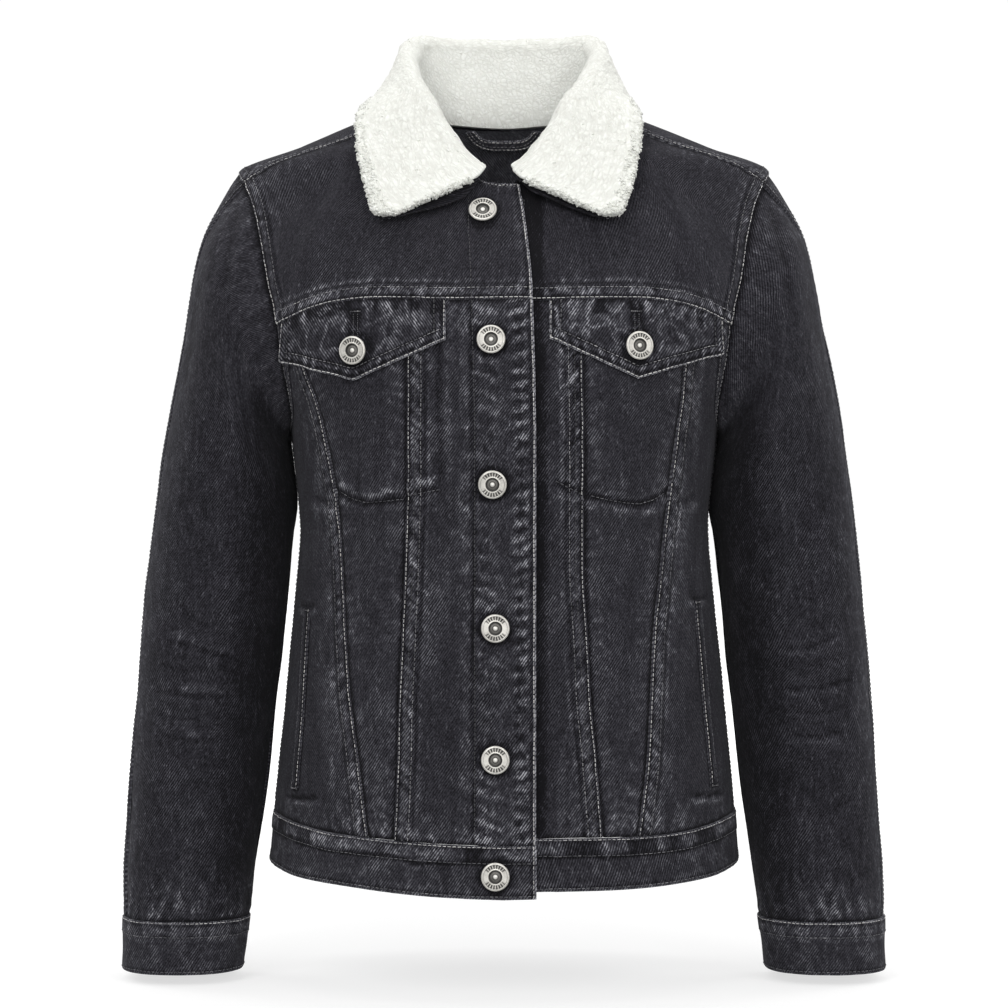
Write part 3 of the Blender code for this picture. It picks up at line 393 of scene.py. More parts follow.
def seam_line(side, which):
    """A lengthwise seam from the waistband to the yoke seam, in the rows of the side seam."""
    top = ARMHOLE_FRONT[6][1]
    share = (UNDERARM[1] - WAIST_TOP[-1][1]) / (top - WAIST_TOP[-1][1])
    v = np.concatenate([np.linspace(0, share, ROWS_SIDE + 1), np.linspace(share, 1, ROWS_ARM + 1)[1:]])
    if which == "edge":
        x0 = front_edge(side, np.array(-0.51))
        x1 = front_edge(side, np.array(-0.1375))
        z0, z1 = waist(WAIST_TOP, side, x0), yoke_z(x1)
        z = z0 + (z1 - z0) * v
        x = front_edge(side, z)
    elif which == "side":
        z0 = WAIST_TOP[-1][1]
        low = np.stack([np.full(ROWS_SIDE, np.pi / 2),
                        np.linspace(z0, UNDERARM[1], ROWS_SIDE + 1)[:-1]], -1)
        q = np.vstack([low, arm_curve(False, None, ARMHOLE_FRONT[6][1], ROWS_ARM)])
        return q * np.array([sgn(side), 1.0])
    else:
        x0, x1 = seam_x(side, which, np.array(-0.515)), seam_x(side, which, np.array(-0.140))
        z0, z1 = waist(WAIST_TOP, side, x0), yoke_z(x1)
        z = z0 + (z1 - z0) * v
        x = seam_x(side, which, z)
    return np.stack([angle(x, z), z], -1)


def level_line(side, a, b, n, height):
    """Between two surface points, with x spread evenly in phi and z from height(x)."""
    phi = np.linspace(a[0], b[0], n + 1)
    z = a[1] + (b[1] - a[1]) * np.linspace(0, 1, n + 1)
    for _ in range(4):
        z = height(body(phi, z)[:, 0])
    z[0], z[-1] = a[1], b[1]
    return np.stack([phi, z], -1)


def front_lines(side, cols=(COLS_CENTRE, COLS_POCKET, COLS_SIDE)):
    names = ("edge", "inner", "outer", "side")
    up = [seam_line(side, n) for n in names]
    low = [level_line(side, up[i][0], up[i + 1][0], cols[i], lambda x: waist(WAIST_TOP, side, x))
           for i in range(3)]
    top = [level_line(side, up[i][-1], up[i + 1][-1], cols[i], yoke_z) for i in range(3)]
    return up, low, top


def yoke_grid(side, top, rows=ROWS_YOKE):
    """Front yoke: yoke seam below, neckline and shoulder seam above."""
    low = np.vstack([top[0], top[1][1:], top[2][1:]])
    n = len(low) - 1
    v = np.linspace(0, 1, rows + 1)
    z_top = -0.0520
    x_top = front_edge(side, np.array(z_top))
    z = low[0, 1] + (z_top - low[0, 1]) * v
    x = front_edge(side, z)
    left = np.stack([angle(x, z), z], -1)
    left[0] = low[0]
    right = arm_curve(False, ARMHOLE_FRONT[6][1], 0.0, rows) * np.array([sgn(side), 1.0])
    right[0] = low[-1]
    s = sgn(side)
    neck = [(s * float(x_top), z_top)]
    neck += [(a + s * COLLAR_DRIFT * float(smooth(0.070, 0.020, a)), b) for a, b in NECK_FRONT]
    n_neck = n - COLS_SHOULDER
    a = on_front(side, neck, np.linspace(0, 1, n_neck + 1))
    b = on_front(side, SHOULDER_SEAM, np.linspace(0, 1, n - n_neck + 1))
    up = np.vstack([a, b[1:]])
    left[-1], right[-1] = up[0], up[-1]
    return coons(low, up, left, right)


# ------------------------------------------------------------ back
def back_lines(cols=COLS_BACK):
    """Back panel grid from the left side seam round to the right one."""
    phi = np.linspace(np.pi / 2, 3 * np.pi / 2, cols + 1)
    z0 = WAIST_TOP[-1][1]
    low = np.stack([phi, np.full(cols + 1, z0)], -1)
    seam = np.stack([np.full(ROWS_SIDE, np.pi / 2),
                     np.linspace(z0, UNDERARM[1], ROWS_SIDE + 1)[:-1]], -1)
    left = np.vstack([seam, arm_curve(True, None, BACK_YOKE_Z, ROWS_ARM_BACK)])
    right = np.stack([2 * np.pi - left[:, 0], left[:, 1]], -1)
    top = np.stack([np.linspace(left[-1, 0], right[-1, 0], cols + 1),
                    np.full(cols + 1, left[-1, 1])], -1)
    return low, top, left, right


def back_yoke_grid(top, rows=ROWS_BACK_YOKE):
    """Back yoke half from the midline to the wearer's left, wrapping over the shoulder."""
    n = len(top) // 2
    low = top[:n + 1][::-1]  # midline first, armhole last
    v = np.linspace(0, 1, rows + 1)
    neck = [(float(angle(a, b, True)), b) for a, b in NECK_BACK[::-1][:-1]]
    neck += [(float(angle(a, b)), b) for a, b in (NECK_BACK[0], NECK_FRONT[-1])]
    neck[0] = (np.pi, NECK_BACK[-1][1])
    n_neck = n - COLS_SHOULDER
    a = through(neck, np.linspace(0, 1, n_neck + 1))
    b = on_front("L", SHOULDER_SEAM, np.linspace(0, 1, n - n_neck + 1))
    up = np.vstack([a, b[1:]])
    right = arm_curve(True, BACK_YOKE_Z, 0.0, rows)
    left = np.stack([np.full(rows + 1, np.pi), low[0, 1] + (up[0, 1] - low[0, 1]) * v], -1)
    right[0], right[-1] = low[-1], up[-1]
    return coons(low, up, left, right)


# ------------------------------------------------------------ sleeves
def armhole():
    """The left armhole as the body panels' own corners: from the shoulder seam forward and
    down to the underarm, then up the back and over the shoulder. Also where the back starts."""
    yoke = arm_curve(False, ARMHOLE_FRONT[6][1], 0.0, ROWS_YOKE)[::-1]
    side = arm_curve(False, None, ARMHOLE_FRONT[6][1], ROWS_ARM)[::-1]
    back = arm_curve(True, None, BACK_YOKE_Z, ROWS_ARM_BACK)
    top = arm_curve(True, BACK_YOKE_Z, 0.0, ROWS_BACK_YOKE)
    return np.vstack([yoke, side[1:], back[1:], top[1:-1]]), ROWS_YOKE + ROWS_ARM


def sleeve_ring(row, t):
    ox, oz, ix, iz, depth, my = row
    a = 2 * np.pi * t
    mid = np.array([(ox + ix) / 2, my, (oz + iz) / 2])
    axis = np.array([(ox - ix) / 2, 0, (oz - iz) / 2])
    across = np.array([0, -depth, 0])
    p = 1.0 + 0.03 * np.sin(2 * a) ** 2  # slightly squarer than an ellipse
    return mid + p[:, None] * (np.cos(a)[:, None] * axis + np.sin(a)[:, None] * across)


def sleeve_points(hole, n_front, levels):
    """Grid of the left sleeve: columns start at the armhole's corners, levels 0..1 run down it."""
    n = len(hole)
    start = body(hole[:, 0], hole[:, 1])
    length = np.linalg.norm(np.roll(start, -1, 0) - start, axis=1)
    s = np.concatenate([[0], np.cumsum(length)])
    front = SLEEVE_SEAM + (0.5 - SLEEVE_SEAM) * s[:n_front] / s[n_front]
    back = 0.5 + (0.5 + SLEEVE_SEAM) * (s[n_front:n] - s[n_front]) / (s[n] - s[n_front])
    own = np.concatenate([front, back])
    even = np.concatenate([SLEEVE_SEAM + (0.5 - SLEEVE_SEAM) * np.arange(n_front) / n_front,
                           0.5 + (0.5 + SLEEVE_SEAM) * np.arange(n - n_front) / (n - n_front)])
    rings = [start]
    for i, row in enumerate(SLEEVE):
        w = float(smooth(0, 4, np.array(i + 1.0)))
        rings.append(sleeve_ring(row, own * (1 - w) + even * w))
    rings = np.array(rings)                       # ring, round, xyz
    out = np.empty((n, len(levels), 3))
    # one measure of length down the sleeve for all columns keeps the rings whole
    mid = rings.mean(1)
    step = np.linalg.norm(np.diff(mid, axis=0), axis=1)
    s = np.concatenate([[0], np.cumsum(step)])
    s /= s[-1]
    for i in range(n):
        p = rings[:, i]
        m = np.zeros_like(p)
        for k in range(len(p)):
            a, b = max(k - 1, 0), min(k + 1, len(p) - 1)
            m[k] = (p[b] - p[a]) / (s[b] - s[a])
        k = np.clip(np.searchsorted(s, levels) - 1, 0, len(p) - 2)
        h = (s[k + 1] - s[k])[:, None]
        w = np.clip((levels - s[k])[:, None] / h, 0, 1)
        out[i] = ((1 + 2 * w) * (1 - w) ** 2 * p[k] + w * (1 - w) ** 2 * h * m[k]
                  + w * w * (3 - 2 * w) * p[k + 1] + w * w * (w - 1) * h * m[k + 1])
    return out


def grid_normals(p, wrap=True):
    if wrap:
        du = np.roll(p, -1, 0) - np.roll(p, 1, 0)
    else:
        du = np.gradient(p, axis=0)
    dv = np.gradient(p, axis=1)
    return unit(np.cross(du, dv))


def sleeve_folds(p, n):
    """Soft troughs across the front of the elbow."""
    face = np.clip(-n[..., 1], 0, 1)
    drop = np.zeros(p.shape[:2])
    for z_mid, depth, half, slant in SLEEVE_FOLDS:
        line = z_mid + slant * (p[..., 0] - 0.215)
        drop += depth * face * np.exp(-((p[..., 2] - line) / half) ** 2)
    return p - n * drop[..., None]


def mirrored(p):
    return p * np.array([-1.0, 1.0, 1.0])


# ------------------------------------------------------------ collar
def collar_grids(cells=COLLAR_COLS - 1, spans=COLLAR_SPANS):
    """Whole collar from the right front end round the back to the left front end."""
    rows = np.array(COLLAR)
    k = np.arange(len(rows), dtype=float)
    t = np.linspace(0, len(rows) - 1, cells + 1)
    seats = np.array([body(angle(r[0], r[1], bool(r[2])) if r[0] else np.pi, r[1]) for r in rows])
    half = []
    for s in t:
        v = through_rows(k, rows, s)
        seat = through_rows(k, seats, s)
        half.append((seat, v[3:6], v[6:9]))
    grids = []
    for side in (-1.0, 1.0):
        flip = np.array([side, 1, 1])
        place = [[q * flip + np.array([COLLAR_DRIFT * float(smooth(0.020, -0.060, seat[1])), 0, 0])
                  for q in (seat, stand, leaf)] for seat, stand, leaf in half]
        fold = np.gradient(np.array([stand for _, stand, _ in place]), axis=0)
        fold[0, 1:] = 0.0                         # the fold line crosses the midline squarely
        grids.append([section_from(*p, unit(f), spans) for p, f in zip(place, fold)])
    cols = np.array(grids[0][::-1] + grids[1][1:])
    normal = grid_normals(cols, wrap=False)
    if normal[cells, 1] @ np.array([0, 1.0, 0]) > 0:
        normal = -normal
    return cols, normal


def through_rows(k, rows, s):
    m = np.zeros_like(rows)
    for i in range(len(rows)):
        a, b = max(i - 1, 0), min(i + 1, len(rows) - 1)
        m[i] = (rows[b] - rows[a]) / (k[b] - k[a])
    m[0, 1:3] = 0.0
    i = int(min(math.floor(s), len(rows) - 2))
    w = s - i
    return ((1 + 2 * w) * (1 - w) ** 2 * rows[i] + w * (1 - w) ** 2 * m[i]
            + w * w * (3 - 2 * w) * rows[i + 1] + w * w * (w - 1) * m[i + 1])


def section_from(seat, stand, leaf, along, spans):
    """Middle line of the collar at one station: up the stand, round the fold square to the
    fold line's direction (along), and down the leaf."""
    front = float(smooth(0.030, -0.010, seat[1]))
    neck = seat + np.array([0, -0.0004 * front, 0.0007 + 0.0027 * front])  # clears the yokes
    up = stand - neck
    up = unit(up - (up @ along) * along)
    across = leaf - stand
    across = across - (across @ along) * along
    across = unit(across - (across @ up) * up)
    theta = 2.8
    for _ in range(40):
        end = stand + ROLL * (across * (1 - math.cos(theta)) + up * math.sin(theta))
        way = leaf - end
        theta = 0.5 * theta + 0.5 * math.atan2(way @ across, way @ up)
    n1, n2, n3 = spans
    pts = [neck + (stand - neck) * i / n1 for i in range(n1)]
    pts += [stand + ROLL * (across * (1 - math.cos(theta * i / n2)) + up * math.sin(theta * i / n2))
            for i in range(n2 + 1)]
    pts += [end + (leaf - end) * i / n3 for i in range(1, n3 + 1)]
    return np.array(pts)

# ==================================================================== looks
# ------------------------------------------------------------------ camera
cam_data = bpy.data.cameras.new("camera")
cam_data.sensor_width = 36.0
cam_data.lens = 91.08
cam_data.clip_start, cam_data.clip_end = 0.05, 60.0
camera = bpy.data.objects.new("camera", cam_data)
camera.location = (0.0, -1.9, -0.28)
camera.rotation_euler = (math.pi / 2, 0.0, 0.0)
bpy.context.scene.collection.objects.link(camera)
bpy.context.scene.camera = camera


# ------------------------------------------------------------------ noise
def table_of(seed, n=4096):
    return np.random.RandomState(seed).rand(n)


def noise1(x, seed=0):
    """Smooth values in -1..1 along a line, one new value a unit."""
    t = table_of(seed)
    i = np.floor(x).astype(int)
    w = x - i
    w = w * w * (3 - 2 * w)
    return 2 * (t[i % 4096] * (1 - w) + t[(i + 1) % 4096] * w) - 1


def noise2(x, y, seed=0):
    """Smooth values in -1..1 over a plane, one new value a unit each way."""
    t = table_of(seed)
    i, j = np.floor(x).astype(int), np.floor(y).astype(int)
    a, b = x - i, y - j
    a, b = a * a * (3 - 2 * a), b * b * (3 - 2 * b)

    def at(i, j):
        return t[(i * 73 + j * 1619 + (i * j) * 7) % 4096]
    v = (at(i, j) * (1 - a) + at(i + 1, j) * a) * (1 - b) + (at(i, j + 1) * (1 - a) + at(i + 1, j + 1) * a) * b
    return 2 * v - 1


def ripple(s, period, seed=0):
    """An uneven wave in -1..1 along a seam."""
    drift = 1.3 * noise1(s / period / 2.3, seed) + 0.8 * noise1(s / period / 0.9, seed + 1)
    size = 0.62 + 0.38 * noise1(s / period / 1.7 + 40.0, seed + 2)
    return size * np.sin(2 * np.pi * s / period + 1.6 * drift)


def bell(d, at, width):
    return np.exp(-((d - at) / width) ** 2)


def window(d, low, high, soft=0.001):
    return smooth(low - soft, low + soft, d) * (1 - smooth(high - soft, high + soft, d))


# ------------------------------------------------------------------ materials
def lin(*c):
    """sRGB 0..255 to linear."""
    c = np.array(c, float) / 255
    return tuple(np.where(c <= 0.04045, c / 12.92, ((c + 0.055) / 1.055) ** 2.4)) + (1.0,)


class Mat:
    def __init__(self, name):
        self.m = bpy.data.materials.new(name)
        self.m.use_nodes = True
        self.t = self.m.node_tree
        self.t.nodes.clear()
        self.out = self.t.nodes.new("ShaderNodeOutputMaterial")

    def n(self, kind, ins=None, **props):
        x = self.t.nodes.new("ShaderNode" + kind)
        for k, v in props.items():
            setattr(x, k, v)
        for k, v in (ins or {}).items():
            s = x.inputs[k]
            if isinstance(v, bpy.types.NodeSocket):
                self.t.links.new(v, s)
            else:
                s.default_value = v
        return x

    def math(self, op, a, b=0.0, c=0.0, clamp=False):
        x = self.n("Math", {0: a, 1: b, 2: c}, operation=op, use_clamp=clamp)
        return x.outputs[0]

    def remap(self, v, a, b, c=0.0, d=1.0):
        return self.n("MapRange", {"Value": v, "From Min": a, "From Max": b, "To Min": c, "To Max": d},
                      interpolation_type="SMOOTHSTEP").outputs["Result"]

    def scaled(self, v, scale, turn=0.0):
        return self.n("Mapping", {"Vector": v, "Scale": scale, "Rotation": (0, 0, turn)},
                      vector_type="POINT").outputs[0]

    def noise(self, v, detail=2.0, rough=0.5, scale=1.0):
        return self.n("TexNoise", {"Vector": v, "Scale": scale, "Detail": detail, "Roughness": rough}).outputs["Fac"]

    def ramp(self, v, stops):
        x = self.n("ValToRGB", {"Fac": v})
        e = x.color_ramp.elements
        while len(e) < len(stops):
            e.new(0.5)
        for el, (at, col) in zip(e, stops):
            el.position = at
            el.color = col
        return x.outputs["Color"]

    def surface(self, **ins):
        names = {k.replace("_", " "): v for k, v in ins.items()}
        x = self.n("BsdfPrincipled", names)
        self.t.links.new(x.outputs[0], self.out.inputs["Surface"])
        return x


def denim(name="denim", lift=0.0):
    m = Mat(name)
    cl = m.n("Attribute", attribute_name="cl").outputs["Vector"]
    wr = m.n("SeparateXYZ", {0: m.n("Attribute", attribute_name="wr").outputs["Vector"]})
    wear, dark, fade = wr.outputs
    ac = m.n("SeparateXYZ", {0: m.n("Attribute", attribute_name="ac").outputs["Vector"]})
    net, rub = ac.outputs[0], ac.outputs[1]
    xyz = m.n("SeparateXYZ", {0: cl})
    # the twill's diagonal, bent a little by the yarn's unevenness
    wobble = m.noise(m.scaled(cl, (150, 90, 1)), 2.0)
    run = m.math("SUBTRACT", m.math("MULTIPLY", xyz.outputs[0], 0.83), m.math("MULTIPLY", xyz.outputs[1], 0.56))
    phase = m.math("ADD", m.math("MULTIPLY", run, 2 * math.pi / 0.00168), m.math("MULTIPLY", wobble, 5.0))
    twill = m.math("MULTIPLY_ADD", m.math("SINE", phase), 0.5, 0.5)
    # yarn: slubs that run lengthwise, and finer crosswise breaks
    slub = m.noise(m.scaled(cl, (900, 190, 1)), 2.0, 0.6)
    fine = m.noise(m.scaled(cl, (760, 620, 1)), 1.0)
    patch = m.noise(m.scaled(cl, (46, 30, 1)), 3.0, 0.6)
    streak = m.noise(m.scaled(cl, (240, 32, 1)), 2.0, 0.6)
    # abrasion: breaks up into the raised diagonals
    ragged = m.noise(m.scaled(cl, (330, 240, 1)), 3.0, 0.65)
    # the washed cloth's pale network round darker patches
    bend = m.n("TexNoise", {"Vector": m.scaled(cl, (70, 55, 1)), "Scale": 1.0, "Detail": 2.0, "Roughness": 0.5})
    shift = m.n("VectorMath", {0: bend.outputs["Color"], 3: 1.5}, operation="SCALE").outputs[0]
    where = m.n("VectorMath", {0: m.scaled(cl, (74, 46, 1)), 1: shift}, operation="ADD").outputs[0]
    cells = m.n("TexVoronoi", {"Vector": where, "Scale": 1.0, "Randomness": 0.9}, feature="DISTANCE_TO_EDGE",
                voronoi_dimensions="3D").outputs["Distance"]
    ridge = m.remap(cells, 0.0, 0.17, 1.0, 0.0)
    broken = m.math("MULTIPLY_ADD", m.remap(ragged, 0.32, 0.68), 1.0, 0.18)
    worn = m.math("MULTIPLY", m.math("ADD", wear, m.math("MULTIPLY", net, ridge)), broken)
    hatch = m.math("MULTIPLY_ADD", m.math("POWER", twill, 1.3), 0.95, 0.30)
    level = m.math("ADD", m.math("MULTIPLY", worn, hatch), 0.170 + lift)
    level = m.math("ADD", level, m.math("MULTIPLY", rub, m.math("MULTIPLY_ADD", ragged, 0.9, 0.35)))
    level = m.math("ADD", level, m.math("MULTIPLY", m.math("SUBTRACT", patch, 0.5), 0.13))
    level = m.math("ADD", level, m.math("MULTIPLY", m.math("SUBTRACT", streak, 0.5), 0.15))
    level = m.math("ADD", level, m.math("MULTIPLY", m.math("SUBTRACT", fine, 0.5), 0.46))
    level = m.math("ADD", level, m.math("MULTIPLY", m.remap(slub, 0.55, 0.76), 0.26))
    tw2 = m.math("MULTIPLY", m.math("SUBTRACT", twill, 0.5), m.math("MULTIPLY_ADD", m.remap(patch, 0.36, 0.66), 0.24, 0.08))
    level = m.math("ADD", level, tw2)
    # painted light and shade: the third channel lightens or darkens the colour along with its random tone; the dark
    # channel darkens shadow lines, creases and grooves as painted shade, and the pucker valleys' dye
    level = m.math("ADD", level, fade)
    level = m.math("SUBTRACT", level, m.math("MULTIPLY", dark, 0.30))
    colour = m.ramp(level, ((0.0, lin(17, 16.5, 19.5)), (0.20, lin(42, 41, 46.5)), (0.40, lin(65, 64.5, 70.5)),
                            (0.70, lin(110, 110, 116)), (1.0, lin(168, 168, 174))))
    height = m.math("ADD", m.math("MULTIPLY", twill, 0.55), m.math("MULTIPLY", fine, 0.45))
    height = m.math("ADD", height, m.math("MULTIPLY", slub, 0.35))
    bump = m.n("Bump", {"Strength": 0.45, "Distance": 0.0005, "Height": height})
    rough = m.remap(level, 0.0, 0.8, 0.97, 0.88)
    x = m.surface(Base_Color=colour, Roughness=rough, Normal=bump.outputs[0])
    x.inputs["Sheen Weight"].default_value = 0.05
    x.inputs["Sheen Roughness"].default_value = 0.6
    x.inputs["Sheen Tint"].default_value = (0.90, 0.90, 0.95, 1)
    x.inputs["Specular IOR Level"].default_value = 0.10
    return m.m


def pile():
    m = Mat("sherpa")
    cl = m.n("Attribute", attribute_name="cl").outputs["Vector"]
    wr = m.n("SeparateXYZ", {0: m.n("Attribute", attribute_name="wr").outputs["Vector"]})
    grain = m.noise(m.scaled(cl, (620, 620, 1)), 3.0, 0.6)
    clump = m.noise(m.scaled(cl, (60, 110, 1)), 2.0, 0.5)
    # valleys between the nubs, longer one way than the other; painted darker as shade
    bend = m.n("TexNoise", {"Vector": m.scaled(cl, (120, 190, 1)), "Scale": 1.0, "Detail": 2.0, "Roughness": 0.55})
    shift = m.n("VectorMath", {0: bend.outputs["Color"], 3: 1.9}, operation="SCALE").outputs[0]
    where = m.n("VectorMath", {0: m.scaled(cl, (185, 320, 1)), 1: shift}, operation="ADD").outputs[0]
    cells = m.n("TexVoronoi", {"Vector": where, "Scale": 1.0, "Randomness": 0.95}, feature="DISTANCE_TO_EDGE",
                voronoi_dimensions="3D").outputs["Distance"]
    shift = m.n("VectorMath", {0: bend.outputs["Color"], 3: 1.5}, operation="SCALE").outputs[0]
    where = m.n("VectorMath", {0: m.scaled(cl, (300, 310, 1)), 1: shift}, operation="ADD").outputs[0]
    even = m.n("TexVoronoi", {"Vector": where, "Scale": 1.0, "Randomness": 0.95}, feature="DISTANCE_TO_EDGE",
               voronoi_dimensions="3D").outputs["Distance"]
    cells = m.math("ADD", m.math("MULTIPLY", cells, m.math("SUBTRACT", 1.0, wr.outputs[2])), m.math("MULTIPLY", even, wr.outputs[2]))
    crown = m.remap(cells, 0.0, 0.34)
    # painted light and shade: nub crowns and the pile's first channel lighter, valleys and the neck seam darker
    level = m.math("ADD", m.math("MULTIPLY", wr.outputs[0], 0.46), m.math("MULTIPLY", grain, 0.30))
    level = m.math("ADD", level, m.math("MULTIPLY", crown, 0.25))
    level = m.math("ADD", level, m.math("MULTIPLY", m.math("SUBTRACT", clump, 0.5), 0.22))
    level = m.math("SUBTRACT", level, m.math("MULTIPLY", wr.outputs[1], 0.25))
    colour = m.ramp(level, ((0.0, lin(186, 185, 177)), (0.35, lin(220, 220, 213)), (0.7, lin(240, 241, 235)),
                            (1.0, lin(250, 251, 247))))
    height = m.math("ADD", m.math("MULTIPLY", crown, 0.8), m.math("MULTIPLY", grain, 0.4))
    bump = m.n("Bump", {"Strength": 0.42, "Distance": 0.0008, "Height": height})
    x = m.surface(Base_Color=colour, Roughness=m.remap(grain, 0, 1, 1.0, 0.92), Normal=bump.outputs[0])
    x.inputs["Sheen Weight"].default_value = 0.10
    x.inputs["Sheen Roughness"].default_value = 0.5
    x.inputs["Specular IOR Level"].default_value = 0.08
    return m.m


def thread():
    m = Mat("thread")
    wr = m.n("SeparateXYZ", {0: m.n("Attribute", attribute_name="wr").outputs["Vector"]})
    cl = m.n("Attribute", attribute_name="cl").outputs["Vector"]
    ply = m.noise(m.scaled(cl, (1500, 5200, 1)), 2.0, 0.6)
    level = m.math("ADD", wr.outputs[0], m.math("MULTIPLY", m.math("SUBTRACT", ply, 0.5), 0.35))
    colour = m.ramp(level, ((0.0, lin(26, 26, 30)), (0.35, lin(82, 82, 87)), (0.70, lin(156, 155, 158)),
                            (1.0, lin(222, 220, 218))))
    bump = m.n("Bump", {"Strength": 0.4, "Distance": 0.0002, "Height": ply})
    x = m.surface(Base_Color=colour, Roughness=m.remap(ply, 0, 1, 0.65, 0.85), Normal=bump.outputs[0])
    x.inputs["Sheen Weight"].default_value = 0.2
    return m.m


def metal():
    m = Mat("button_metal")
    wr = m.n("SeparateXYZ", {0: m.n("Attribute", attribute_name="wr").outputs["Vector"]})
    pos = m.n("TexCoord").outputs["Object"]
    grain = m.noise(pos, 3.0, 0.6, 900.0)
    cloud = m.noise(pos, 2.0, 0.5, 160.0)
    level = m.math("ADD", m.math("MULTIPLY", wr.outputs[0], 0.9), m.math("MULTIPLY", m.math("SUBTRACT", grain, 0.5), 0.22))
    level = m.math("ADD", level, m.math("MULTIPLY", m.math("SUBTRACT", cloud, 0.5), 0.2))
    colour = m.ramp(level, ((0.0, lin(26, 25, 25)), (0.45, lin(118, 116, 112)), (0.85, lin(226, 223, 216)),
                            (1.0, lin(249, 248, 243))))
    bump = m.n("Bump", {"Strength": 0.25, "Distance": 0.0002, "Height": grain})
    x = m.surface(Base_Color=colour, Roughness=m.remap(level, 0.1, 1.0, 0.60, 0.42), Normal=bump.outputs[0])
    x.inputs["Metallic"].default_value = 0.45
    return m.m


DENIM, PILE_MAT, THREAD, METAL = denim(), pile(), thread(), metal()


# ------------------------------------------------------------------ meshes
def mesh_piece(name, co, faces, mat, attrs, sharp=55.0):
    """An object from points and a list of face arrays (each all of one size), turned outward."""
    tris = np.concatenate([f if f.shape[1] == 3 else np.concatenate([f[:, [0, 1, 2]], f[:, [0, 2, 3]]]) for f in faces])
    a, b, c = (co[tris[:, k]] for k in range(3))
    if (a * np.cross(b, c)).sum() < 0:
        faces = [f[:, ::-1] for f in faces]
    me = bpy.data.meshes.new(name)
    me.vertices.add(len(co))
    me.vertices.foreach_set("co", np.ascontiguousarray(co, np.float32).ravel())
    loops = np.concatenate([f.ravel() for f in faces]).astype(np.int32)
    sizes = np.concatenate([np.full(len(f), f.shape[1]) for f in faces])
    me.loops.add(len(loops))
    me.loops.foreach_set("vertex_index", loops)
    me.polygons.add(len(sizes))
    me.polygons.foreach_set("loop_start", np.concatenate([[0], np.cumsum(sizes)[:-1]]).astype(np.int32))
    for key, values in attrs.items():
        at = me.attributes.new(key, "FLOAT_VECTOR", "POINT")
        at.data.foreach_set("vector", np.ascontiguousarray(values, np.float32).ravel())
    me.update(calc_edges=True)
    me.shade_smooth()
    if sharp:
        me.set_sharp_from_angle(angle=math.radians(sharp))
    me.materials.append(mat)
    ob = bpy.data.objects.new(name, me)
    bpy.context.scene.collection.objects.link(ob)
    ob["tris"] = len(tris)
    return ob


def shell(name, outer, inner, mat, attrs, step=3, closed=False):
    """Closed wall: the outer grid as it is, the inner one with every step-th row and column."""
    nu, nv = outer.shape[:2]
    ids = np.arange(nu * nv).reshape(nu, nv)
    iu = list(range(0, nu if closed else nu - 1, step)) + ([] if closed else [nu - 1])
    if closed and nu - iu[-1] < 2:
        iu = iu[:-1]
    jv = list(range(0, nv - 1, step)) + [nv - 1]
    if len(iu) > 2 and not closed and iu[-1] - iu[-2] < 2:
        iu.pop(-2)
    if len(jv) > 2 and jv[-1] - jv[-2] < 2:
        jv.pop(-2)
    m, k = len(iu), len(jv)
    ins = nu * nv + np.arange(m * k).reshape(m, k)
    nxt = np.roll(ids, -1, 0) if closed else ids[1:]
    cur = ids if closed else ids[:-1]
    quads = [np.stack([cur[:, :-1], nxt[:, :-1], nxt[:, 1:], cur[:, 1:]], -1).reshape(-1, 4)]
    nxi = np.roll(ins, -1, 0) if closed else ins[1:]
    cui = ins if closed else ins[:-1]
    quads.append(np.stack([cui[:, :-1], cui[:, 1:], nxi[:, 1:], nxi[:, :-1]], -1).reshape(-1, 4))
    fans = []

    def rim(line, coarse, at, back):
        """Triangles between the outer edge and the coarser inner edge."""
        for a in range(len(at) - 1):
            lo, hi = at[a], at[a + 1]
            for i in range(lo, hi):
                fans.append((line[i], coarse[a], line[i + 1])[::-1 if back else 1])
            fans.append((line[hi], coarse[a], coarse[a + 1])[::-1 if back else 1])
    for j, kk, back in ((0, 0, False), (nv - 1, k - 1, True)):
        line, coarse, at = list(ids[:, j]), list(ins[:, kk]), list(iu)
        if closed:
            line, coarse, at = line + [line[0]], coarse + [coarse[0]], at + [nu]
        rim(line, coarse, at, back)
    if not closed:
        for i, mm, back in ((0, 0, True), (nu - 1, m - 1, False)):
            rim(list(ids[i]), list(ins[mm]), jv, back)
    co = np.vstack([outer.reshape(-1, 3), inner[iu][:, jv].reshape(-1, 3)])
    full = {}
    for key, v in attrs.items():
        w = v[iu][:, jv].reshape(-1, 3).copy()
        if key == "wr":
            # inner walls: a third of the wear and no dark lines; painted light on the denim's inner walls, painted
            # shade on the under collar's
            w[:, 0] *= 0.3
            w[:, 1] = 0.0
            w[:, 2] = -0.20 if name.startswith("collar_under") else 0.27
        full[key] = np.vstack([v.reshape(-1, 3), w])
    return mesh_piece(name, co, [quads[0], quads[1], np.array(fans)], mat, full)


def spread(length, fine=0.0011, mid=0.0026, band=0.013, a=True, b=True):
    """Shares 0..1 of a length, closer together near the ends that are seams."""
    x = np.linspace(0, length, 3001)
    size = np.full_like(x, mid)
    if a:
        size = np.minimum(size, fine + (mid - fine) * smooth(band * 0.9, band * 1.7, x))
    if b:
        size = np.minimum(size, fine + (mid - fine) * smooth(band * 0.9, band * 1.7, length - x))
    dens = 1 / size
    c = np.concatenate([[0], np.cumsum((dens[1:] + dens[:-1]) / 2 * np.diff(x))])
    n = max(4, int(round(c[-1])))
    return np.interp(np.linspace(0, c[-1], n + 1), c, x) / length


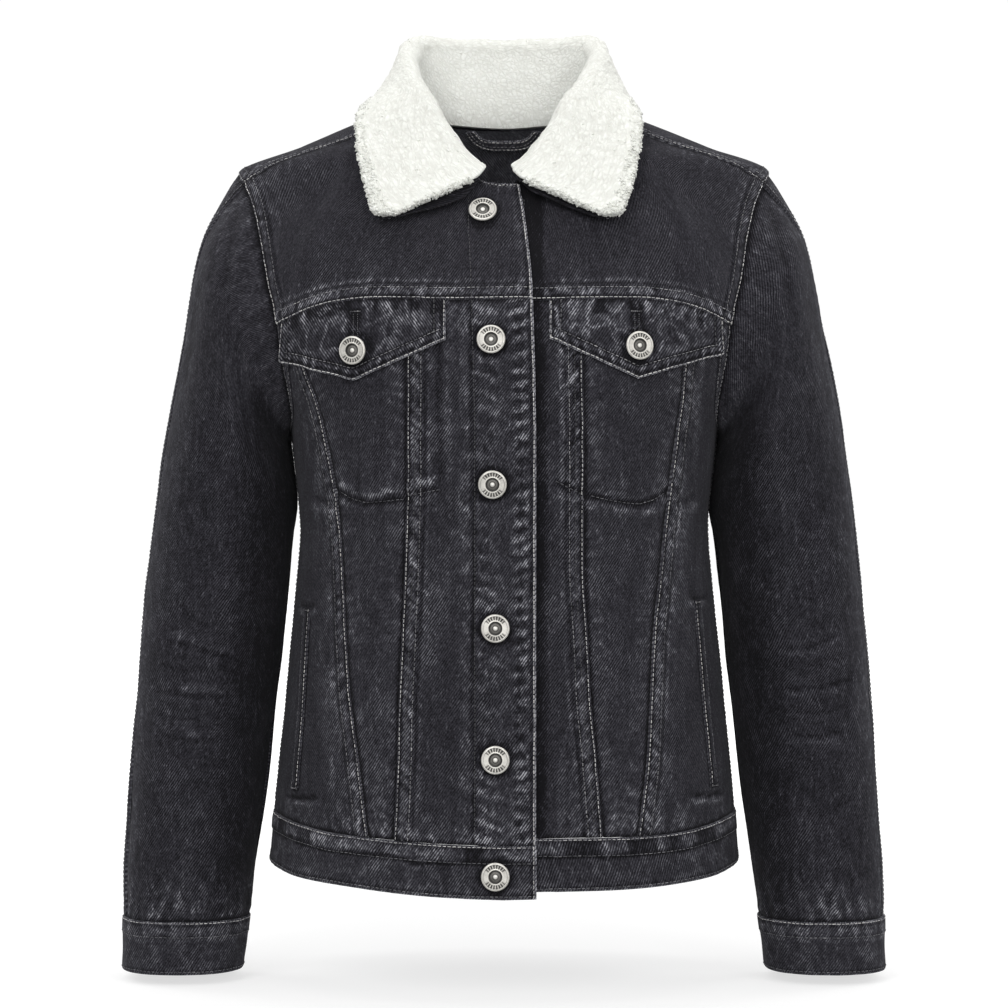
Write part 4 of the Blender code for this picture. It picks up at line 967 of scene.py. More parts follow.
def picked(grid, us, vs):
    """The grid read between its rows and columns, at shares us and vs."""
    nu, nv = grid.shape[0] - 1, grid.shape[1] - 1
    a, b = np.clip(us * nu, 0, nu - 1e-9), np.clip(vs * nv, 0, nv - 1e-9)
    i, j = a.astype(int), b.astype(int)
    fa, fb = (a - i)[:, None, None], (b - j)[None, :, None]
    g = grid
    return ((1 - fa) * (1 - fb) * g[i][:, j] + fa * (1 - fb) * g[i + 1][:, j]
            + (1 - fa) * fb * g[i][:, j + 1] + fa * fb * g[i + 1][:, j + 1])


STITCHES = {}   # group -> list of (points, normals, tint, stitch, gap, radius)
MADE = {}


class Cloth:
    """One cut piece: its base grid, what the seams and folds do to it, its wear, and painted light and shade."""

    def __init__(self, name, base, normal, thick=CLOTH, seed=0, closed=False):
        self.name, self.p, self.n, self.thick, self.seed, self.closed = name, base, normal, thick, seed, closed
        shape = base.shape[:2]
        d = np.linalg.norm(np.diff(base, axis=0), axis=2)
        self.dl = np.vstack([np.zeros((1, shape[1])), np.cumsum(d, 0)])
        self.dr = self.dl[-1:] - self.dl
        d = np.linalg.norm(np.diff(base, axis=1), axis=2)
        self.db = np.hstack([np.zeros((shape[0], 1)), np.cumsum(d, 1)])
        self.dt = self.db[:, -1:] - self.db
        self.h, self.soft = np.zeros(shape), np.zeros(shape)
        self.wear, self.dark, self.fade, self.net = np.zeros(shape), np.zeros(shape), np.zeros(shape), np.full(shape, 0.05)
        self.rub = np.zeros(shape)
        self.s, self.t = self.dl.copy(), self.db.copy()
        self.rows = []
        self.trim = {}

    def edge(self, e):
        d = {"l": self.dl, "r": self.dr, "b": self.db, "t": self.dt}[e]
        along = self.db if e in "lr" else self.dl
        return d, along

    def over(self, e, band=0.0120, lift=0.0009, rope=0.00030, period=0.0088, wear=0.55, edge=0.75, slant=0.35,
             seed=0, dark=0.55, mask=None):
        """This piece's folded edge lies on its neighbour and is stitched down twice."""
        d, s = self.edge(e)
        m = 1.0 if mask is None else mask
        seed += self.seed * 17
        r = 0.75 * ripple(s + slant * d, period, seed) + 0.45 * noise2((s + slant * d) / (period * 0.55), d / 0.010, seed + 5)
        fine = noise2(s / 0.0042, d / 0.0050, seed + 6)
        rough = 0.5 + 0.5 * noise2(s / 0.011, d / 0.006, seed + 9)
        long = 0.5 + 0.5 * noise1(s / 0.045, seed + 13)
        self.h += m * (lift * (1 - smooth(band - 0.0006, band + 0.0014, d)) - 0.00055 * np.exp(-d / 0.0005))
        self.h += m * (rope * r + 0.35 * rope * fine) * np.exp(-(d / (band * 1.25)) ** 2)
        self.wear += 0.42 * m * edge * np.exp(-d / 0.0009) * (0.66 + 0.34 * fine)
        self.rub += m * 0.24 * edge * np.exp(-d / 0.0008) * (0.75 + 0.25 * fine)
        self.wear += m * wear * 1.15 * window(d, 0.0026, band - 0.0004) * np.clip(0.46 + 0.46 * r + 0.22 * fine, 0, 1.2) * (0.62 + 0.45 * rough) * (0.70 + 0.40 * long)
        self.wear += m * 0.85 * wear * bell(d, band + 0.0034, 0.0016) * (0.50 + 0.50 * r) * (0.35 + 0.8 * long)
        self.wear += m * 0.20 * wear * np.clip(r, 0, 1) * window(d, band, band * 2.1, 0.004) * (0.2 + 0.9 * long)
        self.net += m * 0.09 * window(d, band, band * 2.4, 0.006) * long
        # painted shadow: a dark line just past the band, where its fold stands proud
        self.dark += m * 0.70 * dark * bell(d, band + 0.0011, 0.0011)
        self.rub += m * 0.26 * wear * window(d, 0.0030, band - 0.0020, 0.0012) * smooth(0.1, 0.9, r + 0.3 * fine)
        # painted shade: dark lines in the grooves by both stitch rows
        self.dark += m * dark * (1.15 * bell(d, 0.0024, 0.0012) + 1.0 * bell(d, band - 0.0018, 0.0012))
        self.dark += m * 0.60 * dark * window(d, 0.0030, band - 0.0020, 0.0012) * smooth(0.1, 0.8, -r)

    def under(self, e, rope=0.00025, period=0.0088, wear=0.30, seed=0, reach=0.010, dark=0.9, mask=None, slant=-0.35):
        """This piece's edge goes under its neighbour's."""
        d, s = self.edge(e)
        m = 1.0 if mask is None else mask
        seed += self.seed * 17 + 300
        r = ripple(s + slant * d, period, seed)
        self.h -= m * 0.0004 * np.exp(-(d / 0.0022) ** 2)
        self.h += m * rope * r * np.exp(-(d / reach) ** 2)
        # painted shadow where the neighbour's edge overhangs this one
        self.dark += m * dark * np.exp(-(d / 0.0021) ** 2)
        r = 0.7 * r + 0.6 * noise2(s / (period * 0.6), d / 0.008, seed + 4)
        self.wear += m * wear * 1.3 * np.clip(0.20 + r, 0, 1) * window(d, 0.0015, reach * 1.5, 0.003) * np.exp(-d / (reach * 1.6))
        self.net += m * 0.06 * np.exp(-(d / (reach * 2.0)) ** 2)

    def free(self, e, rope=0.00025, period=0.010, wear=0.8, seed=0, band=0.009, mask=None):
        """A turned edge: rounded, worn along its fold."""
        d, s = self.edge(e)
        m = 1.0 if mask is None else mask
        seed += self.seed * 17 + 600
        r = ripple(s + 0.3 * d, period, seed)
        self.h += m * (-0.0006 * np.exp(-d / 0.0005) + 0.0003 * (1 - smooth(band, band + 0.003, d)))
        self.h += m * rope * r * np.exp(-(d / 0.012) ** 2)
        self.wear += m * wear * np.exp(-d / 0.0012) * (0.60 + 0.40 * r)
        self.rub += m * 0.55 * wear * np.exp(-d / 0.0010) * (0.8 + 0.2 * r)
        self.wear += m * 0.25 * wear * window(d, 0.003, band, 0.002) * (0.5 + 0.5 * r)
        # painted shade: a dark line in the groove inside the turned edge
        self.dark += m * 0.55 * bell(d, 0.0032, 0.0012)

    def row(self, e, dist, tint=0.8, a=0.0, b=1.0, group="front", stitch=0.0026, gap=0.0007, radius=0.00027, wobble=0.00022):
        self.rows.append((e, dist, tint, a, b, group, stitch, gap, radius, wobble))

    def crease(self, pts, depth, width, wear=0.3, ridge=0.7, side=1.0, rear=False, ends=0.18, whole=False):
        """A soft fold over a line of (x, z) points, as seen from the front or from behind."""
        q = np.array(pts, float)
        x, z = self.p[..., 0], self.p[..., 2]
        best = np.full(x.shape, 1e9)
        sd, along = np.zeros(x.shape), np.zeros(x.shape)
        lens = np.linalg.norm(np.diff(q, axis=0), axis=1)
        start = np.concatenate([[0], np.cumsum(lens)])
        for i in range(len(q) - 1):
            v = (q[i + 1] - q[i]) / lens[i]
            rx, rz = x - q[i, 0], z - q[i, 1]
            k = np.clip(rx * v[0] + rz * v[1], 0, lens[i])
            dx, dz = rx - k * v[0], rz - k * v[1]
            dist = np.hypot(dx, dz)
            cross = -rx * v[1] + rz * v[0]
            hit = dist < best
            best = np.where(hit, dist, best)
            sd = np.where(hit, np.sign(cross) * dist, sd)
            along = np.where(hit, (start[i] + k) / start[-1], along)
        width = width * 0.62
        depth = depth * 0.50
        broken = 0.55 + 0.75 * noise2(self.s / 0.0075, self.t / 0.0055, self.seed + 131)
        broken = np.clip(broken, 0, 1.3)
        face = np.ones(x.shape) if whole else np.clip((1 if rear else -1) * self.n[..., 1] * 2.0, 0, 1)
        size = smooth(0, ends, along) * smooth(0, ends, 1 - along) * face
        size = size + 0.0
        near = np.exp(-(np.maximum(best - np.abs(sd), 0) / width) ** 2)
        d = sd * side
        prof = -bell(d, 0, width) + ridge * bell(d, 1.7 * width, width * 1.05)
        self.soft += depth * prof * size * near
        self.wear += 0.75 * wear * (bell(d, 1.6 * width, width * 0.85) + 0.4 * bell(d, -1.3 * width, width * 0.6)) * size * near * broken
        # painted shade darkens the fold's trough; the wear above lies on its ridges
        self.dark += 1.1 * wear * bell(d, 0, width * 0.55) * size * near

    def finish_surface(self):
        return self.p + self.n * (self.h + self.soft)[..., None]

    def make(self, mat=None, slot="denim", step=3, sheet=None, replaces=None):
        outer = self.finish_surface()
        inner = self.p + self.n * (self.soft * 0.9 - self.thick)[..., None]
        if "inner" in self.trim:
            inner = self.trim["inner"]
        cl = np.stack([self.s, self.t, np.full_like(self.s, self.seed * 3.7)], -1)
        wr = np.stack([np.clip(self.wear, 0, 1.3), np.clip(self.dark, 0, 1), self.fade], -1)
        if "drawn" in self.trim:
            outer = drawn_in(outer, self.trim["drawn"])
        ac = np.stack([np.clip(self.net, 0, 1), np.clip(self.rub, 0, 1), 0 * self.net], -1)
        ob = shell(self.name + "_cloth", outer, inner, mat or DENIM, {"cl": cl, "wr": wr, "ac": ac}, step, self.closed)
        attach(ob, "root")
        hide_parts(*(replaces or [self.name]))
        self.ob, self.outer = ob, outer
        MADE[self.name] = self
        normal = grid_normals(outer, wrap=self.closed)
        if (normal * self.n).sum() < 0:
            normal = -normal
        self.out_n = normal
        for e, dist, tint, a, b, group, stitch, gap, radius, wobble in self.rows:
            d, _ = self.edge(e)
            P, N = outer, normal
            if e in "bt":
                d, P, N = d.T, P.swapaxes(0, 1), N.swapaxes(0, 1)
            if e in "rt":
                d, P, N = d[::-1], P[::-1], N[::-1]
            m = d.shape[1]
            lo, hi = int(round(a * (m - 1))), int(round(b * (m - 1)))
            pts, nrm = [], []
            for j in range(lo, hi + 1):
                if d[-1, j] <= dist:
                    continue
                at = dist + wobble * float(noise1(np.array(j * 0.21), self.seed + 77))
                pts.append([np.interp(at, d[:, j], P[:, j, c]) for c in range(3)])
                nrm.append([np.interp(at, d[:, j], N[:, j, c]) for c in range(3)])
            if len(pts) > 2:
                stitch_line(group, np.array(pts), unit(np.array(nrm)), tint, stitch, gap, radius)
        return ob

    def at(self, pts, group, tint=0.8, **kw):
        """Stitches along (x, z) points on this piece's outer face, as seen from the front or behind."""
        q = np.array(pts, float)
        step = np.linalg.norm(np.diff(q, axis=0), axis=1)
        s = np.concatenate([[0], np.cumsum(step)])
        k = np.linspace(0, s[-1], max(3, int(s[-1] / 0.0015)))
        x, z = np.interp(k, s, q[:, 0]), np.interp(k, s, q[:, 1])
        seen = self.out_n.reshape(-1, 3)[:, 1] < 0 if group == "front" else np.ones(self.outer[..., 0].size, bool)
        flat = self.outer.reshape(-1, 3)[seen]
        nn = self.out_n.reshape(-1, 3)[seen]
        pts3, nrm = [], []
        for a, b in zip(x, z):
            d2 = (flat[:, 0] - a) ** 2 + (flat[:, 2] - b) ** 2
            i = np.argpartition(d2, 4)[:4]
            w = 1 / (d2[i] + 1e-9)
            w /= w.sum()
            y = (flat[i, 1] * w).sum()
            pts3.append([a, y, b])
            nrm.append((nn[i] * w[:, None]).sum(0))
        stitch_line(group, np.array(pts3), unit(np.array(nrm)), tint, **kw)

    def cut(self):
        """The flat piece: widest row, longest column and area, with seam allowances."""
        w, l = float(self.dl[-1].max()), float(self.db[:, -1].max())
        if self.closed:
            w *= len(self.dl) / (len(self.dl) - 1.0)
        allow = max(0.0016, min(0.010, 0.08 * min(w, l)))
        a = self.p[1:, :-1] - self.p[:-1, :-1]
        b = self.p[:-1, 1:] - self.p[:-1, :-1]
        area = float(np.linalg.norm(np.cross(a, b), axis=2).sum())
        if self.closed:
            area *= len(self.dl) / (len(self.dl) - 1.0)
        area += 2 * allow * (w + l)
        w, l = round(w + 2 * allow, 4), round(l + 2 * allow, 4)
        return (w, l), min(round(area, 5), w * l)


def stitch_line(group, pts, nrm, tint=0.8, stitch=0.0026, gap=0.0007, radius=0.00027):
    step = np.linalg.norm(np.diff(pts, axis=0), axis=1)
    s = np.concatenate([[0], np.cumsum(step)])
    n = int(s[-1] / (stitch + gap))
    if n < 1:
        return
    rs = np.random.RandomState(int(abs(pts[0, 0] * 1e5 + pts[0, 2] * 7e4 + s[-1] * 1e5)) % 100000)
    mid = (np.arange(n) + 0.5) * s[-1] / n
    length = stitch * (1 + 0.08 * rs.randn(n).clip(-2, 2)) * (s[-1] / n) / (stitch + gap)
    ends = []
    for off in (-0.5, 0.0, 0.5):
        at = np.clip(mid + off * length, 0, s[-1])
        ends.append(np.stack([np.interp(at, s, pts[:, c]) for c in range(3)], -1))
    nn = unit(np.stack([np.interp(mid, s, nrm[:, c]) for c in range(3)], -1))
    worn = 1 + 0.22 * noise1(mid / 0.017, int(rs.randint(1000))) + 0.20 * rs.randn(n)
    level = np.clip(tint * worn + 0.04 * rs.randn(n), 0.02, 1.15)
    radius = radius * (1 + 0.12 * rs.randn(n).clip(-2, 2))
    STITCHES.setdefault(group, []).append((ends[0], ends[1], ends[2], nn, level, radius, mid))


def build_stitches():
    """Each stitch is a short bowed thread whose ends go into the cloth."""
    for group, rows in STITCHES.items():
        a, m, b, n, level, radius, mid = (np.concatenate([r[k] for r in rows]) for k in range(7))
        t = unit(b - a)
        side = unit(np.cross(n, t))
        n = np.cross(t, side)
        r = radius[:, None]
        secs = []
        for w, lift, size in ((-1.0, -0.7, 0.55), (-0.62, 0.55, 0.95), (0.62, 0.55, 0.95), (1.0, -0.7, 0.55)):
            base = a * (0.5 - 0.5 * w) + b * (0.5 + 0.5 * w)
            base = base + (m - (a + b) / 2) * (1 - w * w) + n * (lift * r)
            for ca, sa in ((0.95, -0.35), (0, 1.0), (-0.95, -0.35)):
                secs.append(base + side * (1.15 * ca * size * r) + n * (sa * size * r))
        v = np.stack(secs, 1)                      # stitch, 12, 3
        k = len(v)
        faces = []
        for s in range(3):
            for c in range(3):
                d = (c + 1) % 3
                faces.append([s * 3 + c, s * 3 + d, s * 3 + 3 + d, s * 3 + 3 + c])
        caps = [[2, 1, 0], [9, 10, 11]]
        f = (np.array(faces)[None] + 12 * np.arange(k)[:, None, None]).reshape(-1, 4)
        f3 = (np.array(caps)[None] + 12 * np.arange(k)[:, None, None]).reshape(-1, 3)
        wr = np.zeros((k, 12, 3))
        wr[..., 0] = level[:, None]
        cl = np.zeros((k, 12, 3))
        cl[..., 0] = mid[:, None] + np.repeat([-0.0015, -0.0009, 0.0009, 0.0015], 3)[None]
        cl[..., 1] = np.tile([0, 0.0004, 0.0008], 4)[None]
        ob = mesh_piece("thread_" + group, v.reshape(-1, 3), [f, f3], THREAD,
                        {"wr": wr.reshape(-1, 3), "cl": cl.reshape(-1, 3)}, sharp=0)
        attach(ob, "root")


def front_arc(phi, z):
    """Length round the surface from the midline in front to phi, at each height."""
    k = np.linspace(0, 1, 41)
    p = body(np.asarray(phi)[:, None] * k[None], np.asarray(z)[:, None] * np.ones_like(k)[None])
    return np.sign(phi) * np.linalg.norm(np.diff(p, axis=1), axis=2).sum(1)


def body_cloth(name, grid, side=None, out=0.0, thick=CLOTH, seed=0, flip=1.0, fine_u=(True, True), fine_v=(True, True),
               mid=0.0026, fine=0.0011, close=None):
    p = body(grid[..., 0], grid[..., 1])
    w = np.linalg.norm(np.diff(p, axis=0), axis=2).sum(0).max()
    l = np.linalg.norm(np.diff(p, axis=1), axis=2).sum(1).max()
    us = spread(w, fine, mid, a=fine_u[0], b=fine_u[1])
    if close:
        # closer columns where seams cross the piece, both sides of its middle
        x = np.linspace(0, w, 3001)
        off = np.abs(x - w / 2)
        size = np.minimum(mid, fine + (mid - fine) * smooth(0.012, 0.022, np.minimum(x, w - x)))
        size = np.where((off > close[0]) & (off < close[1]), np.minimum(size, 0.0014), size)
        run = np.concatenate([[0], np.cumsum((1 / size[1:] + 1 / size[:-1]) / 2 * np.diff(x))])
        us = np.interp(np.linspace(0, run[-1], int(round(run[-1])) + 1), run, x) / w
    g = picked(grid, us, spread(l, fine, mid, a=fine_v[0], b=fine_v[1]))
    phi, z = g[..., 0], g[..., 1]
    p, n = body(phi, z), body_normal(phi, z)
    rise = out + (lap(side, p[..., 0]) if side else 0.0)
    base = drawn_in(p + n * np.broadcast_to(rise, phi.shape)[..., None])
    c = Cloth(name, base, n, thick, seed)
    c.phi, c.z = phi, z
    c.s = flip * c.dl + front_arc(phi[0], z[0])[None]
    c.t = np.interp(z, RUN_Z, RUN)
    return c


# How far the body's and the sleeves' sides stand from the plain section: (z, right body, left body, sleeves)
SIDES = np.array(((-0.225, 0.0, 0.0, 0.0), (-0.240, 0.0008, 0.0006, 0.0016), (-0.262, 0.0006, 0.0004, 0.0016),
                  (-0.284, 0.0, 0.0, 0.0004), (-0.300, -0.0012, -0.0006, -0.0012), (-0.345, -0.0015, -0.0008, -0.0021),
                  (-0.380, -0.0017, -0.0010, -0.0021), (-0.430, -0.0028, -0.0014, -0.0010),
                  (-0.500, -0.0021, -0.0006, 0.0), (-0.515, -0.0013, -0.0002, 0.0), (-0.545, 0.0, 0.0, 0.0)))


def sides(c):
    """The body's sides follow the photograph's outline; the armhole hangs against the sleeve."""
    z = c.p[..., 2]
    right = np.interp(-z, -SIDES[:, 0], SIDES[:, 1], 0.0, 0.0)
    left = np.interp(-z, -SIDES[:, 0], SIDES[:, 2], 0.0, 0.0)
    nx = c.n[..., 0]
    c.soft += right * smooth(0.30, 0.85, -nx) + left * smooth(0.30, 0.85, nx)


def button_shadow(c, x, z):
    """Round a button: a painted shadow on the cloth, no wear there, and a slight dip."""
    dist = np.hypot(c.p[..., 0] - x, c.p[..., 2] - z)
    front = c.n[..., 1] < 0
    near = (1 - smooth(0.0108, 0.0150, dist)) * front
    c.dark += 0.60 * near
    c.wear *= 1 - near
    c.soft -= 0.0005 * np.exp(-(dist / 0.014) ** 2) * front


def sway(c, amp=0.0007, seed=0, sx=0.075, sz=0.11, rear=False):
    """Very soft unevenness over a whole piece, so that no surface is dead smooth."""
    x, z = c.s, c.t
    v = noise2(x / sx + 9.1, z / sz + 3.7, seed + 51) + 0.5 * noise2(x / (sx * 0.45), z / (sz * 0.5), seed + 52)
    c.soft += amp * v
    c.fade += 0.012 * v

# Soft creases of the sleeves as lines of (x, z): depth, half width, wear on the ridge and painted shade in the trough,
# which side its ridge is on
SLEEVE_CREASES = {
    ("R", "front"): (
        (((-0.1930, -0.0600), (-0.1990, -0.0900), (-0.2030, -0.1320)), 0.0016, 0.0065, 0.30, 1.0),
        (((-0.2090, -0.0640), (-0.2190, -0.0900), (-0.2260, -0.1180)), 0.0013, 0.0060, 0.26, -1.0),
        (((-0.2180, -0.1100), (-0.2290, -0.1450), (-0.2360, -0.2000)), 0.0020, 0.0070, 0.34, -1.0),
        (((-0.1960, -0.1480), (-0.1900, -0.1950), (-0.1840, -0.2450)), 0.0018, 0.0100, 0.16, 1.0),
        (((-0.1790, -0.1900), (-0.1740, -0.2250), (-0.1680, -0.2500)), 0.0020, 0.0080, 0.12, 1.0),
        (((-0.2430, -0.2300), (-0.2330, -0.2600), (-0.2130, -0.2900)), 0.0012, 0.0090, 0.12, 1.0),
        (((-0.2360, -0.3500), (-0.2240, -0.3640), (-0.2130, -0.3690)), 0.0020, 0.0050, 0.34, 1.0),
        (((-0.2310, -0.3660), (-0.2200, -0.3560), (-0.2080, -0.3520)), 0.0014, 0.0045, 0.26, -1.0),
        (((-0.2480, -0.3770), (-0.2200, -0.3860), (-0.1930, -0.3920)), 0.0024, 0.0055, 0.42, 1.0),
        (((-0.2560, -0.3960), (-0.2300, -0.4010), (-0.2040, -0.4000)), 0.0016, 0.0050, 0.26, 1.0),
        (((-0.2600, -0.4140), (-0.2280, -0.4190), (-0.1930, -0.4200)), 0.0026, 0.0052, 0.50, 1.0),
        (((-0.2540, -0.4330), (-0.2300, -0.4350), (-0.2100, -0.4320)), 0.0014, 0.0050, 0.22, -1.0),
        (((-0.2550, -0.4460), (-0.2280, -0.4510), (-0.2000, -0.4510)), 0.0022, 0.0055, 0.36, 1.0),
        (((-0.2550, -0.4790), (-0.2330, -0.4830), (-0.2120, -0.4810)), 0.0014, 0.0060, 0.22, 1.0),
        (((-0.2560, -0.4000), (-0.2480, -0.4300), (-0.2500, -0.4700)), 0.0012, 0.0060, 0.20, -1.0),
        (((-0.2560, -0.5000), (-0.2300, -0.5150), (-0.2050, -0.5080)), 0.0014, 0.0090, 0.16, 1.0),
        (((-0.2600, -0.5780), (-0.2520, -0.5560), (-0.2450, -0.5430)), 0.0018, 0.0050, 0.34, 1.0),
        (((-0.2280, -0.5780), (-0.2330, -0.5600), (-0.2390, -0.5480)), 0.0016, 0.0050, 0.30, -1.0),
        (((-0.2120, -0.5780), (-0.2080, -0.5560), (-0.2060, -0.5440)), 0.0014, 0.0050, 0.24, 1.0),
    ),
    ("L", "front"): (
        (((0.1940, -0.0600), (0.2010, -0.0920), (0.2060, -0.1380)), 0.0016, 0.0065, 0.30, -1.0),
        (((0.2080, -0.0620), (0.2200, -0.0960), (0.2280, -0.1300)), 0.0014, 0.0060, 0.28, 1.0),
        (((0.2200, -0.1200), (0.2300, -0.1600), (0.2370, -0.2150)), 0.0019, 0.0070, 0.32, 1.0),
        (((0.1950, -0.1550), (0.1880, -0.2050), (0.1830, -0.2600)), 0.0018, 0.0100, 0.16, -1.0),
        (((0.1780, -0.1950), (0.1730, -0.2300), (0.1680, -0.2560)), 0.0020, 0.0080, 0.12, -1.0),
        (((0.2450, -0.2500), (0.2340, -0.2780), (0.2160, -0.3040)), 0.0012, 0.0090, 0.12, 1.0),
        (((0.2380, -0.3400), (0.2240, -0.3500), (0.2080, -0.3470)), 0.0018, 0.0050, 0.30, 1.0),
        (((0.2480, -0.3720), (0.2230, -0.3830), (0.1960, -0.3840)), 0.0024, 0.0055, 0.40, 1.0),
        (((0.2540, -0.3900), (0.2300, -0.3960), (0.2060, -0.3930)), 0.0014, 0.0050, 0.24, -1.0),
        (((0.2580, -0.4060), (0.2280, -0.4140), (0.1960, -0.4130)), 0.0026, 0.0052, 0.46, 1.0),
        (((0.2540, -0.4280), (0.2300, -0.4310), (0.2100, -0.4290)), 0.0014, 0.0050, 0.22, 1.0),
        (((0.2560, -0.4420), (0.2290, -0.4480), (0.2020, -0.4460)), 0.0021, 0.0055, 0.34, 1.0),
        (((0.2560, -0.3900), (0.2490, -0.4200), (0.2510, -0.4600)), 0.0012, 0.0060, 0.20, 1.0),
        (((0.2540, -0.4900), (0.2320, -0.5060), (0.2080, -0.5000)), 0.0014, 0.0090, 0.16, 1.0),
        (((0.2620, -0.5780), (0.2540, -0.5580), (0.2480, -0.5440)), 0.0017, 0.0050, 0.32, -1.0),
        (((0.2310, -0.5780), (0.2370, -0.5610), (0.2430, -0.5500)), 0.0016, 0.0050, 0.30, 1.0),
        (((0.2110, -0.5780), (0.2090, -0.5590), (0.2060, -0.5460)), 0.0014, 0.0050, 0.24, -1.0),
    ),
    ("R", "back"): (
        (((-0.1960, -0.0620), (-0.2040, -0.1000), (-0.2080, -0.1500)), 0.0016, 0.0070, 0.26, 1.0),
        (((-0.2200, -0.1200), (-0.2310, -0.1600), (-0.2360, -0.2100)), 0.0017, 0.0075, 0.28, -1.0),
        (((-0.2390, -0.3560), (-0.2190, -0.3640), (-0.1980, -0.3550)), 0.0016, 0.0070, 0.22, 1.0),
        (((-0.2430, -0.3960), (-0.2210, -0.4060), (-0.1990, -0.3980)), 0.0018, 0.0070, 0.24, -1.0),
        (((-0.2480, -0.4380), (-0.2250, -0.4440), (-0.2050, -0.4360)), 0.0015, 0.0070, 0.20, 1.0),
        (((-0.2560, -0.5780), (-0.2480, -0.5560), (-0.2430, -0.5400)), 0.0016, 0.0055, 0.26, 1.0),
        (((-0.2200, -0.5780), (-0.2250, -0.5600), (-0.2300, -0.5460)), 0.0015, 0.0055, 0.24, -1.0),
    ),
    ("L", "back"): (
        (((0.1950, -0.0640), (0.2030, -0.1040), (0.2070, -0.1560)), 0.0016, 0.0070, 0.26, -1.0),
        (((0.2210, -0.1260), (0.2320, -0.1680), (0.2370, -0.2200)), 0.0017, 0.0075, 0.28, 1.0),
        (((0.2400, -0.3480), (0.2180, -0.3580), (0.1970, -0.3500)), 0.0016, 0.0070, 0.22, 1.0),
        (((0.2440, -0.3880), (0.2230, -0.3990), (0.2000, -0.3900)), 0.0018, 0.0070, 0.24, -1.0),
        (((0.2490, -0.4300), (0.2260, -0.4380), (0.2060, -0.4290)), 0.0015, 0.0070, 0.20, 1.0),
        (((0.2570, -0.5780), (0.2490, -0.5570), (0.2440, -0.5420)), 0.0016, 0.0055, 0.26, -1.0),
        (((0.2210, -0.5780), (0.2260, -0.5610), (0.2310, -0.5470)), 0.0015, 0.0055, 0.24, 1.0),
    ),
}

# Where the pocket bags' lower edges show through the panels: on the pocket panel, then on the centre panel
BAG_CREASES = {
    "R": (((((-0.1200, -0.2690), (-0.1120, -0.2745), (-0.0980, -0.2792), (-0.0820, -0.2780), (-0.0640, -0.2762)), 0.0030, 0.0058, 1.0, 1.0),
           (((-0.1040, -0.2600), (-0.1020, -0.2740)), 0.0008, 0.0040, 0.30, 1.0),
           (((-0.0760, -0.2620), (-0.0780, -0.2760)), 0.0008, 0.0036, 0.30, -1.0)),
          ((((-0.0700, -0.2770), (-0.0600, -0.2720), (-0.0460, -0.2690)), 0.0024, 0.0062, 0.85, 1.0),
           (((-0.0460, -0.1200), (-0.0455, -0.1900), (-0.0440, -0.2660)), 0.0014, 0.0058, 0.42, 1.0))),
    "L": (((((0.0560, -0.2730), (0.0720, -0.2772), (0.0860, -0.2795), (0.0960, -0.2802), (0.1060, -0.2772), (0.1180, -0.2700)), 0.0030, 0.0058, 1.0, -1.0),
           (((0.0800, -0.2620), (0.0820, -0.2760)), 0.0008, 0.0040, 0.30, 1.0)),
          ((((0.0360, -0.2640), (0.0480, -0.2700), (0.0620, -0.2740)), 0.0024, 0.0062, 0.85, -1.0),
           (((0.0500, -0.1200), (0.0490, -0.1900), (0.0480, -0.2660)), 0.0014, 0.0058, 0.38, -1.0))),
}

# ------------------------------------------------------------------ front of the body
lapping = None


def edge_x_at(z):
    """x of the right front's free edge at each height."""
    order = np.argsort(lapping[:, 2])
    return np.interp(z, lapping[order, 2], lapping[order, 0])


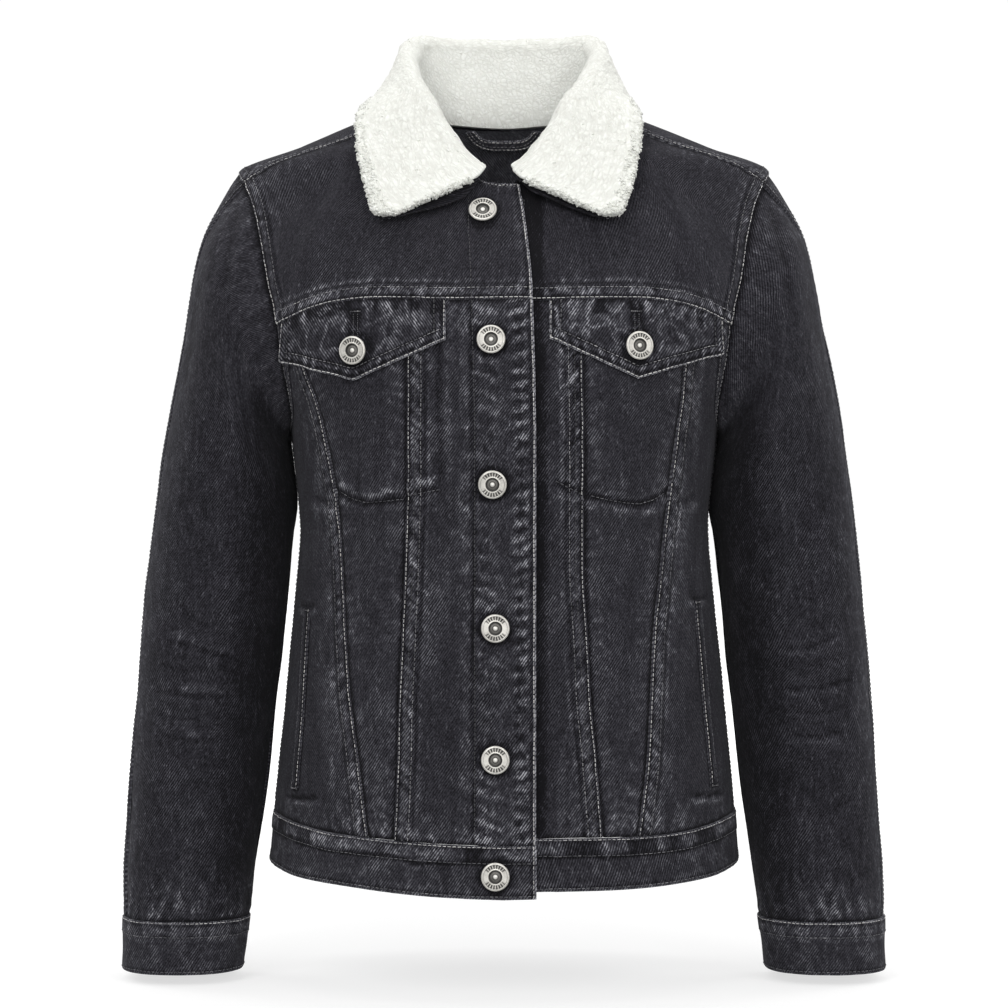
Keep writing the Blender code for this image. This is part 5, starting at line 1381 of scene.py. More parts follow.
for side in "RL":
    flip = -1.0 if side == "R" else 1.0
    up, low, top = front_lines(side)
    k = {"R": 0, "L": 40}[side]
    s = sgn(side)

    # centre front panel: free front edge, its inner seam edge lies on the pocket panel
    c = body_cloth(f"panel_centre_{side}", coons(low[0], top[0], up[0], up[1]), side, seed=1 + k, flip=flip)
    sway(c, 0.0007, k + 1)
    c.free("l", rope=0.00035, period=0.013, wear=1.10 if side == "R" else 0.5)
    c.over("r", band=0.0120, wear=0.68, edge=0.55, slant=0.9)
    c.under("t", dark=0.8)
    c.under("b", dark=0.8, rope=0.00045, period=0.010, reach=0.014)
    # the buttonstand: a doubled strip whose inner row pulls small scallops
    d = c.dl
    r = ripple(c.db, 0.0175, k + 3)
    stand = 0.0440 if side == "R" else 0.0350
    c.h += 0.00045 * (1 - smooth(stand - 0.001, stand + 0.002, d)) + 0.0004 * r * bell(d, stand - 0.006, 0.010)
    hit = smooth(-0.15, 0.75, r + 0.55 * noise2(d / 0.007, c.db / 0.0045, k + 6))
    hit2 = smooth(-0.10, 0.80, ripple(c.db + 0.3 * d, 0.0160, k + 9) + 0.60 * noise2(d / 0.007, c.db / 0.0045, k + 7))
    c.dark += 0.20 * (1 - hit) * window(d, stand - 0.0130, stand - 0.0012, 0.0022) + 0.18 * (1 - hit2) * window(d, 0.0045, 0.0150, 0.0030)
    side_on = 0.45 + 0.55 * noise1(c.db / 0.05, k + 15)
    bars = smooth(-0.25, 0.45, np.sin(2 * np.pi * (c.db + 0.20 * d) / 0.0098 + 1.1 * noise1(c.db / 0.03, k + 21)) + 0.45 * noise2(d / 0.005, c.db / 0.0035, k + 7))
    power = 0.62 + 0.34 * noise1(c.db / 0.018, k + 22)
    c.wear += (0.78 if side == "R" else 0.35) * power * window(d, 0.0050, 0.0160, 0.0022) * bars
    c.dark += 0.30 * window(d, 0.0050, 0.0150, 0.0022) * (1 - bars)
    c.wear += 0.13 * window(d, 0.005, stand - 0.001, 0.002) * (0.5 + 0.5 * noise2(d / 0.010, c.db / 0.014, k + 25))
    arcs = smooth(-0.15, 0.65, np.sin(2 * np.pi * (c.db - 0.35 * d) / 0.0116 + 1.3 * noise1(c.db / 0.04, k + 23)) + 0.65 * noise2(d / 0.008, c.db / 0.004, k + 6))
    c.wear += 0.66 * (0.52 + 0.48 * noise1(c.db / 0.028, k + 24)) * window(d, stand - 0.0175, stand - 0.0016, 0.0045) * arcs
    c.wear += 0.26 * window(d, stand + 0.0012, stand + 0.0090, 0.0030) * (0.25 + 0.75 * smooth(-0.3, 0.6, ripple(c.db, 0.0210, k + 5)))
    if side == "L":
        # in the shade beside the lapping edge
        past = c.p[..., 0] - edge_x_at(c.p[..., 2])
        c.dark += 0.95 * (1 - smooth(0.0030, 0.0105, past))
        c.wear *= smooth(0.0020, 0.0110, past)
    c.net += 0.10 * window(d, 0.004, stand + 0.012, 0.004)
    # painted shadow along the doubled strip's inner edge
    c.dark += 0.95 * bell(d, stand, 0.0013)
    c.h -= 0.00035 * bell(d, stand + 0.0003, 0.0012)
    c.wear += 0.20 * np.clip(noise2(c.s / 0.010, c.t / 0.035, k + 8), 0, 1) * window(c.dr, 0.012, 0.050, 0.01)
    c.fade += 0.004
    for pts, depth, width, wear, sd in BAG_CREASES[side][1]:
        c.crease(pts, depth, width, wear, side=sd, ends=0.05)
    if side == "R":
        for name, bx, bz in BUTTONS[1:5]:
            button_shadow(c, bx, bz)
    c.row("l", 0.0015, 1.0 if side == "R" else 0.5, stitch=0.0030, gap=0.0003, radius=0.00036)
    c.row("l", stand - 0.0012, 0.13, stitch=0.0026)
    c.row("r", 0.0013, 0.94)
    c.row("r", 0.0102, 0.56)
    c.row("r", 0.0058, 0.14)
    c.make()
    if side == "R":
        lapping = c.outer[0]

    # pocket panel between the two lengthwise seams
    c = body_cloth(f"panel_pocket_{side}", coons(low[1], top[1], up[1], up[2]), side, seed=2 + k, flip=flip)
    sway(c, 0.0006, k + 2)
    c.under("l", dark=1.0)
    c.under("r", dark=1.0)
    c.under("t")
    c.under("b", rope=0.00045, period=0.010, reach=0.014)
    c.fade += 0.030
    for pts, depth, width, wear, sd in BAG_CREASES[side][0]:
        c.crease(pts, depth, width, wear, side=sd, ends=0.03)
    c.make()

    # side front panel: its outer seam edge lies on the pocket panel, its armhole edge on the sleeve
    c = body_cloth(f"panel_side_{side}", coons(low[2], top[2], up[2], up[3]), side, seed=3 + k, flip=flip)
    sway(c, 0.0007, k + 3)
    arm = smooth(UNDERARM[1] - 0.002, UNDERARM[1] + 0.006, c.z)
    c.over("l", band=0.0105, wear=0.64, edge=0.55, slant=0.7)
    c.wear += 0.26 * window(c.dl, 0.012, 0.028, 0.008) * smooth(-0.1, 0.8, noise2(c.s / 0.008, c.t / 0.030, k + 19))
    c.net += 0.08 * np.exp(-(c.dl / 0.035) ** 2)
    c.fade += 0.015
    c.over("r", band=0.0100, wear=0.40, mask=arm, rope=0.0004)
    c.over("r", band=0.0100, wear=0.35, mask=1 - arm, lift=0.0006)
    c.under("t")
    c.under("b", rope=0.00045, period=0.010, reach=0.014)
    c.wear += 0.10 * np.clip(noise2(c.s / 0.010, c.t / 0.045, k + 18), 0, 1)
    c.row("l", 0.0013, 0.94)
    c.row("l", 0.0092, 0.40)
    sides(c)
    c.crease(((s * 0.1180, -0.2790), (s * 0.1290, -0.2785), (s * 0.1370, -0.2745)), 0.0022, 0.0062, 0.45, side=-s, ends=0.05)
    x0, z0, x1, z1 = (0.1400, -0.3535, 0.1510, -0.4905) if side == "R" else (0.1365, -0.3475, 0.1505, -0.4885)
    c.crease(((s * (x0 + 0.0120), z0 + 0.0005), (s * x0, z0), (s * (x0 - 0.0030), z0 + 0.0020)), 0.0030, 0.0042, 0.80, side=s)
    c.crease(((s * (x1 + 0.0110), z1 - 0.0005), (s * x1, z1 - 0.0010), (s * (x1 - 0.0180), z1 + 0.0010)), 0.0030, 0.0042, 0.85, side=s)
    c.row("r", 0.0012, 0.62)
    c.row("r", 0.0088, 0.40)
    c.make()

    # front yoke: lies on the panels below, goes under the back yoke's edge at the shoulder
    grid = yoke_grid(side, top)
    c = body_cloth(f"yoke_front_{side}", grid, side, seed=4 + k, flip=flip)
    sway(c, 0.0008, k + 4)
    xx = np.abs(c.p[..., 0])
    c.over("b", band=0.0105, wear=0.80, rope=0.00038, edge=0.95, period=0.0078)
    c.over("r", band=0.0098, wear=0.42, rope=0.0003, edge=0.6)
    c.free("l", wear=1.10 if side == "R" else 0.5, rope=0.0003, period=0.013)
    if side == "L":
        # painted shade beside the lapping edge, and no wear there
        past = c.p[..., 0] - edge_x_at(c.p[..., 2])
        c.dark += 0.95 * (1 - smooth(0.0030, 0.0105, past))
        c.wear *= smooth(0.0020, 0.0110, past)
    else:
        button_shadow(c, BUTTONS[0][1], BUTTONS[0][2])
        # frayed along the top of the buttonstand
        c.wear += 0.9 * np.exp(-(c.dt / 0.0016) ** 2) * (1 - smooth(0.020, 0.040, xx)) * (0.5 + 0.5 * noise2(c.s / 0.0022, c.t / 0.002, 77))
        c.soft += 0.0006 * ripple(c.dl, 0.0085, 78) * np.exp(-(c.dt / 0.007) ** 2) * (1 - smooth(0.020, 0.040, xx))
        c.row("t", 0.0014, 0.86, 0.0, 0.22, stitch=0.0017, gap=0.0009, radius=0.00030)
        c.row("t", 0.0030, 0.50, 0.0, 0.20, stitch=0.0014, gap=0.0014, radius=0.00028)
    sh = smooth(0.066, 0.078, xx)
    c.under("t", mask=sh, dark=0.9)
    c.row("b", 0.0011, 1.05, stitch=0.0029, gap=0.0005, radius=0.00032)
    c.row("b", 0.0084, 0.62)
    c.row("r", 0.0011, 0.90, stitch=0.0028, gap=0.0006)
    c.row("r", 0.0086, 0.44)
    c.row("l", 0.0015, 1.0 if side == "R" else 0.5, stitch=0.0030, gap=0.0003, radius=0.00036)
    c.row("l", stand - 0.0012, 0.13, stitch=0.0026, b=0.75)
    c.make()

# ------------------------------------------------------------------ back of the body
low, top, left, right = back_lines()
c = body_cloth("panel_back", coons(low, top, left, right), seed=11, mid=0.0035, close=(0.048, 0.132))
sway(c, 0.0010, 61, rear=True)
arm = smooth(UNDERARM[1] - 0.002, UNDERARM[1] + 0.006, c.z)
for e in "lr":
    c.over(e, band=0.0100, wear=0.40, mask=arm)
    c.under(e, mask=1 - arm, dark=0.8)
    c.row(e, 0.0018, 0.60)
    c.row(e, 0.0086, 0.26)
c.under("t", dark=1.0)
c.under("b", rope=0.00045, period=0.010, reach=0.014)
# two lengthwise felled seams, slanting in towards the waist as in front
for k, sg in ((0, 1.0), (1, -1.0)):
    line = 0.060 + 0.050 * np.clip((c.p[..., 2] + 0.52) / 0.36, 0, 1)
    d = (sg * c.p[..., 0] - line) / np.clip(np.abs(c.n[..., 1]), 0.5, 1)
    r = ripple(c.t + 0.7 * d, 0.0088, 71 + k)
    c.h += 0.0007 * window(d, 0.0, 0.0115, 0.0010) + 0.0003 * r * window(d, -0.002, 0.016, 0.003)
    c.wear += 0.50 * bell(d, 0.0008, 0.0014) * (0.6 + 0.4 * r) + 0.44 * window(d, 0.003, 0.0110, 0.0015) * (0.45 + 0.45 * r)
    # painted shadow lines along both edges of each felled band
    c.dark += 0.8 * bell(d, -0.0012, 0.0014) + 0.5 * bell(d, 0.0126, 0.0014)
    c.trim.setdefault("felled", []).append((d, sg))
sides(c)
c.make(step=3)
for d, sg in c.trim["felled"]:
    for dist, tint in ((0.0016, 0.85), (0.0100, 0.42)):
        P, N = c.outer, c.out_n
        pts, nrm = [], []
        for j in range(2, P.shape[1] - 2):
            near = np.where((sg * P[:, j, 0] > 0.02) & (np.abs(N[:, j, 1]) > 0.35))[0]
            near = near[np.argsort(d[near, j])]
            row = d[near, j]
            if len(row) > 3 and row[0] < dist < row[-1]:
                pts.append([np.interp(dist, row, P[near, j, q]) for q in range(3)])
                nrm.append([np.interp(dist, row, N[near, j, q]) for q in range(3)])
        if len(pts) > 3:
            stitch_line("back", np.array(pts), unit(np.array(nrm)), tint)

half = back_yoke_grid(top)
other = np.stack([2 * np.pi - half[..., 0], half[..., 1]], -1)
c = body_cloth("yoke_back", np.concatenate([half[::-1], other[1:]], 0), seed=12, mid=0.0034)
sway(c, 0.0009, 62, rear=True)
c.t = c.t[:, :1] + c.db
ph = np.abs(c.phi - np.pi)
neck = 1 - smooth(0.070, 0.082, np.abs(c.p[..., 0]))
c.over("b", band=0.0105, wear=0.55, edge=0.8)
c.over("l", band=0.0098, wear=0.45, rope=0.0003, lift=0.0002)
c.over("r", band=0.0098, wear=0.45, rope=0.0003, lift=0.0002)
c.over("t", band=0.0090, wear=0.75, rope=0.00042, period=0.0075, edge=0.7, mask=1 - neck, lift=0.0011)
c.under("t", mask=neck, dark=0.5)
c.row("b", 0.0018, 0.85)
c.row("b", 0.0088, 0.30)
for e in "lr":
    c.row(e, 0.0018, 0.75)
    c.row(e, 0.0086, 0.26)
n_u = c.p.shape[0]
edge_x = np.abs(c.p[:, -1, 0])
i_sh = int(np.argmax(edge_x < 0.078))
fr = i_sh / (n_u - 1)
for a, b in ((0.0, fr), (1 - fr, 1.0)):
    c.row("t", 0.0011, 0.80, a, b)
    c.row("t", 0.0074, 0.50, a, b)
c.make()


# ------------------------------------------------------------------ waistband
def band_point(phi, share, side):
    z = np.full_like(phi, -0.51)
    for _ in range(6):
        x = body(phi, z)[:, 0]
        if side:
            z0, z1 = waist(WAIST_TOP, side, x), waist(WAIST_LOW, side, x)
        else:
            z0, z1 = np.full_like(x, WAIST_TOP[-1][1]), np.full_like(x, WAIST_LOW[-1][1])
        z = z0 + (z1 - z0) * share
    n = body_normal(phi, z)
    x = body(phi, z)[:, 0]
    rise = 0.0004 + (lap(side, x) * (BAND / CLOTH if side == "L" else 1.3) if side else 0.0)
    return body(phi, z) + n * np.broadcast_to(rise, phi.shape)[:, None], n


def band_columns():
    parts = []
    for side in "RL":
        up, low, top = front_lines(side)
        f = np.vstack([low[0], low[1][1:], low[2][1:]])[:, 0]
        parts.append(f)
    front_r, front_l = parts
    fr = np.interp(np.linspace(0, 1, 150), np.linspace(0, 1, len(front_r)), front_r)
    fl = np.interp(np.linspace(0, 1, 150), np.linspace(0, 1, len(front_l)), front_l)[::-1] - 2 * np.pi
    back = np.linspace(-np.pi / 2, -3 * np.pi / 2, 230)[1:-1]
    return fr, back, fl


fr, back, fl = band_columns()
shares = spread(0.039, 0.0010, 0.0018, 0.006)
cols, nrms = [], []
for sh in shares:
    a = [band_point(fr, sh, "R"), band_point(back, sh, None), band_point(fl, sh, "L")]
    cols.append(np.vstack([q[0] for q in a]))
    nrms.append(np.vstack([q[1] for q in a]))
base, nn = np.stack(cols, 1), np.stack(nrms, 1)
base = drawn_in(base, "b")
c = Cloth("waistband", base, nn, BAND, seed=21)
c.s, c.t = -c.dl, -c.db
c.over("b", band=0.0118, lift=0.0007, wear=0.08, rope=0.0005, period=0.0150, edge=0.75, slant=0.05, dark=0.35)
gaps = smooth(-0.45, -0.05, noise1(c.dl / 0.016, 411) + 0.5 * noise1(c.dl / 0.006 + 7, 412))
tall = 0.0100 + 0.0022 * noise1(c.dl / 0.012, 413)
front_end = (c.n[..., 1] < 0) * smooth(-0.070, -0.030, c.p[..., 0])
c.wear += 0.68 * (1 - 0.30 * front_end) * window(c.db, 0.0022, tall, 0.0012) * (0.25 + 0.75 * gaps) * (0.65 + 0.35 * noise2(c.dl / 0.010, c.db / 0.004, 414))
# darker in the gaps between the worn patches; a painted shadow line just above them
c.dark += 0.55 * (1 - gaps) * window(c.db, 0.0018, tall + 0.002, 0.0012) + 0.8 * bell(c.db, tall + 0.0024, 0.0011)
c.soft += 0.0007 * (gaps - 0.5) * window(c.db, 0.002, 0.012, 0.003)
c.free("t", wear=0.55, rope=0.0003, band=0.006)
c.free("l", wear=0.8)
c.free("r", wear=0.6)
r = ripple(c.dl, 0.0125, 400)
c.h += 0.0003 * r * bell(c.db, 0.012, 0.010) + 0.0003 * ripple(c.dl + 0.4 * c.db, 0.031, 401) * bell(c.db, 0.022, 0.014)
c.wear += 0.10 * smooth(0.0, 0.8, noise2(c.dl / 0.020, c.db / 0.006, 402)) * window(c.db, 0.014, 0.034, 0.003)
c.fade += 0.050 - 0.030 * front_end
c.net += 0.10
sides(c)
button_shadow(c, BUTTONS[5][1], BUTTONS[5][2])
c.row("b", 0.0011, 0.86, stitch=0.0028)
c.row("b", 0.0122, 0.36, stitch=0.0028)
c.row("t", 0.0022, 0.42)
c.row("l", 0.0020, 0.85)
c.make(step=2)
c.at(((0.0098, -0.5425), (0.0096, -0.5545)), "front", 0.60, stitch=0.0016, gap=0.0004)
c.at(((0.0102, -0.5422), (0.0185, -0.5426)), "front", 0.66, stitch=0.0016, gap=0.0004)


# ------------------------------------------------------------------ sleeves
def sized(n_unit=0.0025):
    """Columns of the armhole's four stretches, one about every n_unit metres."""
    def length(q):
        return np.linalg.norm(np.diff(body(q[:, 0], q[:, 1]), axis=0), axis=1).sum()
    a = length(arm_curve(False, ARMHOLE_FRONT[6][1], 0.0, 40))
    b = length(arm_curve(False, None, ARMHOLE_FRONT[6][1], 40))
    d = length(arm_curve(True, None, BACK_YOKE_Z, 40))
    e = length(arm_curve(True, BACK_YOKE_Z, 0.0, 40))
    return [max(3, int(round(x / n_unit))) for x in (a, b, d, e)]


ROWS_YOKE, ROWS_ARM, ROWS_ARM_BACK, ROWS_BACK_YOKE = sized(0.0026)
hole, n_front = armhole()
levels = spread(0.56, 0.0012, 0.0030, 0.014)
sleeve = sleeve_points(hole, n_front, levels)
normal = grid_normals(sleeve)
if (normal[:, 60] * (sleeve[:, 60] - sleeve[:, 60].mean(0))).sum() < 0:
    normal = -normal
sleeve = sleeve_folds(sleeve, normal)
rim = body_normal(hole[:, 0], hole[:, 1])
seam = unit(np.roll(sleeve[:, 0], -1, 0) - np.roll(sleeve[:, 0], 1, 0))
away = sleeve[:, 0].mean(0) - sleeve[:, 0]
away = unit(away - (away * rim).sum(-1, keepdims=True) * rim)
away = unit(away - (away * seam).sum(-1, keepdims=True) * seam)
step = sleeve[:, 6] - sleeve[:, 0]
turn = np.clip(np.arctan2((step * rim).sum(-1), (step * away).sum(-1)), 0, np.pi)[:, None] / 2
bisect = np.cos(turn) * rim - np.sin(turn) * away
mix = smooth(0.0, 0.035, levels)[None, :, None]
normal = unit(bisect[:, None] * (1 - mix) + normal * mix)
# the first few millimetres turn in under the body's edge
sleeve = sleeve - normal * (0.0009 * np.exp(-(levels / 0.010) ** 2))[None, :, None]
tuck = 0.0020 * np.exp(-(levels / 0.0016) ** 2)
sleeve = sleeve - away[:, None] * tuck[None, :, None]
n_cols = len(sleeve)
ring_len = np.linalg.norm(np.roll(sleeve, -1, 0) - sleeve, axis=2)

for side in "LR":
    k = {"R": 0, "L": 40}[side]
    s = sgn(side)
    P = sleeve if side == "L" else mirrored(sleeve)
    N = normal if side == "L" else mirrored(normal)
    around = np.vstack([np.zeros((1, P.shape[1])), np.cumsum(ring_len, 0)])
    for kind, a, b in (("front", 0, n_front), ("back", n_front, n_cols)):
        idx = [i % n_cols for i in range(a, b + 1)]
        base = P[idx].copy()
        base = drawn_in(base, "lr", 1.2 * STAND_OFF)
        c = Cloth(f"sleeve_{kind}_{side}", base, N[idx], CLOTH, seed=(5 if kind == "front" else 6) + k)
        c.db = np.maximum(c.db - tuck[0], 0.0)
        c.s = -s * around[a:b + 1]
        c.t = c.dt
        if kind == "back":
            # the weave follows the sleeve's length, not the slant of the armhole
            half = P.shape[1] // 2
            circ = around[-1]
            share = np.linspace(0, 1, P.shape[1])
            wide = np.interp(share, (0, 0.25, 0.5, 1), (1.04 * circ[P.shape[1] // 4], circ[P.shape[1] // 4], circ[half], circ[-1])) / circ[half]
            c.s = -s * (around[a:b + 1, half] - around[(a + b) // 2, half])[:, None] * wide[None]
        c.lv = np.broadcast_to(levels[None], c.s.shape)
        sway(c, 0.0012, k + (31 if kind == "front" else 33), 0.055, 0.075)
        c.under("b", dark=1.0, rope=0.0004, period=0.011, reach=0.012, wear=0.10)
        # painted shade on the sleeve just below the body's edge at the armhole
        c.dark += 0.45 * np.exp(-(c.db / 0.0045) ** 2)
        c.under("t", dark=0.8, rope=0.0006, period=0.011, reach=0.020, wear=0.35)
        c.kind = kind
        MADE["plan_" + c.name] = c


def sleeve_pair(side):
    return MADE["plan_sleeve_front_" + side], MADE["plan_sleeve_back_" + side]


for side in "LR":
    k = {"R": 0, "L": 40}[side]
    s = sgn(side)
    f, b = sleeve_pair(side)
    b.over("l", band=0.0100, wear=0.12, lift=0.0003, edge=0.2, rope=0.0001)     # under-arm seam
    f.under("r", dark=0.7)
    b.over("r", band=0.0100, wear=0.25, lift=0.0004, edge=0.35, rope=0.00015)     # outer seam
    f.under("l", dark=0.8)
    b.row("r", 0.0030, 0.50, group="sleeves")
    b.row("r", 0.0088, 0.26, group="sleeves")
    for c in (f, b):
        rear = c.kind == "back"
        # creases across the elbow and drag lines, in metres on this side's sleeve
        for pts, depth, width, wear, sd in SLEEVE_CREASES[(side, c.kind)]:
            high = pts[0][1] > -0.30
            c.crease(pts, depth * (0.9 if high else 0.75), width * (1.1 if high else 0.85), wear * (0.55 if high else 0.80), side=sd, rear=rear)
        # puckers rising from the cuff seam
        r = ripple(c.dl + 0.15 * c.dt * np.sin(c.dl * 60), 0.0210, k + 90 + rear)
        c.soft += 0.0009 * r * np.exp(-(c.dt / 0.024) ** 2) * smooth(0.0, 0.006, c.dt)
        c.wear += 0.20 * np.clip(r + 0.5 * noise2(c.s / 0.006, c.t / 0.006, k + 97), 0, 1) * np.exp(-(c.dt / 0.022) ** 2)
        c.net += 0.05
        inward = np.interp(-c.p[..., 2], -SIDES[:, 0], SIDES[:, 3], 0.0, 0.0)
        c.soft += inward * smooth(0.30, 0.85, -s * c.n[..., 0])
        # painted light down the outside, painted shade towards the inner side by the body
        out = s * c.n[..., 0]
        c.fade += 0.045 * smooth(0.55, 1.0, out) - 0.150 * smooth(0.0, 0.70, -out) - 0.012
        c.make()

# ------------------------------------------------------------------ cuffs
rows_c = np.array(CUFF)
t_c = np.linspace(0, 1, 141)[:-1]
v_c = spread(0.0388, 0.0010, 0.0018, 0.006)
for side in "LR":
    k = {"R": 0, "L": 40}[side]
    s = sgn(side)
    p = np.stack([sleeve_ring(rows_c[0] + (rows_c[1] - rows_c[0]) * v, t_c) for v in v_c], 1)
    n = grid_normals(p)
    if (n[:, 5] * (p[:, 5] - p[:, 5].mean(0))).sum() < 0:
        n = -n
    if side == "R":
        p, n = mirrored(p), mirrored(n)
    c = Cloth(f"cuff_{side}", p, n, BAND, seed=7 + k, closed=True)
    wrap = c.dl[-1:] * len(t_c) / (len(t_c) - 1.0)
    a = 2 * np.pi * t_c[:, None]
    c.s, c.t = -s * c.dl, -c.db
    # signals that meet where the ring closes
    r = 0.6 * np.sin(19 * a + 2.2 * np.sin(3 * a + k)) + 0.4 * np.sin(31 * a + 1.7 * np.sin(2 * a) + k)
    r2 = 0.6 * np.sin(8 * a + 1.9 * np.sin(2 * a + k) + 5 * c.db / 0.04) + 0.4 * np.sin(13 * a + k)
    d = c.db
    c.h += 0.0005 * (1 - smooth(0.0105, 0.0135, d)) - 0.0006 * np.exp(-d / 0.0006)
    c.h += 0.00045 * r * np.exp(-(d / 0.013) ** 2) + 0.0006 * r2 * bell(d, 0.024, 0.016)
    c.wear += 0.75 * np.exp(-d / 0.0012) * (0.6 + 0.4 * r) + 0.50 * window(d, 0.003, 0.0115, 0.001) * (0.5 + 0.4 * r)
    c.wear += 0.36 * bell(d, 0.0130, 0.0016) * (0.6 + 0.4 * r)
    c.wear += 0.20 * np.clip(r2, 0, 1) * window(d, 0.015, 0.034, 0.003)
    # painted shade in the grooves along the stitch rows
    c.dark += 0.5 * bell(d, 0.0030, 0.0009) + 0.35 * bell(d, 0.0105, 0.0009)
    e = c.dt
    c.h -= 0.0007 * np.exp(-e / 0.0006)
    c.wear += 0.60 * np.exp(-e / 0.0013) * (0.6 + 0.4 * r)
    c.dark += 0.4 * bell(e, 0.0030, 0.0009)
    # painted light on the outer side, painted shade on the inner side
    out = s * c.n[..., 0]
    c.fade += 0.02 + 0.030 * smooth(0.45, 1.0, out) - 0.045 * smooth(0.1, 0.9, -out)
    c.net += 0.14
    c.row("b", 0.0011, 0.92, group="sleeves", stitch=0.0028, gap=0.0005)
    c.row("b", 0.0112, 0.34, group="sleeves")
    c.row("t", 0.0024, 0.36, group="sleeves")
    c.make(step=2)

# ------------------------------------------------------------------ chest flaps
for side, ox, oz, tx, tz, ix, iz in FLAPS:
    k = {"R": 0, "L": 40}[side]
    s = sgn(side)
    us = np.concatenate([0.5 * spread(0.057, 0.0010, 0.0021, 0.011, True, False),
                         0.5 + 0.5 * spread(0.067, 0.0010, 0.0021, 0.011, False, True)[1:]])
    xs = np.interp(us, (0, 0.5, 1), (ox, tx, ix))
    zs = np.interp(us, (0, 0.5, 1), (oz, tz, iz))
    # the outline: outer corner, point and inner corner, with the top just under the yoke seam
    top_z = yoke_z(xs) - 0.0003
    v = spread(0.050, 0.0010, 0.0021, 0.011)
    x = np.repeat(xs[:, None], len(v), 1)
    z = zs[:, None] + (top_z - zs)[:, None] * v[None]
    phi = angle(s * x, z)
    p, nn = body(phi, z), body_normal(phi, z)
    lift = LAY + 0.0008 * (1 - v)[None, :] + lap(side, p[..., 0])
    c = Cloth(f"flap_{side}", p + nn * (lift + 0.0020)[..., None], nn, 0.0019, seed=8 + k)
    c.s = (1.0 if side == "L" else -1.0) * -c.dl
    c.t = c.z = z
    fs, ft = s * x, z
    # the lower edge is a slope: distance square to it
    drop = np.where(x > tx, (oz - tz) / (ox - tx), (tz - iz) / (tx - ix))
    c.db = c.db / np.hypot(1.0, np.abs(drop)) if False else c.db * (1 / np.hypot(1.0, drop))
    c.s, c.t = x.copy(), ft.copy()
    c.free("b", wear=0.9, rope=0.00030, period=0.0095, band=0.0085)
    c.free("l", wear=0.8, rope=0.00025, period=0.0100)
    c.free("r", wear=0.8, rope=0.00025, period=0.0100)
    c.under("t", dark=0.8, rope=0.0006, period=0.0100, reach=0.014, wear=0.38)
    d = np.minimum(np.minimum(c.db, c.dl), c.dr)
    c.wear += 0.62 * window(d, 0.0026, 0.0075) * smooth(-0.4, 0.7, ripple(c.dl, 0.0085, k + 55) + 0.5 * noise2(c.dl / 0.004, d / 0.004, k + 65))
    # painted shade in the grooves by both stitch rows
    c.dark += 0.75 * bell(d, 0.0030, 0.0012) + 0.85 * bell(d, 0.0084, 0.0014)
    c.wear += 0.36 * bell(d, 0.0098, 0.0016) * (0.6 + 0.4 * ripple(c.dl, 0.011, k + 56))
    pl = noise2(fs / 0.013 + 3, ft / 0.011, k + 57)
    c.wear += 0.22 * smooth(0.0, 0.7, pl) * smooth(0.009, 0.014, d)
    c.soft += 0.0009 * noise2(fs / 0.022, ft / 0.05, k + 58) * smooth(0.0, 0.02, c.dt)
    c.soft += 0.0010 * ripple(c.dl, 0.026, k + 59) * np.exp(-(c.db / 0.020) ** 2)
    upper = smooth(0.004, 0.012, c.dt) * (1 - smooth(0.016, 0.026, c.dt))
    c.net += (0.42 - 0.16 * upper) * smooth(0.008, 0.014, d)
    c.wear *= 1 - 0.22 * upper
    # the seam allowance presses dark bays with pale rims below the yoke
    bay = noise1(c.dl / 0.0072, k + 71)
    bay = bay + 0.25 * noise2(c.dl / 0.006, c.dt / 0.006, k + 72)
    hang = window(c.dt, 0.0012, 0.0098 + 0.0030 * noise1(c.dl / 0.011, k + 73), 0.0016)
    c.wear += 0.26 * np.exp(-((bay - 0.02) / 0.10) ** 2) * window(c.dt, 0.0, 0.0125, 0.003)
    bay = smooth(0.06, 0.30, bay) * hang
    c.dark += 0.70 * bay
    c.wear *= 1 - 0.75 * bay
    c.h -= 0.0003 * bay
    if side == "R":
        c.wear += 0.34 * np.exp(-((x + 0.1470) / 0.0085) ** 2 - ((z + 0.1630) / 0.0065) ** 2)
    bx = -0.1040 if side == "R" else 0.0930
    # painted shade in the buttonhole's slot above the button
    slot = np.exp(-((s * x - bx) / 0.0046) ** 4) * window(z, -0.1660, -0.1440, 0.0022)
    c.dark += 0.80 * slot
    c.wear *= 1 - 0.9 * slot
    c.h -= 0.0004 * slot
    bz = [b[2] for b in FLAP_BUTTONS if b[0][-1] == side][0]
    button_shadow(c, bx, bz)
    c.row("b", 0.0012, 1.0, stitch=0.0030, gap=0.0005, radius=0.00034)
    c.row("l", 0.0012, 0.90, b=0.97)
    c.row("r", 0.0012, 0.90, b=0.97)
    c.row("b", 0.0082, 0.56, a=0.06, b=0.94)
    c.row("l", 0.0082, 0.34, a=0.16)
    c.row("r", 0.0082, 0.34, a=0.16)
    c.make(step=2)
    # buttonhole: two close rows of short stitches with a bar across the top
    for off in (-0.0015, 0.0015):
        c.at(((bx + off, -0.1630), (bx + off, -0.1465)), "front", 0.26, stitch=0.0011, gap=0.0003, radius=0.00030)
    c.at(((bx - 0.0042, -0.1450), (bx + 0.0036, -0.1450)), "front", 0.52, stitch=0.0012, gap=0.0001, radius=0.00036)

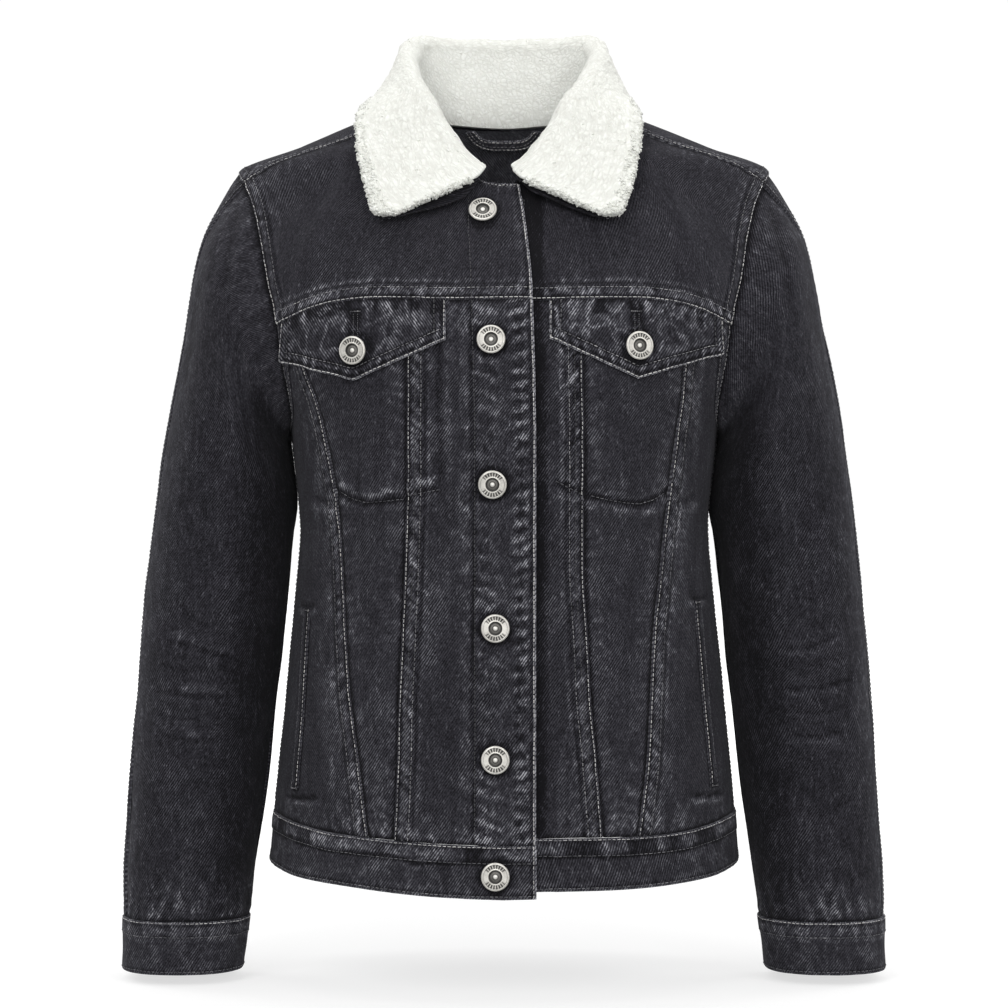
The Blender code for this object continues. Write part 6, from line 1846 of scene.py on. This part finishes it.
# ------------------------------------------------------------------ pocket welts
for side, x0, z0, x1, z1 in WELTS:
    k = {"R": 0, "L": 40}[side]
    s = sgn(side)
    v = spread(0.125, 0.0010, 0.0021, 0.010)
    z0, x0 = z0 + 0.0065, x0 - 0.0006
    z = z0 + (z1 - z0) * v
    x = x0 - 0.0008 + (x1 - x0) * v
    a = angle(s * x, z)
    e = body(a, z)
    width = WELT_W / np.hypot(e[:, 0], e[:, 1])
    w = np.linspace(0, 1, 10)
    phi = a[None] + s * width[None] * w[:, None]
    zz = np.repeat(z[None], len(w), 0)
    p, nn = body(phi, zz), body_normal(phi, zz)
    c = Cloth(f"welt_{side}", p + nn * (LAY + 0.0016), nn, 0.0016, seed=9 + k)
    c.s, c.t = s * c.dl, -c.db
    r = ripple(c.db, 0.009, k + 66)
    c.h += 0.0002 * r
    for d in (c.dl, c.dr, c.db, c.dt):
        c.h -= 0.0005 * np.exp(-d / 0.0005)
        c.wear += 0.14 * np.exp(-d / 0.0010) * (0.6 + 0.4 * r)
    c.wear += 0.30 * np.exp(-c.dr / 0.0014) * (0.6 + 0.4 * r)
    c.wear += 0.16 * (0.5 + 0.5 * r) * window(c.dl, 0.003, 0.008, 0.002)
    # painted shade along the inner stitch row and at both ends of the welt
    c.dark += 0.8 * bell(c.dl, 0.0026, 0.0012) + 0.8 * np.exp(-(c.db / 0.003) ** 2) + 0.9 * np.exp(-(c.dt / 0.004) ** 2)
    sides(c)
    c.row("l", 0.0012, 0.80, stitch=0.0024, radius=0.00026)
    c.row("r", 0.0016, 0.30, stitch=0.0026)
    c.row("b", 0.0014, 0.5, stitch=0.0014, gap=0.0004)
    c.row("t", 0.0014, 0.5, stitch=0.0014, gap=0.0004)
    c.make(step=2)

# ------------------------------------------------------------------ hanger loop
t = np.linspace(-1, 1, 61)
x = 0.0268 * t
z = -0.0010 + 0.0110 * np.abs(t) ** 4.2
slope = np.gradient(z, x)
side_way = np.stack([-slope, np.ones_like(slope)], -1) / np.hypot(slope, 1)[:, None]
ww = np.linspace(-0.0035, 0.0035, 8)
xs = x[:, None] + side_way[:, :1] * ww[None]
zs = np.minimum(z[:, None] + side_way[:, 1:] * ww[None], 0.0092)
phi = angle(np.where(np.abs(xs) < 1e-9, 1e-9, xs), zs, True)
p, nn = body(phi, zs), body_normal(phi, zs)
c = Cloth("hanger_loop", p - nn * (CLOTH + 5.5 * LAY + 0.0016), -nn, 0.0016, seed=13)
for d in (c.db, c.dt):
    c.h -= 0.0004 * np.exp(-d / 0.0005)
    c.wear += 0.55 * np.exp(-d / 0.0009)
c.wear += 0.22 * (0.5 + 0.5 * ripple(c.dl, 0.006, 8))
c.fade += 0.10
c.row("b", 0.0012, 1.0, group="back", stitch=0.0024)
c.row("t", 0.0012, 1.0, group="back", stitch=0.0024)
c.row("b", 0.0036, 0.62, group="back", stitch=0.0022)
c.make(step=2)

# ------------------------------------------------------------------ collar
mid, nrm = collar_grids()
gap = 0.00016
d = np.linalg.norm(np.diff(mid, axis=0), axis=2).sum(0).max()
l = np.linalg.norm(np.diff(mid, axis=1), axis=2).sum(1).max()
us = spread(d, 0.0010, 0.00125, 0.006)
vs = spread(l, 0.0010, 0.00112, 0.006)
m_f, n_f = picked(mid, us, vs), unit(picked(nrm, us, vs))
c = Cloth("collar_top", m_f + n_f * (gap + PILE), n_f, PILE, seed=14)


LEAF_Z = (-0.002, 0.006, 0.0106, 0.015, 0.0195, 0.024, 0.028, 0.033, 0.046, 0.060, 0.068)
LEAF_IN = (0.0, 0.0015, 0.0042, 0.0066, 0.0068, 0.0052, 0.0043, 0.0036, 0.0026, 0.0022, 0.0)


def leaf_drop(c, past=0.0):
    """Lowers the leaves' front ends along the chest; the under collar's run a little further."""
    de = np.minimum(c.dl, c.dr)
    held = smooth(0.0, 0.016, c.db)
    x = c.p[..., 0]
    more = np.where(x < 0, 0.0016 + 0.0060 * smooth(-0.080, -0.032, x), 0.0030)
    tip = 1 - np.exp(-(c.dt / 0.020) ** 2)
    drop = 0.0058 * np.exp(-(de / 0.024) ** 2) * held + past * more * np.exp(-(de / 0.012) ** 2) * held * tip
    c.p = c.p + np.stack([0 * drop, -0.62 * drop, -drop], -1)
    # over the shoulders the leaf's edge lies closer to the neck
    z = c.p[..., 2]
    near = np.interp(z, LEAF_Z, LEAF_IN, 0.0, 0.0) * smooth(0.052, 0.086, np.abs(x))
    c.p = c.p + np.stack([-np.sign(x) * near, 0 * near, 0.34 * near], -1)
    # the leaf's lower corners are round
    reach = 0.0125 + 0.0020 * past
    tu, tv = unit(np.gradient(c.p, axis=0)), unit(np.gradient(c.p, axis=1))
    a, b = np.clip(1 - de / reach, 0, 1), np.clip(1 - c.dt / reach, 0, 1)
    du = reach * (a - a * np.sqrt(1 - b * b / 2))
    dv = reach * (b - b * np.sqrt(1 - a * a / 2))
    c.p = c.p + tu * (np.where(c.dl < c.dr, 1.0, -1.0) * du)[..., None] - tv * dv[..., None]


leaf_drop(c)
# the pile hangs over its own edge, so the edge's wall faces away
tu, tv = unit(np.gradient(c.p, axis=0)), unit(np.gradient(c.p, axis=1))
over_t, over_l, over_r = (np.exp(-(q / 0.0045) ** 2)[..., None] for q in (c.dt, c.dl, c.dr))
c.n = unit(c.n + 0.62 * (tv * over_t - tu * over_l + tu * over_r))
c.p = c.p + 0.0022 * tv * over_t + 0.0010 * tu * (over_r - over_l)
c.s, c.t = c.dl - c.dl[-1:] / 2, c.dt


def nubs(x, y, size, seed, rise=1.0):
    """Rounded nubs of pile: 1 at a nub's crown, 0 in the valleys."""
    rs = np.random.RandomState(seed)
    jx, jy, jr = rs.rand(512, 512), rs.rand(512, 512), rs.rand(512, 512)
    gx, gy = x / size, y / (size * 1.15)
    i0, j0 = np.floor(gx).astype(int), np.floor(gy).astype(int)
    best = np.full(x.shape, 9.0)
    tall = np.zeros(x.shape)
    for di in (-1, 0, 1):
        for dj in (-1, 0, 1):
            i, j = i0 + di, j0 + dj
            cx = i + 0.15 + 0.7 * jx[i % 512, j % 512]
            cy = j + 0.15 + 0.7 * jy[i % 512, j % 512]
            dd = np.hypot(gx - cx, gy - cy)
            near = dd < best
            best = np.where(near, dd, best)
            tall = np.where(near, jr[i % 512, j % 512], tall)
    return np.clip(1 - best ** 2 * 1.35, 0, 1) * (0.55 + 0.45 * tall * rise)


X = c.s + 0.0026 * noise2(c.s / 0.011, c.t / 0.009, 91)
Y = c.t + 0.0022 * noise2(c.s / 0.009, c.t / 0.013, 92)
big = nubs(X * 0.62, Y * 1.0, 0.0050, 93)
small = nubs(X * 0.8 + 0.3, Y + 0.2, 0.0034, 94)
clump = 0.5 + 0.5 * noise2(c.s / 0.017, c.t / 0.022, 95)
edge = np.minimum(np.minimum(c.dl, c.dr), c.dt)
stand_end = int(round(COLLAR_SPANS[0] / sum(COLLAR_SPANS) * len(vs)))
calm = np.where(np.arange(len(vs)) < stand_end, 0.60, 1.0)[None, :] * np.ones_like(X)
c.h += (0.0013 * big + 0.00050 * small) * calm + 0.0011 * clump - 0.0014
c.h -= 0.0026 * np.exp(-edge / 0.0011)
c.h -= 0.0020 * np.exp(-c.db / 0.0030)
# painted light and shade on the pile: nub crowns lighter than the valleys; the stand and the edges painted lighter
level = 0.34 + 0.42 * big + 0.20 * small
c.wear += level * calm + 0.52 * (1 - calm) / 0.4 + 0.30 * np.exp(-edge / 0.0070)
# on the pile this channel is the stand's share, which picks its evener nub pattern
c.fade += smooth(0.0, 1.0, (1 - calm) / 0.4)
# painted shade along the neck seam
c.dark += 0.3 * np.exp(-c.db / 0.003)
# at the back neck the pile hangs a little over the seam
c.p = c.p - np.array([0, 0, 0.0034]) * (np.exp(-(c.db / 0.0045) ** 2) * smooth(-0.01, 0.03, c.p[..., 1]))[..., None]
# and at its front ends it stops a little above it
c.p = c.p + np.array([0, 0, 0.0040]) * (np.exp(-(c.db / 0.0047) ** 2) * np.exp(-(np.minimum(c.dl, c.dr) / 0.013) ** 2))[..., None]
c.make(mat=PILE_MAT, slot="sherpa", step=3)
COLLAR_TOP = c

us2 = spread(d, 0.0013, 0.0028, 0.006)
vs2 = spread(l, 0.0013, 0.0026, 0.006)
m_f, n_f = picked(mid, us2, vs2), unit(picked(nrm, us2, vs2))
c = Cloth("collar_under", m_f - n_f * (gap + UNDER), -n_f, UNDER, seed=15)
leaf_drop(c, 1.0)
# at the back neck it covers the seam
seam = np.exp(-(c.db / 0.0060) ** 2) * smooth(-0.02, 0.02, c.p[..., 1])
c.p = c.p - np.array([0, 0, 0.0044]) * seam[..., None] + c.n * (0.0012 * seam)[..., None]
# at the front it reaches down to the yokes' neck edge
seam = np.exp(-(c.db / 0.0060) ** 2) * smooth(0.020, -0.020, c.p[..., 1])
c.p = c.p - np.array([0, 0, 0.0046]) * seam[..., None] + c.n * (0.0003 * seam)[..., None]
c.free("t", wear=0.45, rope=0.0002, period=0.009)
c.free("l", wear=0.35)
c.free("r", wear=0.35)
# painted shade: darker in front, where it lies under the leaf
c.fade -= 0.04 + 0.27 * smooth(0.0, 0.05, -c.p[..., 1])
c.net *= 0.0
c.wear *= 0.25
# the denim runs a little past the pile at the leaf's edge
c.row("t", 0.0030, 0.45, group="back")
c.row("l", 0.0030, 0.40, group="back")
c.row("r", 0.0030, 0.40, group="back")
c.make()


# Curled tufts of the pile
def tufts():
    c = COLLAR_TOP
    P, N = c.outer, c.n
    rs = np.random.RandomState(5)
    nu, nv = P.shape[:2]
    us = np.gradient(P, axis=0)
    vs = np.gradient(P, axis=1)
    want = []
    # over the leaf and the stand, and more along the leaf's edges
    for count, kind in ((300, "all"), (2200, "edge"), (640, "ends")):
        i = rs.randint(1, nu - 1, count)
        j = rs.randint(2, nv - 1, count)
        if kind == "edge":
            j = nv - 1 - (rs.rand(count) ** 1.6 * 9).astype(int)
        if kind == "ends":
            w = (rs.rand(count) ** 1.5 * 8).astype(int)
            i = np.where(rs.rand(count) < 0.5, w, nu - 1 - w)
            j = rs.randint(int(nv * 0.45), nv - 1, count)
        want.append((i, j, np.full(count, kind == "all")))
    i = np.concatenate([w[0] for w in want])
    j = np.concatenate([w[1] for w in want])
    inner = np.concatenate([w[2] for w in want])
    base, n = P[i, j], unit(N[i, j])
    tu = unit(us[i, j])
    tv = unit(vs[i, j] - (vs[i, j] * tu).sum(-1, keepdims=True) * tu)
    k = len(i)
    # an outward lean near the edges
    lean = np.where(inner, 0.25, 0.95)[:, None]
    de = np.where((nv - 1 - j) < 12, 1.0, 0.0)[:, None]
    dl = np.where(i < 12, -1.0, np.where(i > nu - 13, 1.0, 0.0))[:, None]
    out = unit(tv * de + tu * dl + 1e-6 * n)
    ang = rs.rand(k) * 2 * np.pi
    side = tu * np.cos(ang)[:, None] + tv * np.sin(ang)[:, None]
    axis = unit(n * (1.0 - 0.55 * lean) + out * lean * ((de + np.abs(dl)) > 0) + 0.45 * side)
    curl = unit(np.cross(axis, side))
    curl2 = np.cross(axis, curl)
    length = (0.0011 + 0.0011 * rs.rand(k)) * np.where(inner, 0.6, 1.40)
    rad = (0.00062 + 0.00046 * rs.rand(k))
    turn0 = rs.rand(k) * 2 * np.pi
    secs, levels = [], []
    n_sec = 5
    for q in range(n_sec):
        w = q / (n_sec - 1)
        a = turn0 + w * 4.2
        cr = 0.0006 * np.sin(np.pi * min(w * 1.15, 1))
        cen = (base - n * 0.0006 + axis * (length * np.sin(w * 1.9) / np.sin(1.9) if False else length * w)[:, None]
               + (curl * np.cos(a)[:, None] + curl2 * np.sin(a)[:, None]) * cr)
        rr = rad * (1.0, 1.2, 1.25, 1.05, 0.5)[q]
        for ca, sa in ((1, 0), (-0.5, 0.87), (-0.5, -0.87)):
            secs.append(cen + (curl * ca + curl2 * sa) * rr[:, None])
            levels.append(np.full(k, 0.90 + 0.10 * w))
    v = np.stack(secs, 1)
    lev = np.stack(levels, 1)
    faces = []
    for q in range(n_sec - 1):
        for cc in range(3):
            dd = (cc + 1) % 3
            faces.append([q * 3 + cc, q * 3 + dd, q * 3 + 3 + dd, q * 3 + 3 + cc])
    tri = [[2, 1, 0], [3 * n_sec - 3, 3 * n_sec - 2, 3 * n_sec - 1]]
    m = 3 * n_sec
    f4 = (np.array(faces)[None] + m * np.arange(k)[:, None, None]).reshape(-1, 4)
    f3 = (np.array(tri)[None] + m * np.arange(k)[:, None, None]).reshape(-1, 3)
    wr = np.zeros((k, m, 3))
    wr[..., 0] = lev
    cl = np.zeros((k, m, 3))
    cl[..., 0] = c.s[i, j][:, None] + v[..., 0] - base[:, None, 0]
    cl[..., 1] = c.t[i, j][:, None] + v[..., 2] - base[:, None, 2]
    cl[..., 2] = 50.0
    ob = mesh_piece("collar_tufts", v.reshape(-1, 3), [f4, f3], PILE_MAT,
                    {"wr": wr.reshape(-1, 3), "cl": cl.reshape(-1, 3)}, sharp=0)
    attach(ob, "root")
    return ob


TUFTS = tufts()


# ------------------------------------------------------------------ buttons
def turned(name, x, z, out):
    """A cast shank button: domed rim, flat ring with short radial ridges, sunk centre with a stud."""
    phi = angle(x, z)
    n = body_normal(phi, z)
    seat = body(phi, z) + n * out
    side = unit(np.cross(np.array([0, 0, 1.0]), n))
    up = np.cross(n, side)
    # the third column is the tone: painted shade under the seat, in the sunk groove and round the stud; painted
    # highlight on the rim's crown and the stud's top
    prof = [(0.000, 0.000, 0.1), (0.170, 0.000, 0.1), (0.195, 0.030, 0.1), (0.205, 0.060, 0.15), (0.300, 0.058, 0.2),
            (0.430, 0.062, 0.3), (0.475, 0.078, 0.5), (0.497, 0.104, 0.8), (0.500, 0.124, 0.9), (0.492, 0.146, 0.95),
            (0.476, 0.162, 1.0), (0.455, 0.172, 1.0), (0.440, 0.175, 0.98), (0.428, 0.172, 0.75), (0.420, 0.167, 0.62),
            (0.410, 0.166, 0.88), (0.392, 0.166, 0.9), (0.370, 0.165, 0.92), (0.335, 0.164, 0.92), (0.300, 0.163, 0.92),
            (0.282, 0.162, 0.95), (0.270, 0.164, 1.0), (0.258, 0.166, 1.0), (0.246, 0.164, 0.85), (0.236, 0.152, 0.35),
            (0.228, 0.125, 0.14), (0.218, 0.104, 0.08), (0.200, 0.096, 0.10), (0.180, 0.096, 0.26), (0.160, 0.100, 0.42),
            (0.140, 0.108, 0.50), (0.120, 0.114, 0.42), (0.104, 0.118, 0.22), (0.094, 0.118, 0.12), (0.082, 0.128, 0.7),
            (0.062, 0.144, 1.0), (0.032, 0.153, 1.08), (0.000, 0.156, 1.08)]
    segs = 96
    a = 2 * np.pi * np.arange(segs) / segs
    co, lev, rings = [], [], []
    rs = np.random.RandomState(int(abs(z) * 1e4))
    tilt = rs.rand() * 0.3
    for r, h, tone in prof:
        if r == 0:
            rings.append([len(co)])
            co.append(seat + n * h * BUTTON_D)
            lev.append(tone)
            continue
        rings.append(list(range(len(co), len(co) + segs)))
        hh = np.full(segs, h)
        tt = np.full(segs, tone)
        if 0.285 < r < 0.430 and h > 0.15:
            # plain radial ridges along the top and bottom of the ring, their grooves painted dark
            m = np.clip(np.abs(np.sin(a + tilt * 0.2)) * 3.2 - 1.35, 0, 1)
            groove = np.clip((0.5 - 0.5 * np.cos(a * 24)) * 2.4 - 0.8, 0, 1) * float(0.296 < r < 0.425)
            hh = hh - 0.016 * groove * m
            tt = tt - 0.95 * groove * m
        # painted reflection: the ring's tone dips and rises twice round the button
        tt = tt - 0.04 * (1 + np.sin(a * 2 + tilt * 9)) * float(r > 0.24)
        for q in range(segs):
            co.append(seat + n * hh[q] * BUTTON_D + r * BUTTON_D * (side * math.cos(a[q]) + up * math.sin(a[q])))
            lev.append(tt[q])
    quads, tris = [], []
    for ra, rb in zip(rings[:-1], rings[1:]):
        for q in range(segs):
            w = (q + 1) % segs
            if len(ra) == 1:
                tris.append((ra[0], rb[w], rb[q]))
            elif len(rb) == 1:
                tris.append((ra[q], ra[w], rb[0]))
            else:
                quads.append((ra[q], ra[w], rb[w], rb[q]))
    co = np.array(co)
    wr = np.zeros((len(co), 3))
    wr[:, 0] = lev
    ob = mesh_piece(name + "_turned", co, [np.array(quads), np.array(tris)], METAL, {"wr": wr}, sharp=40)
    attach(ob, "root")
    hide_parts(name)


for name, x, z in BUTTONS:
    turned(name, x, z, LAP_OUT + (0.0009 if name == "button_6" else 0.0) + 0.0003)
for name, x, z in FLAP_BUTTONS:
    turned(name, x, z, LAY + 0.0008 + 0.0020 + 0.0003)

# pocket bags show as a row of stitches across the pocket panels
POCKET_ROWS = {
    "R": ((-0.1160, -0.2715), (-0.1080, -0.2762), (-0.0980, -0.2790), (-0.0860, -0.2782), (-0.0700, -0.2766)),
    "L": ((0.0610, -0.2742), (0.0720, -0.2770), (0.0860, -0.2793), (0.0960, -0.2800), (0.1060, -0.2770), (0.1140, -0.2722)),
}
for side in "RL":
    MADE["panel_pocket_" + side].at(POCKET_ROWS[side], "front", 0.36, stitch=0.0026)
MADE["panel_centre_R"].at(((-0.0670, -0.2740), (-0.0450, -0.2700)), "front", 0.30, stitch=0.0026)
MADE["panel_centre_L"].at(((0.0360, -0.2640), (0.0550, -0.2735)), "front", 0.30, stitch=0.0026)

build_stitches()

# ------------------------------------------------------------------ each cut piece's flat size and what it rests on, worked out and not used further
RESTS = {"collar_top": ["yoke_back_cloth"], "collar_under": ["yoke_back_cloth"], "waistband": ["panel_back_cloth"],
         "hanger_loop": ["yoke_back_cloth"]}
for name, c in list(MADE.items()):
    if name.startswith("plan_"):
        continue
    flat, area = c.cut()
    rests = RESTS.get(name)
    if rests is None:
        side = name[-1]
        rests = {"panel_c": ["yoke_front_%s_cloth" % side], "panel_p": ["yoke_front_%s_cloth" % side],
                 "panel_s": ["yoke_front_%s_cloth" % side], "yoke_fr": ["yoke_back_cloth"],
                 "panel_b": ["yoke_back_cloth"], "yoke_ba": ["collar_under_cloth"],
                 "sleeve_": ["yoke_back_cloth"], "cuff_R": ["sleeve_front_R_cloth"], "cuff_L": ["sleeve_front_L_cloth"],
                 "flap_R": ["yoke_front_R_cloth"], "flap_L": ["yoke_front_L_cloth"],
                 "welt_R": ["panel_side_R_cloth"], "welt_L": ["panel_side_L_cloth"]}[name[:7]]

# ------------------------------------------------------------------ floor, backdrop and light
def stage_mesh(name, co, faces):
    me = bpy.data.meshes.new(name)
    me.from_pydata(co, [], faces)
    me.update()
    me.shade_smooth()
    ob = bpy.data.objects.new(name, me)
    bpy.context.scene.collection.objects.link(ob)
    return ob


floor_z = -0.6300
floor = stage_mesh("floor", [(-9, -9, floor_z), (9, -9, floor_z), (9, 9, floor_z), (-9, 9, floor_z)], [(0, 1, 2, 3)])
m = Mat("floor")
dif = m.n("BsdfDiffuse", {"Color": (0.42, 0.42, 0.42, 1)})
far = m.n("VectorMath", {0: m.n("NewGeometry").outputs["Position"]}, operation="LENGTH").outputs["Value"]
glow = m.n("Emission", {"Color": (1, 1, 1, 1), "Strength": m.remap(far, 0.75, 1.7, 0.66, 1.05)})
add = m.n("AddShader", {0: dif.outputs[0], 1: glow.outputs[0]})
m.t.links.new(add.outputs[0], m.out.inputs["Surface"])
floor.data.materials.append(m.m)
floor.visible_diffuse = False
floor.visible_glossy = False

dome_co, dome_faces = [], []
for i in range(17):
    el = math.pi * (i / 16) - math.pi / 2
    for j in range(32):
        az = 2 * math.pi * j / 32
        dome_co.append((12 * math.cos(el) * math.cos(az), 12 * math.cos(el) * math.sin(az), 12 * math.sin(el)))
for i in range(16):
    for j in range(32):
        k = (j + 1) % 32
        dome_faces.append((i * 32 + j, (i + 1) * 32 + j, (i + 1) * 32 + k, i * 32 + k))
dome = stage_mesh("backdrop", dome_co, dome_faces)
m = Mat("backdrop")
glow = m.n("Emission", {"Color": (1, 1, 1, 1), "Strength": 1.02})
m.t.links.new(glow.outputs[0], m.out.inputs["Surface"])
dome.data.materials.append(m.m)
for flag in ("visible_diffuse", "visible_glossy", "visible_transmission", "visible_shadow", "visible_volume_scatter"):
    setattr(dome, flag, False)

world = bpy.data.worlds.new("studio")
bpy.context.scene.world = world
world.use_nodes = True
wt = world.node_tree
wt.nodes.clear()
wo = wt.nodes.new("ShaderNodeOutputWorld")
bg = wt.nodes.new("ShaderNodeBackground")
tc = wt.nodes.new("ShaderNodeTexCoord")
sx = wt.nodes.new("ShaderNodeSeparateXYZ")
mr = wt.nodes.new("ShaderNodeMapRange")
mr.inputs["From Min"].default_value, mr.inputs["From Max"].default_value = -0.7, 0.8
mr.inputs["To Min"].default_value, mr.inputs["To Max"].default_value = 0.42, 0.66
wt.links.new(tc.outputs["Generated"], sx.inputs[0])
wt.links.new(sx.outputs[2], mr.inputs["Value"])
wt.links.new(mr.outputs["Result"], bg.inputs["Strength"])
wt.links.new(bg.outputs[0], wo.inputs[0])


def lamp(name, at, aim, size, power):
    data = bpy.data.lights.new(name, "AREA")
    data.shape = "RECTANGLE"
    data.size, data.size_y = size
    data.energy = power
    ob = bpy.data.objects.new(name, data)
    ob.location = at
    ob.rotation_euler = (Vector(aim) - Vector(at)).to_track_quat("-Z", "Y").to_euler()
    bpy.context.scene.collection.objects.link(ob)
    ob.visible_camera = False
    return ob


lamp("key", (-1.1, -2.1, 1.35), (0, 0, -0.25), (1.1, 1.4), 21)
lamp("fill", (1.4, -1.9, 0.75), (0, 0, -0.30), (1.2, 1.6), 14)
lamp("front", (0.0, -2.7, -0.15), (0, 0, -0.35), (1.8, 1.2), 15)
lamp("rim_left", (-1.9, 0.9, 0.6), (-0.1, 0, -0.25), (0.8, 1.8), 14)
lamp("rim_right", (1.9, 0.9, 0.6), (0.1, 0, -0.25), (0.8, 1.8), 14)
lamp("top", (0, 0.2, 2.1), (0, 0, -0.2), (1.6, 1.4), 14)

view = bpy.context.scene.view_settings
view.view_transform = "Standard"
view.look = "None"

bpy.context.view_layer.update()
tris = {o.name: int(o["tris"]) for o in bpy.context.scene.objects if "tris" in o}
print("TRIS", sum(tris.values()), sorted(tris.items(), key=lambda q: -q[1])[:14])
